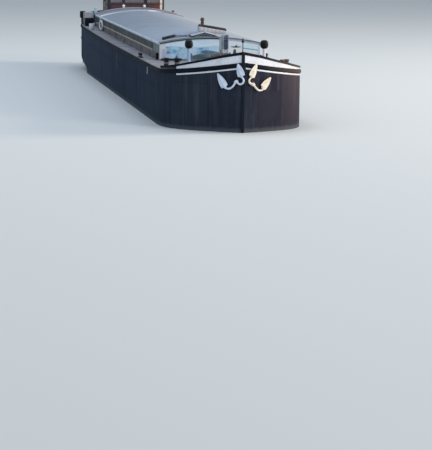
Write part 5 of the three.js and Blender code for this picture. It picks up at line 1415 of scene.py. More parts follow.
def build_coamings():
    for side, nm in ((-1, "starboard"), (1, "port")):
        g = Geo()
        X = lambda x: side * x
        bx(g, X(WALL_HALF - 0.06), X(WALL_HALF), FRONT + 0.0603, BACK - 0.0603, 2.62, EAVE_Z - 0.1003, 0.002, 0)
        top0, top1 = 2.968, EAVE_Z - 0.103
        # dark upper strip in long panels with slim mullions between them; its dark olive stands partly for painted
        # shade under the eave
        stations = list(np.linspace(10.25, 33.05, 11))
        for k, (a, b) in enumerate(zip(stations, stations[1:])):
            bx(g, X(WALL_HALF - 0.002), X(WALL_HALF + 0.006), a + 0.02, b - 0.02, top0 + 0.018, top1 - 0.012, 0.003, 1)
        for k, a in enumerate(stations):
            bx(g, X(WALL_HALF - 0.002), X(WALL_HALF + 0.013), a - 0.019, a + 0.019, top0, top1, 0.004, 2 if (side < 0 and k == 4) else 1)
        bx(g, X(WALL_HALF - 0.002), X(WALL_HALF + 0.010), 10.25, 33.10, top1 - 0.014, top1, 0.003, 1)
        # guard: beige half round on brackets
        rows = [(-0.002, 2.914), (0.016, 2.916), (0.027, 2.925), (0.030, 2.940), (0.027, 2.955), (0.016, 2.964), (-0.002, 2.966)]
        rings = [[(X(WALL_HALF + o), Y(s), z) for o, z in rows] for s in np.linspace(10.2, BACK - 0.0603, 12)]
        g.add(loft(rings), 2)
        # light panel at the front without the guard
        bx(g, X(WALL_HALF - 0.002), X(WALL_HALF + 0.008), 8.20, 10.14, 2.91, top1 - 0.006, 0.004, 3)
        frame_s(g, 8.20, 10.14, 2.905, top1 - 0.002, 0.045, X(WALL_HALF), X(WALL_HALF + 0.014), 0.004, 3)
        bx(g, X(WALL_HALF - 0.002), X(WALL_HALF + 0.012), 8.145, 8.19, 2.64, top1, 0.004, 5)
        # lower wall: slim stiffeners and an angle bar along the deck
        for a in np.linspace(10.25, 33.05, 21):
            z0 = deck_z(a)
            bx(g, X(WALL_HALF - 0.002), X(WALL_HALF + 0.012), a - 0.014, a + 0.014, z0 + 0.03, 2.914, 0.003, 0)
            bolt(g, (X(WALL_HALF + 0.012), Y(a), 2.88), (side, 0, 0), 0.008, 0.005, 0)
        ss = np.linspace(FRONT + 0.08, BACK - 0.07, 30)
        for lo, hi, o0, o1 in ((-0.01, 0.048, -0.002, 0.010), (-0.01, 0.010, 0.0, 0.055)):
            rings = []
            for s in ss:
                z = deck_z(s)
                rings.append([(X(WALL_HALF + a), Y(s), z + b) for a, b in ((o0, lo), (o0, hi), (o1, hi), (o1, lo))])
            g.add(loft(rings), 0)
        # dark low box hung by the forward corner, and small scuppers
        if side < 0:
            bx(g, X(WALL_HALF), X(WALL_HALF + 0.09), 8.42, 8.80, 2.70, 2.90, 0.012, 4)
            bx(g, X(WALL_HALF), X(WALL_HALF + 0.10), 8.40, 8.82, 2.895, 2.912, 0.005, 4)
        for a in np.arange(12.0, 32.5, 4.1):
            g.add(lathe([(0, -0.01), (0.024, -0.01), (0.026, 0.006), (0.018, 0.010), (0.016, 0.002), (0, 0.002)], 16), 4, along((X(WALL_HALF), Y(a), 2.80), (side, 0, 0)))
        piece(f"coaming_{nm}_panelled", g, [COAMING, OLIVE, BEIGE, TEAL_GREY, BLACK, LIGHT_GREY, LIGHT_BLUE], replaces=[f"coaming_{nm}"], smooth=35)


def panel_material():
    """Plain decorative painting of the builder's own: rounded patches of sea colours under a pale sky."""
    m = Mat("front_panel_painted", 0.45, spec=0.35)
    x, y, z = m.xyz()
    fine = m.noise(18, 5)
    sky = m.mix(m.ramp(m.noise(0.9, 4), (0.3, 0.0), (0.7, 1.0)), lin("#d4f0ff"), lin("#e6f2ff"))
    sky = m.mix(m.math("MULTIPLY", m.ramp(m.noise(1.4, 4, vec=m.scaled((1, 1, 3.5))), (0.5, 0.0), (0.7, 1.0)), 0.45), sky, lin("#a5d3ea"))

    def band(col, level, amp, freq, phase, color, edge=0.012):
        wave = m.math("SINE", m.math("ADD", m.math("MULTIPLY", x, freq), phase))
        top = m.math("ADD", m.math("MULTIPLY", wave, amp), level)
        d = m.math("SUBTRACT", top, z)
        return m.mix(m.ramp(m.math("ADD", m.math("MULTIPLY", d, 1 / edge), 0.0, True), (0.0, 0.0), (1.0, 1.0)), col, color)

    # tiled patches of sea colours with rounded tops, lighter where they meet the sky
    v = m.nt.nodes.new("ShaderNodeTexVoronoi")
    m.put(v.inputs["Vector"], m.scaled((1.0, 0.02, 1.25)))
    v.inputs["Scale"].default_value, v.inputs["Randomness"].default_value = 4.2, 0.75
    tone = m.ramp(v.outputs["Color"], (0.0, lin("#4278c0")), (0.30, lin("#55b0d8")), (0.42, lin("#b8dcf8")), (0.55, lin("#2f5590")), (0.66, lin("#cfe4fb")), (0.80, lin("#7099b0")))
    rim = m.ramp(v.outputs["Distance"], (0.30, 0.0), (0.44, 1.0))
    tone = m.mix(m.math("MULTIPLY", rim, 0.55), tone, lin("#c3e0f3"))
    low = m.mix(m.ramp(m.noise(3.4, 5, 0.6), (0.40, 0.0), (0.62, 1.0)), lin("#52696f"), lin("#3d5266"))
    cool = m.mix(m.ramp(m.noise(2.6, 5, 0.6), (0.42, 0.0), (0.60, 1.0)), lin("#c6e4fb"), lin("#8fbbe3"))
    low = m.mix(m.ramp(m.math("MULTIPLY", m.math("ADD", m.math("ADD", x, 2.0), m.math("MULTIPLY", m.noise(1.8, 4), 0.5)), 0.25), (0.36, 0.0), (0.40, 1.0)), cool, low)
    col = sky
    col = band(col, 3.185, 0.020, 3.3, 0.6, lin("#b9dbf0"))
    col = m.mix(m.ramp(m.math("MULTIPLY", m.math("SUBTRACT", m.math("ADD", 3.150, m.math("MULTIPLY", m.math("SINE", m.math("ADD", m.math("MULTIPLY", x, 4.1), 1.1)), 0.03)), z), 60.0), (0.0, 0.0), (1.0, 1.0)), col, tone)
    col = m.mix(m.ramp(m.math("MULTIPLY", m.math("SUBTRACT", m.math("ADD", 2.87, m.math("MULTIPLY", m.math("SINE", m.math("ADD", m.math("MULTIPLY", x, 5.3), 3.1)), 0.05)), z), 40.0), (0.0, 0.0), (1.0, 1.0)), col, low)
    at_x = lambda a, b: m.ramp(m.math("MULTIPLY", m.math("ADD", x, 2.0), 0.25), (a, 0.0), (b, 1.0))
    hill = m.ramp(m.math("MULTIPLY", m.math("SUBTRACT", m.math("ADD", 3.005, m.math("MULTIPLY", m.math("SINE", m.math("ADD", m.math("MULTIPLY", x, 4.3), 2.2)), 0.045)), z), 50.0), (0.0, 0.0), (1.0, 1.0))
    ground = m.ramp(m.math("MULTIPLY", m.math("SUBTRACT", m.math("ADD", 2.88, m.math("MULTIPLY", m.math("SINE", m.math("ADD", m.math("MULTIPLY", x, 5.3), 3.1)), 0.05)), z), 40.0), (0.0, 1.0), (1.0, 0.0))
    col = m.mix(m.math("MULTIPLY", m.math("MULTIPLY", hill, ground), m.math("MULTIPLY", at_x(0.40, 0.425), 0.85)), col, m.mix(m.ramp(m.noise(4.0, 5, 0.6), (0.42, 0.0), (0.60, 1.0)), lin("#5b7288"), lin("#405876")))
    for centre, half, top in ((-0.72, 0.075, 2.955), (-1.24, 0.050, 2.865)):
        away = m.math("ABSOLUTE", m.math("SUBTRACT", x, centre))
        lobe = m.math("SUBTRACT", m.math("SUBTRACT", top, z), m.math("MULTIPLY", m.math("MULTIPLY", away, away), 0.10 / (half * half)))
        lobe = m.math("MULTIPLY", m.ramp(m.math("MULTIPLY", lobe, 60.0), (0.0, 0.0), (1.0, 1.0)), m.ramp(m.math("MULTIPLY", m.math("SUBTRACT", half, away), 80.0), (0.0, 0.0), (1.0, 1.0)))
        col = m.mix(m.math("MULTIPLY", lobe, 0.9), col, lin("#3f66a4"))
    # the port third and the starboard corner are plain
    port = m.ramp(m.math("MULTIPLY", m.math("ADD", x, 2.0), 0.25), (0.6365, 0.0), (0.6385, 1.0))
    plain = m.mix(m.ramp(m.noise(1.1, 4), (0.3, 0.0), (0.7, 1.0)), lin("#d8f6ff"), lin("#e8faff"))
    plain = m.mix(m.ramp(m.math("MULTIPLY", m.math("ADD", x, 2.0), 0.25), (0.800, 1.0), (0.802, 0.0)), plain, lin("#eaf5ff"))
    drop = m.math("ADD", z, m.math("MULTIPLY", m.math("SUBTRACT", x, 1.2), 0.13))
    line = m.math("MULTIPLY", m.ramp(m.math("MULTIPLY", drop, 0.3), (0.9325, 0.0), (0.9335, 1.0), (0.9440, 1.0), (0.9450, 0.0)), m.ramp(m.math("MULTIPLY", m.math("ADD", x, 2.0), 0.25), (0.800, 0.15), (0.805, 1.0)))
    plain = m.mix(line, plain, lin("#6fb4d6"))
    plain = m.mix(m.ramp(m.math("MULTIPLY", drop, 0.3), (0.9325, 1.0), (0.9335, 0.0)), plain, lin("#f0f3f8"))
    col = m.mix(port, col, plain)
    star = m.ramp(m.math("MULTIPLY", m.math("ADD", x, 2.0), 0.25), (0.088, 1.0), (0.090, 0.0))
    col = m.mix(star, col, m.mix(m.ramp(m.math("MULTIPLY", z, 0.3), (0.915, 0.0), (0.93, 1.0)), lin("#bfbddb"), lin("#d6dfde")))
    col = m.mix(m.math("MULTIPLY", m.ramp(m.noise(3.2, 7, 0.65), (0.55, 0.0), (0.75, 1.0)), 0.14), col, lin("#7c8084"))
    m.set("Base Color", col)
    m.set("Roughness", m.math("ADD", m.math("MULTIPLY", fine, 0.2), 0.35, True))
    m.bump(m.math("ADD", fine, m.math("MULTIPLY", m.noise(1.6, 3), 3.0)), 0.2, 0.002)
    return m.mat


def build_front_wall():
    M = Matrix(((1, 0, 0, 0), (0, 0, -1, 0), (0, 1, 0, 0), (0, 0, 0, 1)))
    at = lambda s: Matrix.Translation((0, Y(s), 0)) @ M
    cam = camber_at(FRONT - 0.06) - 0.0006
    top = lambda x, drop=0.0455: EAVE_Z - drop + cam * (1 - (x / ROOF_HALF) ** 2)
    n = 40
    g = Geo()
    h = ROOF_HALF - 0.0504
    rows = [(-WALL_HALF, 2.62), (WALL_HALF, 2.62), (WALL_HALF, EAVE_Z - 0.1003), (h, EAVE_Z - 0.1003)] + [(h * (1 - 2 * k / n), top(h * (1 - 2 * k / n))) for k in range(n + 1)] + [(-h, EAVE_Z - 0.1003), (-WALL_HALF, EAVE_Z - 0.1003)]
    g.add(prism(rows, -0.06, 0.0, at(FRONT)))
    piece("front_bulkhead_panel", g, [panel_material()], replaces=["front_bulkhead"], smooth=30)

    t = Geo()
    # cornice: navy board and a pale bead that follow the arch, tucked under the roof's front edge; the navy board is
    # dark only on its starboard part and stands partly for painted shade under that edge
    def follow(z_hi, z_lo, out, x0=-WALL_HALF + 0.012, x1=WALL_HALF - 0.012, mi=0, m=40, rnd=0.004):
        O, I = [], []
        for dz, o in ((z_hi, out - rnd), (z_hi - rnd, out), (z_lo + rnd, out), (z_lo, out - rnd)):
            xs = [x0 + (x1 - x0) * k / m for k in range(m + 1)]
            O.append([(x, Y(FRONT - o), top(x) + dz) for x in xs])
            I.append([(x, Y(FRONT + 0.004), top(x) + dz) for x in xs])
        t.add(shell(O, I), mi)
    follow(-0.002, -0.046, 0.020, x1=0.565, mi=0)
    follow(-0.002, -0.046, 0.020, x0=0.566, mi=1)
    follow(-0.047, -0.068, 0.013, mi=1)
    # corner boards, plinth, and the batten that parts the two fields
    for side in (-1, 1):
        bx(t, side * (WALL_HALF - 0.085), side * (WALL_HALF + 0.002), FRONT - 0.010, FRONT + 0.002, 2.70, EAVE_Z - 0.104, 0.004, 1)
    bx(t, -WALL_HALF - 0.002, WALL_HALF + 0.002, FRONT - 0.014, FRONT + 0.002, 2.64, 2.715, 0.005, 2)
    bx(t, 0.545, 0.585, FRONT - 0.012, FRONT + 0.002, 2.715, 3.47, 0.004, 3)
    # long low dark crescent with a short finial, and a teal shelf line falling to port
    O, I = [], []
    for f, o in ((1.0, 0.004), (0.8, 0.011), (0.0, 0.013)):
        O.append([(0.965 + 0.20 * u, Y(FRONT - o), 3.165 + 0.012 * u * u + f * 0.020 * (1 - u ** 4)) for u in np.linspace(-1, 1, 25)])
        I.append([(0.965 + 0.20 * u, Y(FRONT + 0.001), 3.165 + 0.012 * u * u + f * 0.020 * (1 - u ** 4)) for u in np.linspace(-1, 1, 25)])
    for f, o in ((-0.8, 0.011), (-1.0, 0.004)):
        O.append([(0.965 + 0.20 * u, Y(FRONT - o), 3.165 + 0.012 * u * u + f * 0.020 * (1 - u ** 4)) for u in np.linspace(-1, 1, 25)])
        I.append([(0.965 + 0.20 * u, Y(FRONT + 0.001), 3.165 + 0.012 * u * u + f * 0.020 * (1 - u ** 4)) for u in np.linspace(-1, 1, 25)])
    t.add(shell(O, I), 0)
    bx(t, 0.985, 1.005, FRONT - 0.010, FRONT + 0.001, 3.18, 3.25, 0.004, 0)
    bx(t, 0.93, 0.985, FRONT - 0.009, FRONT + 0.001, 3.185, 3.215, 0.006, 0)
    bx(t, -1.80, -1.10, FRONT - 0.30, FRONT - 0.02, 2.66, 2.70, 0.006, 5)
    for x in (-1.72, -1.45, -1.18):
        bx(t, x - 0.02, x + 0.02, FRONT - 0.28, FRONT - 0.03, 2.655, 2.73, 0.005, 5)
    bx(t, -1.83, -1.07, FRONT - 0.31, FRONT - 0.265, 2.70, 2.745, 0.008, 6)
    bx(t, -1.83, -1.07, FRONT - 0.18, FRONT - 0.135, 2.70, 2.745, 0.008, 6)
    piece("front_wall_joinery", t, [NAVY, PALE, TEAL_GREY, LIGHT_GREY, LIGHT_BLUE, GREY, BLACK], smooth=35)
    dress("aft_bulkhead", PALE)


SKY = dict(x=-0.20, half=0.50, s0=8.12, s1=9.12, eave=3.585, ridge=3.715)


def build_hatch_house():
    dress("skylight_base", NAVY)
    g = Geo()
    x, h = SKY["x"], SKY["half"]
    z0 = roof_z(x, 8.12)
    M = Matrix(((1, 0, 0, 0), (0, 0, -1, Y(8.12)), (0, 1, 0, 0), (0, 0, 0, 1)))
    zl = roof_z(x - h + 0.03, 8.12) + 0.004
    zr = roof_z(x + h - 0.03, 8.12) + 0.004
    # gable: frame, and a triangular grille with slats
    for a0, b0, a1, b1 in ((x - h + 0.05, SKY["eave"] - 0.045, x, SKY["ridge"] - 0.055), (x, SKY["ridge"] - 0.055, x + h - 0.05, SKY["eave"] - 0.045)):
        rows = [(a0, b0), (a1, b1), (a1, b1 - 0.026), (a0, b0 - 0.026)]
        g.add(prism(rows, 0.0, 0.010, M, 0.002), 0)
    g.add(prism([(x - h + 0.05, zl + 0.0), (x + h - 0.05, zr + 0.0), (x + h - 0.05, zr + 0.022), (x, z0 + 0.026), (x - h + 0.05, zl + 0.022)], 0.0, 0.010, M, 0.002), 0)
    for k in range(9):
        xx = x - 0.36 + 0.09 * k
        zt = SKY["ridge"] - 0.085 - abs(xx - x) * (SKY["ridge"] - SKY["eave"]) / h
        zb = roof_z(xx, 8.12) + 0.02
        if zt - zb > 0.02:
            g.add(prism([(xx - 0.008, zb), (xx + 0.008, zb), (xx + 0.008, zt), (xx - 0.008, zt)], 0.0, 0.007, M, 0.001), 1)
    bx(g, x - 0.012, x + 0.012, 8.085, 9.155, SKY["ridge"] - 0.030, SKY["ridge"] - 0.002, 0.006, 0)
    piece("skylight_trim", g, [TEAL_GREY, GREY])
    slope = math.atan2(SKY["ridge"] - SKY["eave"], h)
    c, sn = math.cos(slope), math.sin(slope)
    for nm, side in (("starboard", -1), ("port", 1)):
        g = Geo()
        M = Matrix(((side * c, 0, side * sn, x), (0, 1, 0, 0), (-sn, 0, c, SKY["ridge"] - 0.02), (0, 0, 0, 1)))
        L = h / c
        y0, y1 = Y(8.09), Y(9.15)
        def lb(e0, e1, a, b, w0, w1, ch=0.003, mi=0):
            g.add(box((e0, a, w0), (e1, b, w1), ch), mi, M)
        lb(0.012, L, y0, y0 + 0.032, -0.001, 0.031, 0.005)
        lb(0.014, L - 0.002, y0 + 0.032, y0 + 0.075, 0, 0.028, 0.004, 1)
        lb(0.012, L, y1 - 0.075, y1, 0, 0.030, 0.005, 1)
        lb(0.012, 0.075, y0 + 0.075, y1 - 0.075, 0.0005, 0.0295, 0.005, 1)
        lb(L - 0.075, L, y0 + 0.075, y1 - 0.075, 0.0005, 0.0295, 0.005, 1)
        lb(0.07, L - 0.07, y0 + 0.07, y1 - 0.07, 0.004, 0.019, 0.001, 1)
        for k in (1, 2, 3):
            yy = y0 + 0.075 + (y1 - y0 - 0.15) * k / 4
            lb(0.074, L - 0.074, yy - 0.011, yy + 0.011, 0.004, 0.027, 0.003, 1)
        for yy in (y0 + 0.18, y1 - 0.18):
            g.add(rod(M @ Vector((0.020, yy - 0.04, 0.030)), M @ Vector((0.020, yy + 0.04, 0.030)), 0.0075, 0.0075, 12, 0.002), 2)
            lb(0.022, 0.085, yy - 0.022, yy + 0.022, 0.0285, 0.0325, 0.001, 2)
        g.add(pipe([M @ Vector((L - 0.045, (y0 + y1) / 2 - 0.07, 0.028)), M @ Vector((L - 0.045, (y0 + y1) / 2 - 0.06, 0.052)), M @ Vector((L - 0.045, (y0 + y1) / 2 + 0.06, 0.052)),
                    M @ Vector((L - 0.045, (y0 + y1) / 2 + 0.07, 0.028))], 0.006, 8), 2)
        piece(f"skylight_leaf_{nm}_joined", g, [WHITE, ROOF, BRASS], body=f"skylight_leaf_{nm}", replaces=[f"skylight_leaf_{nm}"])


def tarp_roll(g, p0, p1, r, seed, mi=0, n=40, k=28, flat=0.9, ties=(0.22, 0.78), tie_mi=1):
    """Rolled-up canvas: slack rounded roll with folds, a spiral end and two bands."""
    rg = random.Random(seed)
    ph = [rg.uniform(0, 6.28) for _ in range(6)]
    p0, p1 = Vector(p0), Vector(p1)
    M = along(p0, p1 - p0)
    L = (p1 - p0).length
    rings = []
    for i in range(n + 1):
        u = i / n
        row = []
        pinch = 1 - 0.16 * sum(math.exp(-((u - t) / 0.035) ** 2) for t in ties)
        endr = min(1.0, (min(u, 1 - u) * L / 0.02) ** 0.5) if min(u, 1 - u) * L < 0.02 else 1.0
        for j in range(k):
            a = 2 * math.pi * j / k
            f = 1 + 0.05 * math.sin(3 * a + ph[0] + 5 * u) + 0.035 * math.sin(7 * a + ph[1] - 9 * u) + 0.03 * math.sin(2 * a + ph[2] + 17 * u) + 0.02 * math.sin(11 * a + ph[3] + 23 * u)
            rr = r * f * pinch * (0.82 + 0.18 * endr) * 0.93
            row.append(tuple(M @ Vector((rr * math.cos(a), flat * rr * math.sin(a), u * L))))
        rings.append(row)
    g.add(loft(rings), mi)
    for t in ties:
        c = p0 + (p1 - p0) * t
        ring_torus(g, c, p1 - p0, r * 0.80, 0.010, 28, 8, tie_mi, 1.6)
    # spiral edge of the cloth at both ends
    for z0, d in ((-0.001, -1), (L + 0.001, 1)):
        pts = []
        for q in range(46):
            a = q * 0.36
            rr = r * (0.12 + 0.66 * q / 45)
            pts.append(M @ Vector((rr * math.cos(a), flat * rr * math.sin(a), z0)))
        g.add(pipe(pts, 0.006, 6), mi)


CANVAS = None


def canvas(name, base, dark):
    m = Mat(name, 0.85)
    w1 = m.wave(160, direction="X", detail=0)
    w2 = m.wave(160, direction="Y", detail=0)
    weave = m.math("MULTIPLY", w1, w2)
    n = m.noise(5, 5, 0.6)
    col = m.mix(m.ramp(n, (0.3, 0.0), (0.7, 1.0)), lin(dark), lin(base))
    col = m.mix(m.math("MULTIPLY", weave, 0.25), col, tuple(c * 0.6 for c in lin(dark)[:3]))
    m.set("Base Color", col)
    m.b.inputs["Sheen Weight"].default_value = 0.15
    m.set("Roughness", m.math("ADD", m.math("MULTIPLY", n, 0.15), 0.75, True))
    m.bump(m.math("ADD", weave, m.math("MULTIPLY", m.noise(30, 4), 2.0)), 0.4, 0.0015)
    return m.mat


def build_roof_items():
    global CANVAS
    CANVAS = canvas("canvas_dark", "#22262b", "#101216")
    strap = paint("strap_grey", "#3c3f44", 0.7)
    # roll: lies across the roof near the starboard front corner, tilted with the arch
    g = Geo()
    a = 0.24
    c = Vector((-1.475, Y(8.75), 3.482))
    d = Vector((math.cos(a), 0, math.sin(a))) * 0.228
    tarp_roll(g, c - d, c + d, 0.062, 3)
    piece("roof_roll_canvas", g, [CANVAS, strap], replaces=["roof_roll"], smooth=60)
    # low chest with an overhanging lid, hasps and end handles
    g = Geo()
    zf = lambda x: roof_z(x, 9.0)
    bx(g, -1.185, -0.775, 8.715, 9.285, 3.30, 3.545, 0.006)
    bx(g, -1.20, -0.76, 8.70, 9.30, 3.545, 3.585, 0.010, 1)
    for s in (8.80, 9.20):
        bx(g, -0.80, -0.757, s - 0.02, s + 0.02, 3.50, 3.56, 0.003, 2)
        bx(g, -1.203, -1.16, s - 0.02, s + 0.02, 3.50, 3.56, 0.003, 2)
    for y, sg in ((8.712, -1), (9.288, 1)):
        g.add(pipe([P3(-1.05, y, 3.50), P3(-1.05, y + sg * 0.028, 3.495), P3(-0.91, y + sg * 0.028, 3.495), P3(-0.91, y, 3.50)], 0.007, 8), 2)
    frame_s(g, 8.74, 9.26, 3.44, 3.535, 0.02, -0.776, -0.770, 0.002)
    piece("roof_chest_joined", g, [paint("chest_grey", "#8896a6", 0.55, vary=0.12, dirt="#3b4048", dirt_amount=0.5, spec=0.2),
          paint("chest_lid", "#93a2bc", 0.55, vary=0.1, dirt="#3f4550", dirt_amount=0.45, spec=0.2), STEEL], replaces=["roof_chest"])
    # chimney: flanged pipe with bands, narrow neck, domed cap
    g = Geo()
    cx, cs = 0.21, 11.75
    zb = roof_z(cx, cs)
    turned(g, cx, cs, 0, [(0, zb - 0.02), (0.110, zb - 0.02), (0.110, zb + 0.006), (0.092, zb + 0.014), (0.072, zb + 0.035), (0.066, zb + 0.07), (0.065, 3.74), (0.070, 3.742), (0.070, 3.76), (0.065, 3.762),
                          (0.065, 3.895), (0.071, 3.897), (0.071, 3.915), (0.060, 3.922), (0.046, 3.936), (0.044, 3.972), (0, 3.972)], 28)
    for k in range(4):
        q = k * math.pi / 2 + 0.4
        p = P3(cx, cs, 0) + Vector((0.062 * math.cos(q), 0.062 * math.sin(q), 0))
        g.add(rod(p + Vector((0, 0, 3.90)), p + Vector((0, 0, 4.0)), 0.005, 0.005, 8), 1)
    turned(g, cx, cs, 0, [(0, 3.970), (0.060, 3.972), (0.075, 3.984), (0.079, 4.005), (0.077, 4.032), (0.070, 4.058), (0.052, 4.080), (0.028, 4.094), (0.010, 4.099), (0, 4.10)], 32)
    for k in range(6):
        q = k * math.pi / 3
        bolt(g, P3(cx, cs, zb + 0.006) + Vector((0.100 * math.cos(q), 0.100 * math.sin(q), 0)), (0, 0, 1), 0.008, 0.006, 1)
    piece("stovepipe_banded", g, [CHIMNEY, STEEL], replaces=["stovepipe"])
    # low box: pale planked front, dark folded covers along its top, a rod on two forks
    g = Geo()
    zl = lambda x: 3.89 + (x + 0.05) * (3.71 - 3.89) / 1.09
    M = Matrix(((1, 0, 0, 0), (0, 0, -1, 0), (0, 1, 0, 0), (0, 0, 0, 1)))
    rows = [(-0.035, 3.34), (1.025, 3.34), (1.025, zl(1.025) - 0.095), (-0.035, zl(-0.035) - 0.095)]
    g.add(prism(rows, -Y(11.34), -Y(10.862), M, 0.006), 0)
    for k in range(7):
        x = -0.03 + k * 0.15
        zz = zl(x + 0.07) - 0.105
        g.add(prism([(x, roof_z(x, 10.86) + 0.004), (x + 0.145, roof_z(x + 0.145, 10.86) + 0.004), (x + 0.145, zz - 0.008), (x, zz)], -Y(10.863), -Y(10.852), M, 0.003), 0)
    tarp_roll(g, P3(-0.04, 10.98, zl(-0.04) - 0.062), P3(0.58, 10.98, zl(0.58) - 0.060), 0.060, 11, 1, 44, 26, 0.95, (0.12, 0.45, 0.8), 2)
    tarp_roll(g, P3(0.06, 11.16, zl(0.06) - 0.068), P3(1.03, 11.16, zl(1.03) - 0.062), 0.058, 23, 1, 52, 26, 0.9, (0.2, 0.5, 0.85), 2)
    tarp_roll(g, P3(0.58, 10.97, zl(0.58) - 0.078), P3(1.02, 10.97, zl(1.02) - 0.068), 0.050, 31, 1, 36, 24, 0.9, (0.3, 0.75), 2)
    for x in (0.30, 1.0):
        g.add(rod(P3(x, 11.30, 3.52), P3(x, 11.30, zl(x) - 0.012), 0.010, 0.010, 10), 3)
    g.add(rod(P3(0.24, 11.30, zl(0.24) - 0.010), P3(1.035, 11.30, zl(1.035) - 0.010), 0.009, 0.009, 12), 3)
    piece("roof_box_covered", g, [paint("box_taupe", "#c1c0c2", 0.6, vary=0.1, dirt="#544e49", dirt_amount=0.5, spec=0.15), CANVAS, strap, STEEL], replaces=["roof_box"], smooth=50)
    # mushroom vents on the coping
    for nm, x in (("starboard", -0.60), ("port", 0.38)):
        g = Geo()
        zb = roof_z(x, 33.115) + 0.07
        turned(g, x, 33.115, 0, [(0, zb - 0.01), (0.058, zb - 0.01), (0.058, zb + 0.006), (0.042, zb + 0.014), (0.036, zb + 0.022), (0.036, 3.700), (0, 3.700)], 28)
        turned(g, x, 33.115, 0, [(0, 3.694), (0.040, 3.697), (0.070, 3.704), (0.079, 3.711), (0.080, 3.719), (0.075, 3.738), (0.058, 3.764), (0.034, 3.788), (0.016, 3.796), (0.006, 3.799), (0, 3.80)], 32)
        piece(f"cabin_vent_{nm}_turned", g, [WHITE], replaces=[f"cabin_vent_{nm}"], smooth=40)
    # knob at the port end of the coping
    g = Geo()
    zb = roof_z(1.75, 33.1) + 0.055
    turned(g, 1.75, 33.115, 0, [(0, zb), (0.044, zb), (0.044, zb + 0.040), (0.066, zb + 0.050), (0.070, zb + 0.070), (0.048, zb + 0.095), (0.014, zb + 0.104), (0, zb + 0.105)], 24)
    piece("coping_vent", g, [BROWN])


# ------------------------------------------------------------------ wheelhouse


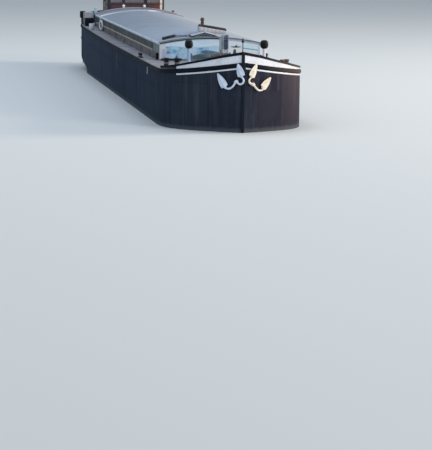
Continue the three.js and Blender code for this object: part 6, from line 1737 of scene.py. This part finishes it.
def build_wheelhouse():
    inX = WH_HALF - WH_T
    for n, m in (("wheelhouse_front", WOOD_X), ("wheelhouse_aft", WOOD_X), ("wheelhouse_starboard", WOOD), ("wheelhouse_port", WOOD)):
        dress(n, m)
    front = [(-1.20, -0.61), (-0.53, 0.40), (0.53, 1.20)]
    aft = [(-1.22, -0.43), (-0.37, 0.37), (0.43, 1.22)]
    g = Geo()   # upright grain
    h = Geo()   # level grain
    gl = Geo()  # panes
    db = deck_z(33.3)
    for wall, s_out, d, rows, sill, names in (("front", WH_F, -1, front, SILL, 0), ("aft", WH_A, 1, aft, SILL + 0.06, 0)):
        o = lambda a: s_out + d * a
        for side in (-1, 1):  # corner posts
            w = 0.075 if wall == "aft" else 0.081 if side > 0 else 0.15
            bx(g, side * (WH_HALF - w), side * (WH_HALF + 0.004), o(0.014), o(-0.01), db - 0.02, WH_TOP - 0.002, 0.010, 1)
        if wall == "front":
            bx(g, 1.138, 1.2485, o(0.020), o(-0.008), db - 0.015, WH_TOP - 0.004, 0.006, 2)
        # skirting, middle rail, sill and head
        bx(h, -WH_HALF + 0.07, WH_HALF - 0.07, o(0.012), o(-0.01), db - 0.02, db + 0.14, 0.005)
        bx(h, -WH_HALF + 0.07, WH_HALF - 0.07, o(0.010), o(-0.01), 3.36, 3.43, 0.005)
        bx(h, -WH_HALF - 0.006, WH_HALF + 0.006, o(0.034), o(-0.008), sill - 0.050, sill - 0.018, 0.008)
        bx(h, -WH_HALF + 0.07, WH_HALF - 0.07, o(0.010), o(-0.01), HEAD + 0.035, WH_TOP - 0.004, 0.004)
        # posts between the bays run from skirting to head, panels with raised fields fill each bay
        edges = [(-WH_HALF + 0.075, rows[0][0])] + [(a[1], b[0]) for a, b in zip(rows, rows[1:])] + [(rows[2][1], WH_HALF - 0.075)]
        for a, b in edges[1:3]:
            bx(g, a - 0.012, b + 0.012, o(0.018), o(-0.01), db + 0.14, HEAD + 0.036, 0.006, 1)
        for x0, x1 in rows:
            n = 2 if x1 - x0 > 0.8 else 1
            for k in range(n):
                u0 = x0 + (x1 - x0) * k / n + 0.035
                u1 = x0 + (x1 - x0) * (k + 1) / n - 0.035
                for z0, z1 in ((db + 0.17, 3.335), (3.455, sill - 0.075)):
                    frame_x(g, u0 - 0.014, u1 + 0.014, z0 - 0.014, z1 + 0.014, 0.016, o(0.008), o(-0.005), 0.003)
                    bx(g, u0 + 0.02, u1 - 0.02, o(0.007), o(-0.005), z0 + 0.02, z1 - 0.02, 0.006)
            # window casing, inner bead and pane
            frame_x(g, x0 - 0.022, x1 + 0.022, sill - 0.016, HEAD + 0.030, 0.036, o(0.016), o(-0.004), 0.005)
            frame_x(h, x0 + 0.002, x1 - 0.002, sill + 0.002, HEAD - 0.002, 0.020, o(-0.012), o(-0.036), 0.003)
            bx(gl, x0 + 0.008, x1 - 0.008, o(-0.020), o(-0.025), sill + 0.008, HEAD - 0.008, 0.001)
    for side in (-1, 1):
        X = lambda a: side * (WH_HALF + a)
        s0, s1 = WH_F + WH_T, WH_A - WH_T
        bx(h, X(0.010), X(-0.01), s0 + 0.02, DOOR["s0"] - 0.005, deck_z(33.9) - 0.02, 3.02, 0.005)
        bx(h, X(0.010), X(-0.01), s0 + 0.02, DOOR["s0"] - 0.005, 3.36, 3.43, 0.005)
        bx(h, X(0.030), X(-0.008), s0 + 0.0, DOOR["s0"] - 0.03, SILL - 0.050, SILL - 0.018, 0.008)
        bx(h, X(0.010), X(-0.01), s0 + 0.02, s1 - 0.02, DOOR["z1"] + 0.022, WH_TOP - 0.004, 0.004)
        bx(h, X(0.010), X(-0.01), s0 + 0.02, DOOR["s0"] - 0.022, HEAD + 0.035, WH_TOP - 0.085, 0.004)
        for a in (s0 + 0.01, DOOR["s0"] - 0.092):
            bx(g, X(0.012), X(-0.01), a, a + 0.075, 3.02, HEAD + 0.036, 0.005)
        for z0, z1 in ((3.055, 3.335), (3.455, SILL - 0.075)):
            for k in (0, 1):
                u0 = s0 + 0.12 + k * 0.515
                frame_s(g, u0, u0 + 0.475, z0 - 0.014, z1 + 0.014, 0.016, X(0.008), X(-0.005), 0.003)
                bx(g, X(0.007), X(-0.005), u0 + 0.036, u0 + 0.439, z0 + 0.02, z1 - 0.02, 0.006)
        frame_s(g, 33.42 - 0.022, 34.38 + 0.022, SILL - 0.016, HEAD + 0.030, 0.036, X(0.016), X(-0.004), 0.005)
        frame_s(h, 33.422, 34.378, SILL + 0.002, HEAD - 0.002, 0.020, X(-0.012), X(-0.036), 0.003)
        bx(gl, X(-0.020), X(-0.025), 33.428, 34.372, SILL + 0.008, HEAD - 0.008, 0.001)
        # door casing: aft jamb, head and a brass threshold
        bx(g, X(0.016), X(-0.002), DOOR["s1"] + 0.002, DOOR["s1"] + 0.058, deck_z(35.3) + 0.0, DOOR["z1"] + 0.022, 0.005)
        bx(g, X(0.016), X(-0.002), DOOR["s0"] - 0.020, DOOR["s0"] - 0.002, 2.86, DOOR["z1"] + 0.022, 0.004)
        bx(h, X(0.018), X(-0.002), DOOR["s0"] - 0.0205, DOOR["s1"] + 0.0585, DOOR["z1"] + 0.003, DOOR["z1"] + 0.040, 0.005)
        bx(g, X(0.010), X(-0.01), DOOR["s1"] + 0.06, s1 - 0.005, deck_z(35.4) - 0.01, WH_TOP - 0.085, 0.004)
    piece("wheelhouse_stiles", g, [WOOD, DARK_POST, CREAM])
    piece("wheelhouse_rails", h, [WOOD_X])
    piece("wheelhouse_panes", gl, [GLASS])
    # metal trims: thresholds and a grab rail along each side
    b = Geo()
    for side in (-1, 1):
        bx(b, side * (WH_HALF + 0.018), side * (WH_HALF - 0.052), DOOR["s0"] + 0.002, DOOR["s1"] - 0.002, DOOR["z0"] - 0.012, DOOR["z0"] - 0.001, 0.003)
        x = side * (WH_HALF + 0.052)
        b.add(pipe([P3(side * (WH_HALF + 0.006), 33.50, 3.735), P3(x - side * 0.008, 33.50, 3.735), P3(x, 33.515, 3.735)] + [P3(x, s, 3.735) for s in np.linspace(33.56, 34.30, 6)] +
                   [P3(x, 34.345, 3.735), P3(x - side * 0.008, 34.36, 3.735), P3(side * (WH_HALF + 0.006), 34.36, 3.735)], 0.012, 12))
        for s in (33.50, 34.36):
            b.add(lathe([(0, 0), (0.026, 0), (0.024, 0.006), (0.014, 0.009), (0, 0.009)], 20), 0, along((side * (WH_HALF + 0.001), Y(s), 3.735), (side, 0, 0)))
    piece("wheelhouse_brass", b, [BRASS])
    # roof: cambered, rounded fascia, batten and rain strips
    r = Geo()
    half = WH_HALF + 0.12
    s0, s1 = WH_F - 0.16, WH_A + 0.14
    n = 30
    O, I = [], []
    for s, e in ((s0, 0.022), (s0 + 0.008, 0.010), (s0 + 0.022, 0.0), (s1 - 0.022, 0.0), (s1 - 0.008, 0.010), (s1, 0.022)):
        hh = half - e * 0.6
        zt = lambda x: WH_TOP + 0.075 + 0.11 * (1 - (x / half) ** 2) - e
        o = [(hh, WH_TOP + 0.0103), (hh, WH_TOP + 0.055), (hh - 0.008, WH_TOP + 0.068)] + [((hh - 0.02) * (1 - 2 * k / n), zt((hh - 0.02) * (1 - 2 * k / n))) for k in range(n + 1)]
        o += [(-a, b2) for a, b2 in (o[2], o[1], o[0])]
        O.append([(a, Y(s), b2) for a, b2 in o])
        i = [(hh - 0.02, WH_TOP + 0.0103), (hh - 0.02, WH_TOP + 0.006), (hh - 0.02, WH_TOP + 0.004)] + [((hh - 0.03) * (1 - 2 * k / n), WH_TOP + 0.0015) for k in range(n + 1)]
        i += [(-a, b2) for a, b2 in (i[2], i[1], i[0])]
        I.append([(a, Y(min(max(s, s0 + 0.02), s1 - 0.02)), b2) for a, b2 in i])
    r.add(shell(O, I), 0)
    piece("wheelhouse_roof_cambered", r, [ROOF], replaces=["wheelhouse_roof"], smooth=35)
    f = Geo()
    for side in (-1, 1):
        bx(f, side * (half - 0.001), side * (half + 0.010), s0 + 0.01, s1 - 0.01, WH_TOP + 0.012, WH_TOP + 0.045, 0.004)
        bx(f, side * (half - 0.10), side * (half - 0.115), s0 + 0.05, s1 - 0.05, WH_TOP + 0.088, WH_TOP + 0.118, 0.005)
    bx(f, -half + 0.0, half - 0.0, s0 - 0.010, s0 + 0.001, WH_TOP + 0.0115, WH_TOP + 0.0445, 0.004)
    bx(f, -half + 0.0, half - 0.0, s1 - 0.001, s1 + 0.010, WH_TOP + 0.0115, WH_TOP + 0.0445, 0.004)
    for x in (-0.55, 0.55):  # lifting lugs where the two halves are bolted
        for s in (33.6, 35.2):
            f.add(lathe([(0, -0.01), (0.030, -0.01), (0.030, 0.004), (0.012, 0.008), (0.012, 0.014), (0, 0.014)], 20), 0, Matrix.Translation((x, Y(s), WH_TOP + 0.075 + 0.11 * (1 - (x / half) ** 2) - 0.001)))
    piece("wheelhouse_roof_trim", f, [WOOD_Y])


def build_doors():
    for side, nm in ((-1, "starboard"), (1, "port")):
        body = f"wheelhouse_door_{nm}"
        dress(body, WOOD)
        X = lambda a: side * (WH_HALF + a)
        s0, s1, z0, z1 = DOOR["s0"] + 0.008, DOOR["s1"] - 0.008, DOOR["z0"] + 0.008, DOOR["z1"] - 0.008
        g = Geo()
        for a0, a1 in ((0.007, -0.003), (-0.037, -0.047)):  # outside and inside faces
            frame_s(g, s0 + 0.004, s1 - 0.004, z0 + 0.004, z1 - 0.004, 0.080, X(a0), X(a1), 0.004)
            bx(g, X(a0) - side * 0.0006, X(a1) + side * 0.0006, s0 + 0.08, s1 - 0.08, 3.30, 3.38, 0.004)
            bx(g, X(a0) - side * 0.0006, X(a1) + side * 0.0006, s0 + 0.08, s1 - 0.08, SILL - 0.075, SILL - 0.006, 0.004)
            for za, zb in ((z0 + 0.115, 3.27), (3.41, SILL - 0.105)):
                bx(g, X(a0) - side * 0.002, X(a1) + side * 0.002, s0 + 0.115, s1 - 0.115, za, zb, 0.006)
        frame_s(g, s0 + 0.078, s1 - 0.078, SILL - 0.012, HEAD - 0.008, 0.020, X(0.0085), X(-0.0485), 0.003)
        piece(f"door_{nm}_joinery", g, [WOOD], body=body)
        p = Geo()
        bx(p, X(-0.017), X(-0.022), s0 + 0.094, s1 - 0.094, SILL + 0.004, HEAD - 0.024, 0.001)
        piece(f"door_{nm}_pane", p, [GLASS], body=body)
        b = Geo()
        for a, d in ((0.007, 1), (-0.047, -1)):
            x = X(a)
            b.add(lathe([(0, -0.001), (0.024, -0.001), (0.024, 0.004), (0.014, 0.007), (0.010, 0.03), (0.010, 0.040), (0, 0.040)], 20), 0, along((x, Y(s1 - 0.05), 3.82), (side * d, 0, 0)))
            b.add(pipe([(x + side * d * 0.034, Y(s1 - 0.05), 3.82), (x + side * d * 0.034, Y(s1 - 0.09), 3.818), (x + side * d * 0.034, Y(s1 - 0.15), 3.812)], [0.009, 0.008, 0.0065], 12))
            bx(b, x, x + side * d * 0.003, s1 - 0.068, s1 - 0.032, 3.72, 3.90, 0.001)
        bx(b, X(0.0065), X(0.009), s0 + 0.10, s1 - 0.10, z0 + 0.012, z0 + 0.10, 0.001)
        for z in (3.05, 3.78, 4.52):  # hinge knuckles on the forward edge
            b.add(rod((X(0.0), Y(s0), z - 0.045), (X(0.0), Y(s0), z + 0.045), 0.0062, 0.0062, 12, 0.002))
            bx(b, X(0.0068), X(0.0088), s0 + 0.022, s0 + 0.060, z - 0.04, z + 0.04, 0.001)
        piece(f"door_{nm}_fittings", b, [BRASS], body=body)


def build_cabin_inside():
    # floor boards over the solid floor, console face, wheel, helm seat
    m = timber("floor_boards", "#5a3626", "#2b170f", rough=0.45, axis=1)
    dress("wheelhouse_floor", m)
    g = Geo()
    inX = WH_HALF - WH_T
    n = 17
    for k in range(n):
        x0 = -inX + 0.004 + (2 * inX - 0.008) * k / n
        bx(g, x0 + 0.0015, x0 + (2 * inX - 0.008) / n - 0.0015, WH_F + WH_T + 0.004, WH_A - WH_T - 0.004, FLOOR_Z - 0.012, FLOOR_Z + 0.004, 0.002)
    piece("floor_boards_laid", g, [m])
    dress("steering_console", DARK_WOOD)
    c = Geo()
    s0 = 33.33
    bx(c, -0.57, 0.57, s0 + 0.002, 33.76, 3.808, 3.836, 0.008)           # worktop
    for x0, x1 in ((-0.54, -0.19), (-0.175, 0.175), (0.19, 0.54)):        # doors of the console
        frame_x(c, x0, x1, 2.93, 3.58, 0.045, 33.857, 33.872, 0.004)
        bx(c, x0 + 0.055, x1 - 0.055, 33.857, 33.868, 2.985, 3.525, 0.006)
    for x in (-0.215, 0.215):
        c.add(lathe([(0, -0.002), (0.008, -0.002), (0.007, 0.010), (0.013, 0.018), (0.011, 0.025), (0, 0.027)], 16), 1, along(P3(x, 33.872, 3.30), (0, 1, 0)))
    # sloping dash with four dials, a compass bowl and two levers
    a = math.atan2(0.12, 0.20)
    M = Matrix.Translation(P3(0, 33.86, 3.62)) @ Matrix(((1, 0, 0, 0), (0, -math.sin(math.atan2(0.12, 0.20)), math.cos(math.atan2(0.12, 0.20)), 0), (0, math.cos(math.atan2(0.12, 0.20)), math.sin(math.atan2(0.12, 0.20)), 0), (0, 0, 0, 1)))
    M = Matrix.Translation(P3(0, 33.86, 3.62)) @ Matrix(((1, 0, 0, 0), (0, -0.514, 0.857, 0), (0, 0.857, 0.514, 0), (0, 0, 0, 1)))
    c.add(box((-0.50, 0.015, -0.004), (0.50, 0.215, 0.006), 0.004), 2, M)
    for x in (-0.40, -0.27, 0.27, 0.40):
        c.add(lathe([(0, 0.004), (0.050, 0.004), (0.050, 0.016), (0.045, 0.021), (0.040, 0.018), (0.039, 0.011), (0, 0.011)], 28), 1, M @ Matrix.Translation((x, 0.115, 0)))
        c.add(lathe([(0, 0.010), (0.0385, 0.010), (0.0385, 0.0125), (0, 0.0125)], 28), 3, M @ Matrix.Translation((x, 0.115, 0)))
        t = 0.8 + x * 3
        c.add(box((-0.0016, -0.006, 0.012), (0.0016, 0.030, 0.0145), 0.0004), 2, M @ Matrix.Translation((x, 0.115, 0)) @ Matrix.Rotation(t, 4, "Z"))
    turned(c, 0, 33.56, 3.836, [(0, 0), (0.085, 0), (0.085, 0.012), (0.060, 0.02), (0.055, 0.05), (0.070, 0.07), (0.073, 0.085), (0.060, 0.115), (0.035, 0.135), (0, 0.142)], 28, 1)
    for x in (0.44, 0.50):
        c.add(rod(P3(x, 33.64, 3.83), P3(x, 33.68, 4.00), 0.007, 0.006, 10), 1)
        turned(c, x, 33.682, 4.005, [(0, -0.018), (0.014, -0.014), (0.018, 0), (0.014, 0.014), (0, 0.018)], 16, 2)
    bx(c, 0.40, 0.54, 33.60, 33.72, 3.83, 3.85, 0.005, 1)
    piece("console_fitted", c, [DARK_WOOD, BRASS, BLACK, paint("dial_face", "#d8d6c8", 0.4)])
    # steering wheel on its body, axis along the boat
    w = Geo()
    ctr = P3(0, 34.02, 3.56)
    R = Matrix.Translation(ctr) @ Matrix.Rotation(math.pi / 2, 4, "X")
    ring_torus(w, ctr, (0, 1, 0), 0.430, 0.0235, 72, 14, 0, 1.15)
    ring_torus(w, P3(0, 34.02 + 0.020, 3.56), (0, 1, 0), 0.430, 0.006, 72, 8, 1)
    w.add(lathe([(0, -0.075), (0.026, -0.075), (0.026, -0.034), (0.066, -0.030), (0.075, -0.022), (0.075, 0.022), (0.066, 0.030), (0.040, 0.034), (0.030, 0.044), (0.012, 0.050), (0, 0.050)], 32), 1, along(ctr, (0, 1, 0)))
    w.add(rod(P3(0, 33.90, 3.56), P3(0, 34.02, 3.56), 0.026, 0.026, 20), 1)
    prof = [(0, 0.05), (0.019, 0.05), (0.019, 0.085), (0.013, 0.10), (0.012, 0.15), (0.017, 0.20), (0.019, 0.24), (0.015, 0.29), (0.012, 0.34), (0.016, 0.385), (0.018, 0.40), (0.018, 0.452), (0.013, 0.462),
            (0.011, 0.475), (0.015, 0.51), (0.0155, 0.53), (0.012, 0.552), (0.006, 0.559), (0, 0.560)]
    for k in range(8):
        t = k * math.pi / 4
        w.add(lathe(prof, 14), 0, along(ctr, (math.sin(t), 0, math.cos(t))))
    piece("steering_wheel_turned", w, [DARK_WOOD, BRASS], body="steering_wheel", replaces=["steering_wheel"], smooth=40)
    # bench across the after end of the cabin, with a buttoned leather pad
    b = Geo()
    bx(b, -0.62, 0.62, 35.10, 35.49, FLOOR_Z + 0.004, 3.28, 0.008)
    bx(b, -0.64, 0.64, 35.08, 35.50, 3.28, 3.31, 0.008)
    frame_x(b, -0.60, -0.02, 2.93, 3.24, 0.04, 35.088, 35.10, 0.004)
    frame_x(b, 0.02, 0.60, 2.93, 3.24, 0.04, 35.088, 35.10, 0.004)
    piece("helm_bench", b, [DARK_WOOD])
    nu, nv = 44, 16
    O, I = [], []
    for i in range(nu + 1):
        ro, ri = [], []
        for j in range(nv + 1):
            u, v = 2 * i / nu - 1, 2 * j / nv - 1
            x, y = 0.615 * u, Y(35.29) + 0.195 * v
            e = (1 - abs(u) ** 8) * (1 - abs(v) ** 6)
            seam = 0.012 * math.exp(-((abs(u) - 0.34) / 0.02) ** 2)
            ro.append((x * (0.985 + 0.015 * e), y, 3.312 + 0.012 + 0.062 * e ** 0.6 - seam * e))
            ri.append((x, y, 3.312))
        O.append(ro)
        I.append(ri)
    pad = Geo()
    pad.add(shell(O, I))
    piece("helm_pad", pad, [canvas("pad_leather", "#3a2a22", "#241a15")], smooth=70)


# ------------------------------------------------------------------ stern gear


def build_stern_gear():
    # propeller: four cambered blades on a boss, on its shaft
    g = Geo()
    ctr = P3(0, 35.93, 0.46)
    g.add(lathe([(0, -0.55), (0.040, -0.55), (0.040, -0.085), (0.060, -0.082), (0.074, -0.075), (0.080, -0.02), (0.080, 0.045), (0.070, 0.075), (0.050, 0.10), (0.036, 0.118), (0.018, 0.131), (0, 0.135)], 32), 0, along(ctr, (0, 1, 0)))
    for k in range(4):
        a0 = k * math.pi / 2 + 0.4
        rings = []
        for r in np.linspace(0.062, 0.374, 17):
            q = (r - 0.062) / (0.374 - 0.062)
            chord = 0.125 + 0.16 * math.sin(math.pi * min(1, q * 0.96 + 0.04)) ** 0.8 if q < 0.97 else 0.09
            chord *= (1 - max(0, (q - 0.72) / 0.28) ** 2.2 * 0.72)
            pitch = math.atan2(0.42, 2 * math.pi * max(r, 0.10))
            th = 0.020 * (1 - q) + 0.005
            row = []
            for j in range(20):
                b = 2 * math.pi * j / 20
                u = 0.5 * math.cos(b)
                w = 0.5 * math.sin(b) * th * (1 - 0.35 * u)
                arc = u * chord
                t = a0 + (arc * math.cos(pitch)) / r + 0.10 * q
                axial = arc * math.sin(pitch) + w * math.cos(pitch) - 0.02 * q * q
                row.append((ctr.x + r * math.cos(t) - w * math.sin(pitch) * math.sin(t), ctr.y + axial, ctr.z + r * math.sin(t) + w * math.sin(pitch) * math.cos(t)))
            rings.append(row)
        g.add(loft(rings))
    piece("propeller_cast", g, [BRONZE], body="propeller", replaces=["propeller"], smooth=50)
    # gland and stern bracket on the hull
    h = Geo()
    h.add(lathe([(0.046, 0.0), (0.085, 0.0), (0.085, 0.022), (0.070, 0.030), (0.060, 0.055), (0.046, 0.058), (0.046, 0.0)], 28), 0, along(P3(0, 35.452, 0.46), (0, 1, 0)))
    for k in range(6):
        t = k * math.pi / 3
        bolt(h, P3(0.072 * math.cos(t), 35.474, 0.46 + 0.072 * math.sin(t)), (0, 1, 0), 0.009, 0.009)
    piece("stern_gland", h, [BRONZE])
    # heel bar with bevelled edges and the pintle cup
    h = Geo()
    bx(h, -0.06, 0.06, 35.36, 36.86, 0.0, 0.06, 0.010)
    turned(h, 0, 36.75, 0.0, [(0, 0.055), (0.075, 0.055), (0.072, 0.074), (0.050, 0.082), (0, 0.082)], 24)
    for s in (36.60, 36.83):
        bolt(h, P3(0, s, 0.06), (0, 0, 1), 0.014, 0.010)
    piece("rudder_heel_forged", h, [BLACK], replaces=["rudder_heel"])
    # rudder: foiled blade with arms, anodes, stock and capped head
    g = Geo()
    prof = pchip([36.43, 36.455, 36.50, 36.60, 36.75, 37.00, 37.20, 37.50, 37.78], [0.004, 0.028, 0.045, 0.064, 0.075, 0.067, 0.055, 0.034, 0.010])
    ss = list(36.43 + (37.78 - 36.43) * (0.5 - 0.5 * np.cos(np.linspace(0, math.pi, 24))))
    rings = []
    for z, k in ((0.085, 0.90), (0.092, 0.97), (0.10, 1.0), (0.46, 1.0), (0.83, 1.0), (0.838, 0.97), (0.845, 0.90)):
        o = [(float(prof(s)) * k, Y(s if 0 < i < 23 else s), z) for i, s in enumerate(ss)]
        rings.append(o + [(-x, y, zz) for x, y, zz in reversed(o)])
    g.add(loft(rings))
    for z in (0.24, 0.46, 0.68):
        rings = []
        for s in np.linspace(36.62, 37.62, 12):
            x = float(prof(s)) + 0.010
            rings.append([(x, Y(s), z - 0.022), (x, Y(s), z + 0.022), (-x, Y(s), z + 0.022), (-x, Y(s), z - 0.022)])
        g.add(loft(rings))
    for side in (-1, 1):
        for z in (0.35, 0.57):
            x = float(prof(37.05))
            g.add(prism([(Y(36.93), z - 0.03), (Y(37.17), z - 0.03), (Y(37.17), z + 0.03), (Y(36.93), z + 0.03)], -0.014, 0.014, Matrix(((0, 0, 1, side * (x + 0.004)), (1, 0, 0, 0), (0, 1, 0, 0), (0, 0, 0, 1))), 0.008), 1)
    turned(g, 0, 36.75, 0, [(0, 0.075), (0.050, 0.075), (0.050, 0.90), (0.062, 0.92), (0.062, 0.98), (0.050, 1.0), (0.050, 2.90), (0.110, 2.93), (0.110, 2.945), (0.102, 2.955), (0.102, 3.125), (0.110, 3.135),
                            (0.110, 3.143), (0.100, 3.150), (0.052, 3.152), (0.050, 3.172), (0.044, 3.180), (0, 3.180)], 32)
    for k in range(6):
        t = k * math.pi / 3
        bolt(g, P3(0.080 * math.cos(t), 36.75, 3.150) + Vector((0, 0.080 * math.sin(t), 0)), (0, 0, 1), 0.011, 0.010, 1)
    bx(g, -0.012, 0.012, 36.62, 36.70, 3.151, 3.163, 0.002, 1)
    piece("rudder_fabricated", g, [GREY, STEEL], body="rudder", replaces=["rudder"], smooth=35)
    # collar on the deck round the rudder head
    h = Geo()
    zb = deck_z(36.75)
    h.add(lathe([(0.114, zb - 0.02), (0.175, zb - 0.02), (0.175, zb + 0.010), (0.150, zb + 0.022), (0.128, zb + 0.040), (0.114, zb + 0.042), (0.114, zb - 0.02)], 32), 0, Matrix.Translation((0, Y(36.75), 0)))
    for k in range(8):
        t = k * math.pi / 4 + 0.2
        bolt(h, P3(0.162 * math.cos(t), 36.75, zb + 0.012) + Vector((0, 0.162 * math.sin(t), 0)), (0, 0, 1), 0.009, 0.008)
    piece("rudder_collar", h, [GREY])


def build_quarter():
    # locker on a black plinth; the black stands partly for painted shade under the raised locker
    g = Geo()
    bx(g, -2.405, -2.005, 33.235, 33.905, 2.82, 3.15, 0.008, 1)
    bx(g, -2.42, -1.99, 33.22, 33.92, 3.145, 3.395, 0.012, 0)
    bx(g, -2.42, -1.99, 33.22, 33.92, 3.385, 3.41, 0.010, 0)
    for x0, x1 in ((-2.405, -2.215), (-2.195, -2.005)):
        frame_x(g, x0, x1, 3.165, 3.37, 0.022, 33.212, 33.222, 0.003, 0)
        frame_x(g, x0, x1, 3.165, 3.37, 0.022, 33.918, 33.928, 0.003, 0)
    frame_s(g, 33.25, 33.56, 3.165, 3.37, 0.022, -2.428, -2.419, 0.003, 0)
    frame_s(g, 33.58, 33.89, 3.165, 3.37, 0.022, -2.428, -2.419, 0.003, 0)
    for s in (33.40, 33.74):
        bx(g, -2.432, -2.419, s - 0.014, s + 0.014, 3.35, 3.40, 0.003, 2)
    bx(g, -2.36, -2.04, 33.30, 33.84, deck_z(33.5) - 0.02, 2.825, 0.006, 1)
    piece("side_locker_fitted", g, [LILAC, BLACK, STEEL], replaces=["side_locker"])
    # square pillar with a cap, foot plate and lamp-bracket lugs
    g = Geo()
    zb = deck_z(33.35)
    bx(g, -1.935, -1.845, 33.305, 33.395, zb - 0.02, 3.30, 0.010, 2)
    bx(g, -1.962, -1.818, 33.285, 33.415, 3.285, 3.615, 0.014, 0)
    bx(g, -1.970, -1.810, 33.277, 33.423, 3.60, 3.630, 0.008, 0)
    bx(g, -1.925, -1.855, 33.315, 33.385, 3.625, 3.66, 0.008, 0)
    bx(g, -1.965, -1.815, 33.275, 33.425, zb - 0.01, zb + 0.012, 0.004, 1)
    for x in (-1.952, -1.828):
        for s in (33.288, 33.412):
            bolt(g, P3(x, s, zb + 0.012), (0, 0, 1), 0.009, 0.008, 1)
    piece("quarter_pillar_boxed", g, [LIGHT_BLUE, GREY, SLATE], replaces=["quarter_pillar"])
    # black box on a short grey post at the starboard quarter
    g = Geo()
    bx(g, -2.355, -2.285, 34.55, 34.67, deck_z(34.6) - 0.01, 3.104, 0.008, 1)
    bx(g, -2.51, -2.28, 34.46, 34.76, 3.102, 3.405, 0.014, 0)
    bx(g, -2.514, -2.276, 34.456, 34.764, 3.385, 3.42, 0.010, 0)
    frame_x(g, -2.49, -2.30, 3.13, 3.36, 0.020, 34.452, 34.462, 0.003, 0)
    frame_s(g, 34.49, 34.73, 3.13, 3.36, 0.020, -2.517, -2.508, 0.003, 0)
    bx(g, -2.385, -2.255, 34.52, 34.70, deck_z(34.6) - 0.01, deck_z(34.6) + 0.012, 0.004, 1)
    piece("quarter_box_lidded", g, [BLACK, SAGE], replaces=["quarter_box"])
    # small white things by the cabin's after end, starboard: a ring buoy in its bracket, a boarding box, a pail
    g = Geo()
    c = P3(-1.990, 29.5, 2.975)
    ca, sa = math.cos(0.26), math.sin(0.26)
    nrm, hor = Vector((-ca, -sa, 0)), Vector((-sa, ca, 0))
    ring_torus(g, c, nrm, 0.185, 0.050, 56, 16, 0, 0.85)
    for k in range(4):
        q = k * math.pi / 2 + 0.5
        p = c + hor * (0.185 * math.cos(q)) + Vector((0, 0, 0.185 * math.sin(q)))
        tang = -hor * math.sin(q) + Vector((0, 0, math.cos(q)))
        ring_torus(g, p, tang, 0.0485, 0.006, 24, 8, 1, 3.2)
    piece("ring_buoy", g, [WHITE, LILAC], smooth=60)
    g = Geo()
    for dy in (-0.09, 0.09):
        foot = c + hor * dy
        wall = Vector((-1.873, foot.y, 0))
        g.add(pipe([(wall.x, wall.y, c.z - 0.262), (foot.x, foot.y, c.z - 0.262), (foot.x + nrm.x * 0.058, foot.y + nrm.y * 0.058, c.z - 0.255), (foot.x + nrm.x * 0.062, foot.y + nrm.y * 0.062, c.z - 0.20)], 0.008, 8))
    g.add(pipe([(-1.873, c.y, c.z + 0.150), (c.x, c.y, c.z + 0.153), (c.x + nrm.x * 0.056, c.y + nrm.y * 0.056, c.z + 0.148)], 0.007, 8))
    piece("ring_buoy_bracket", g, [STEEL])
    g = Geo()
    bx(g, -1.905, -1.877, 30.35, 31.15, 3.02, 3.215, 0.008, 0)
    frame_s(g, 30.32, 31.18, 2.995, 3.225, 0.03, -1.910, -1.877, 0.004, 1)
    for s in (30.5, 30.75, 31.0):
        bx(g, -1.915, -1.90, s - 0.006, s + 0.006, 3.04, 3.195, 0.002, 2)
    piece("side_shutter", g, [WHITE, LILAC, STEEL])
    g = Geo()
    zb = deck_z(30.3)
    turned(g, -2.345, 30.3, zb, [(0, 0.003), (0.098, 0.003), (0.104, 0.010), (0.128, 0.270), (0.136, 0.276), (0.137, 0.288), (0.130, 0.292), (0.122, 0.272), (0.098, 0.030), (0, 0.026)], 36)
    g.add(pipe([P3(-2.345 + 0.134 * math.cos(t), 30.3, zb + 0.255 + 0.02 * math.sin(t)) + Vector((0, 0.10 * math.sin(t), 0)) for t in np.linspace(0, math.pi, 18)], 0.004, 8), 1)
    piece("deck_pail", g, [WHITE, STEEL], smooth=40)
    # flat rubbing board hung on the starboard side, with its toggle at the foot, and two thin chain plates farther aft
    g = Geo()
    bx(g, -2.520, -2.483, 6.39, 6.50, 2.29, 2.57, 0.012, 0)
    bx(g, -2.523, -2.483, 6.42, 6.47, 2.27, 2.50, 0.008, 0)
    g.add(lathe([(0, -0.017), (0.030, -0.014), (0.040, 0.0), (0.030, 0.014), (0, 0.017)], 24), 0, along(P3(-2.504, 6.445, 2.33), (-1, 0, 0)))
    for s in (17.4, 17.8):
        bx(g, -2.497, -2.483, s - 0.012, s + 0.012, 1.75, 2.50, 0.004, 1)
    piece("side_rubbing_board", g, [LIGHT_GREY, GREY])


build_hull_details()
for A in ANCHORS:
    build_anchor(A)
build_foredeck()
build_hatch("forepeak_hatch", 0, 5.55, 6.35, 0.42, 2.90, "forepeak_hatch_lid", GREEN_GREY)
build_hatch("engine_hatch", 0, 35.86, 36.42, 0.36, 3.02, "engine_hatch_lid", GREY)
build_bollards()
build_roofs()
build_coamings()
build_front_wall()
build_hatch_house()
build_roof_items()
build_wheelhouse()
build_doors()
build_cabin_inside()
build_stern_gear()
build_quarter()
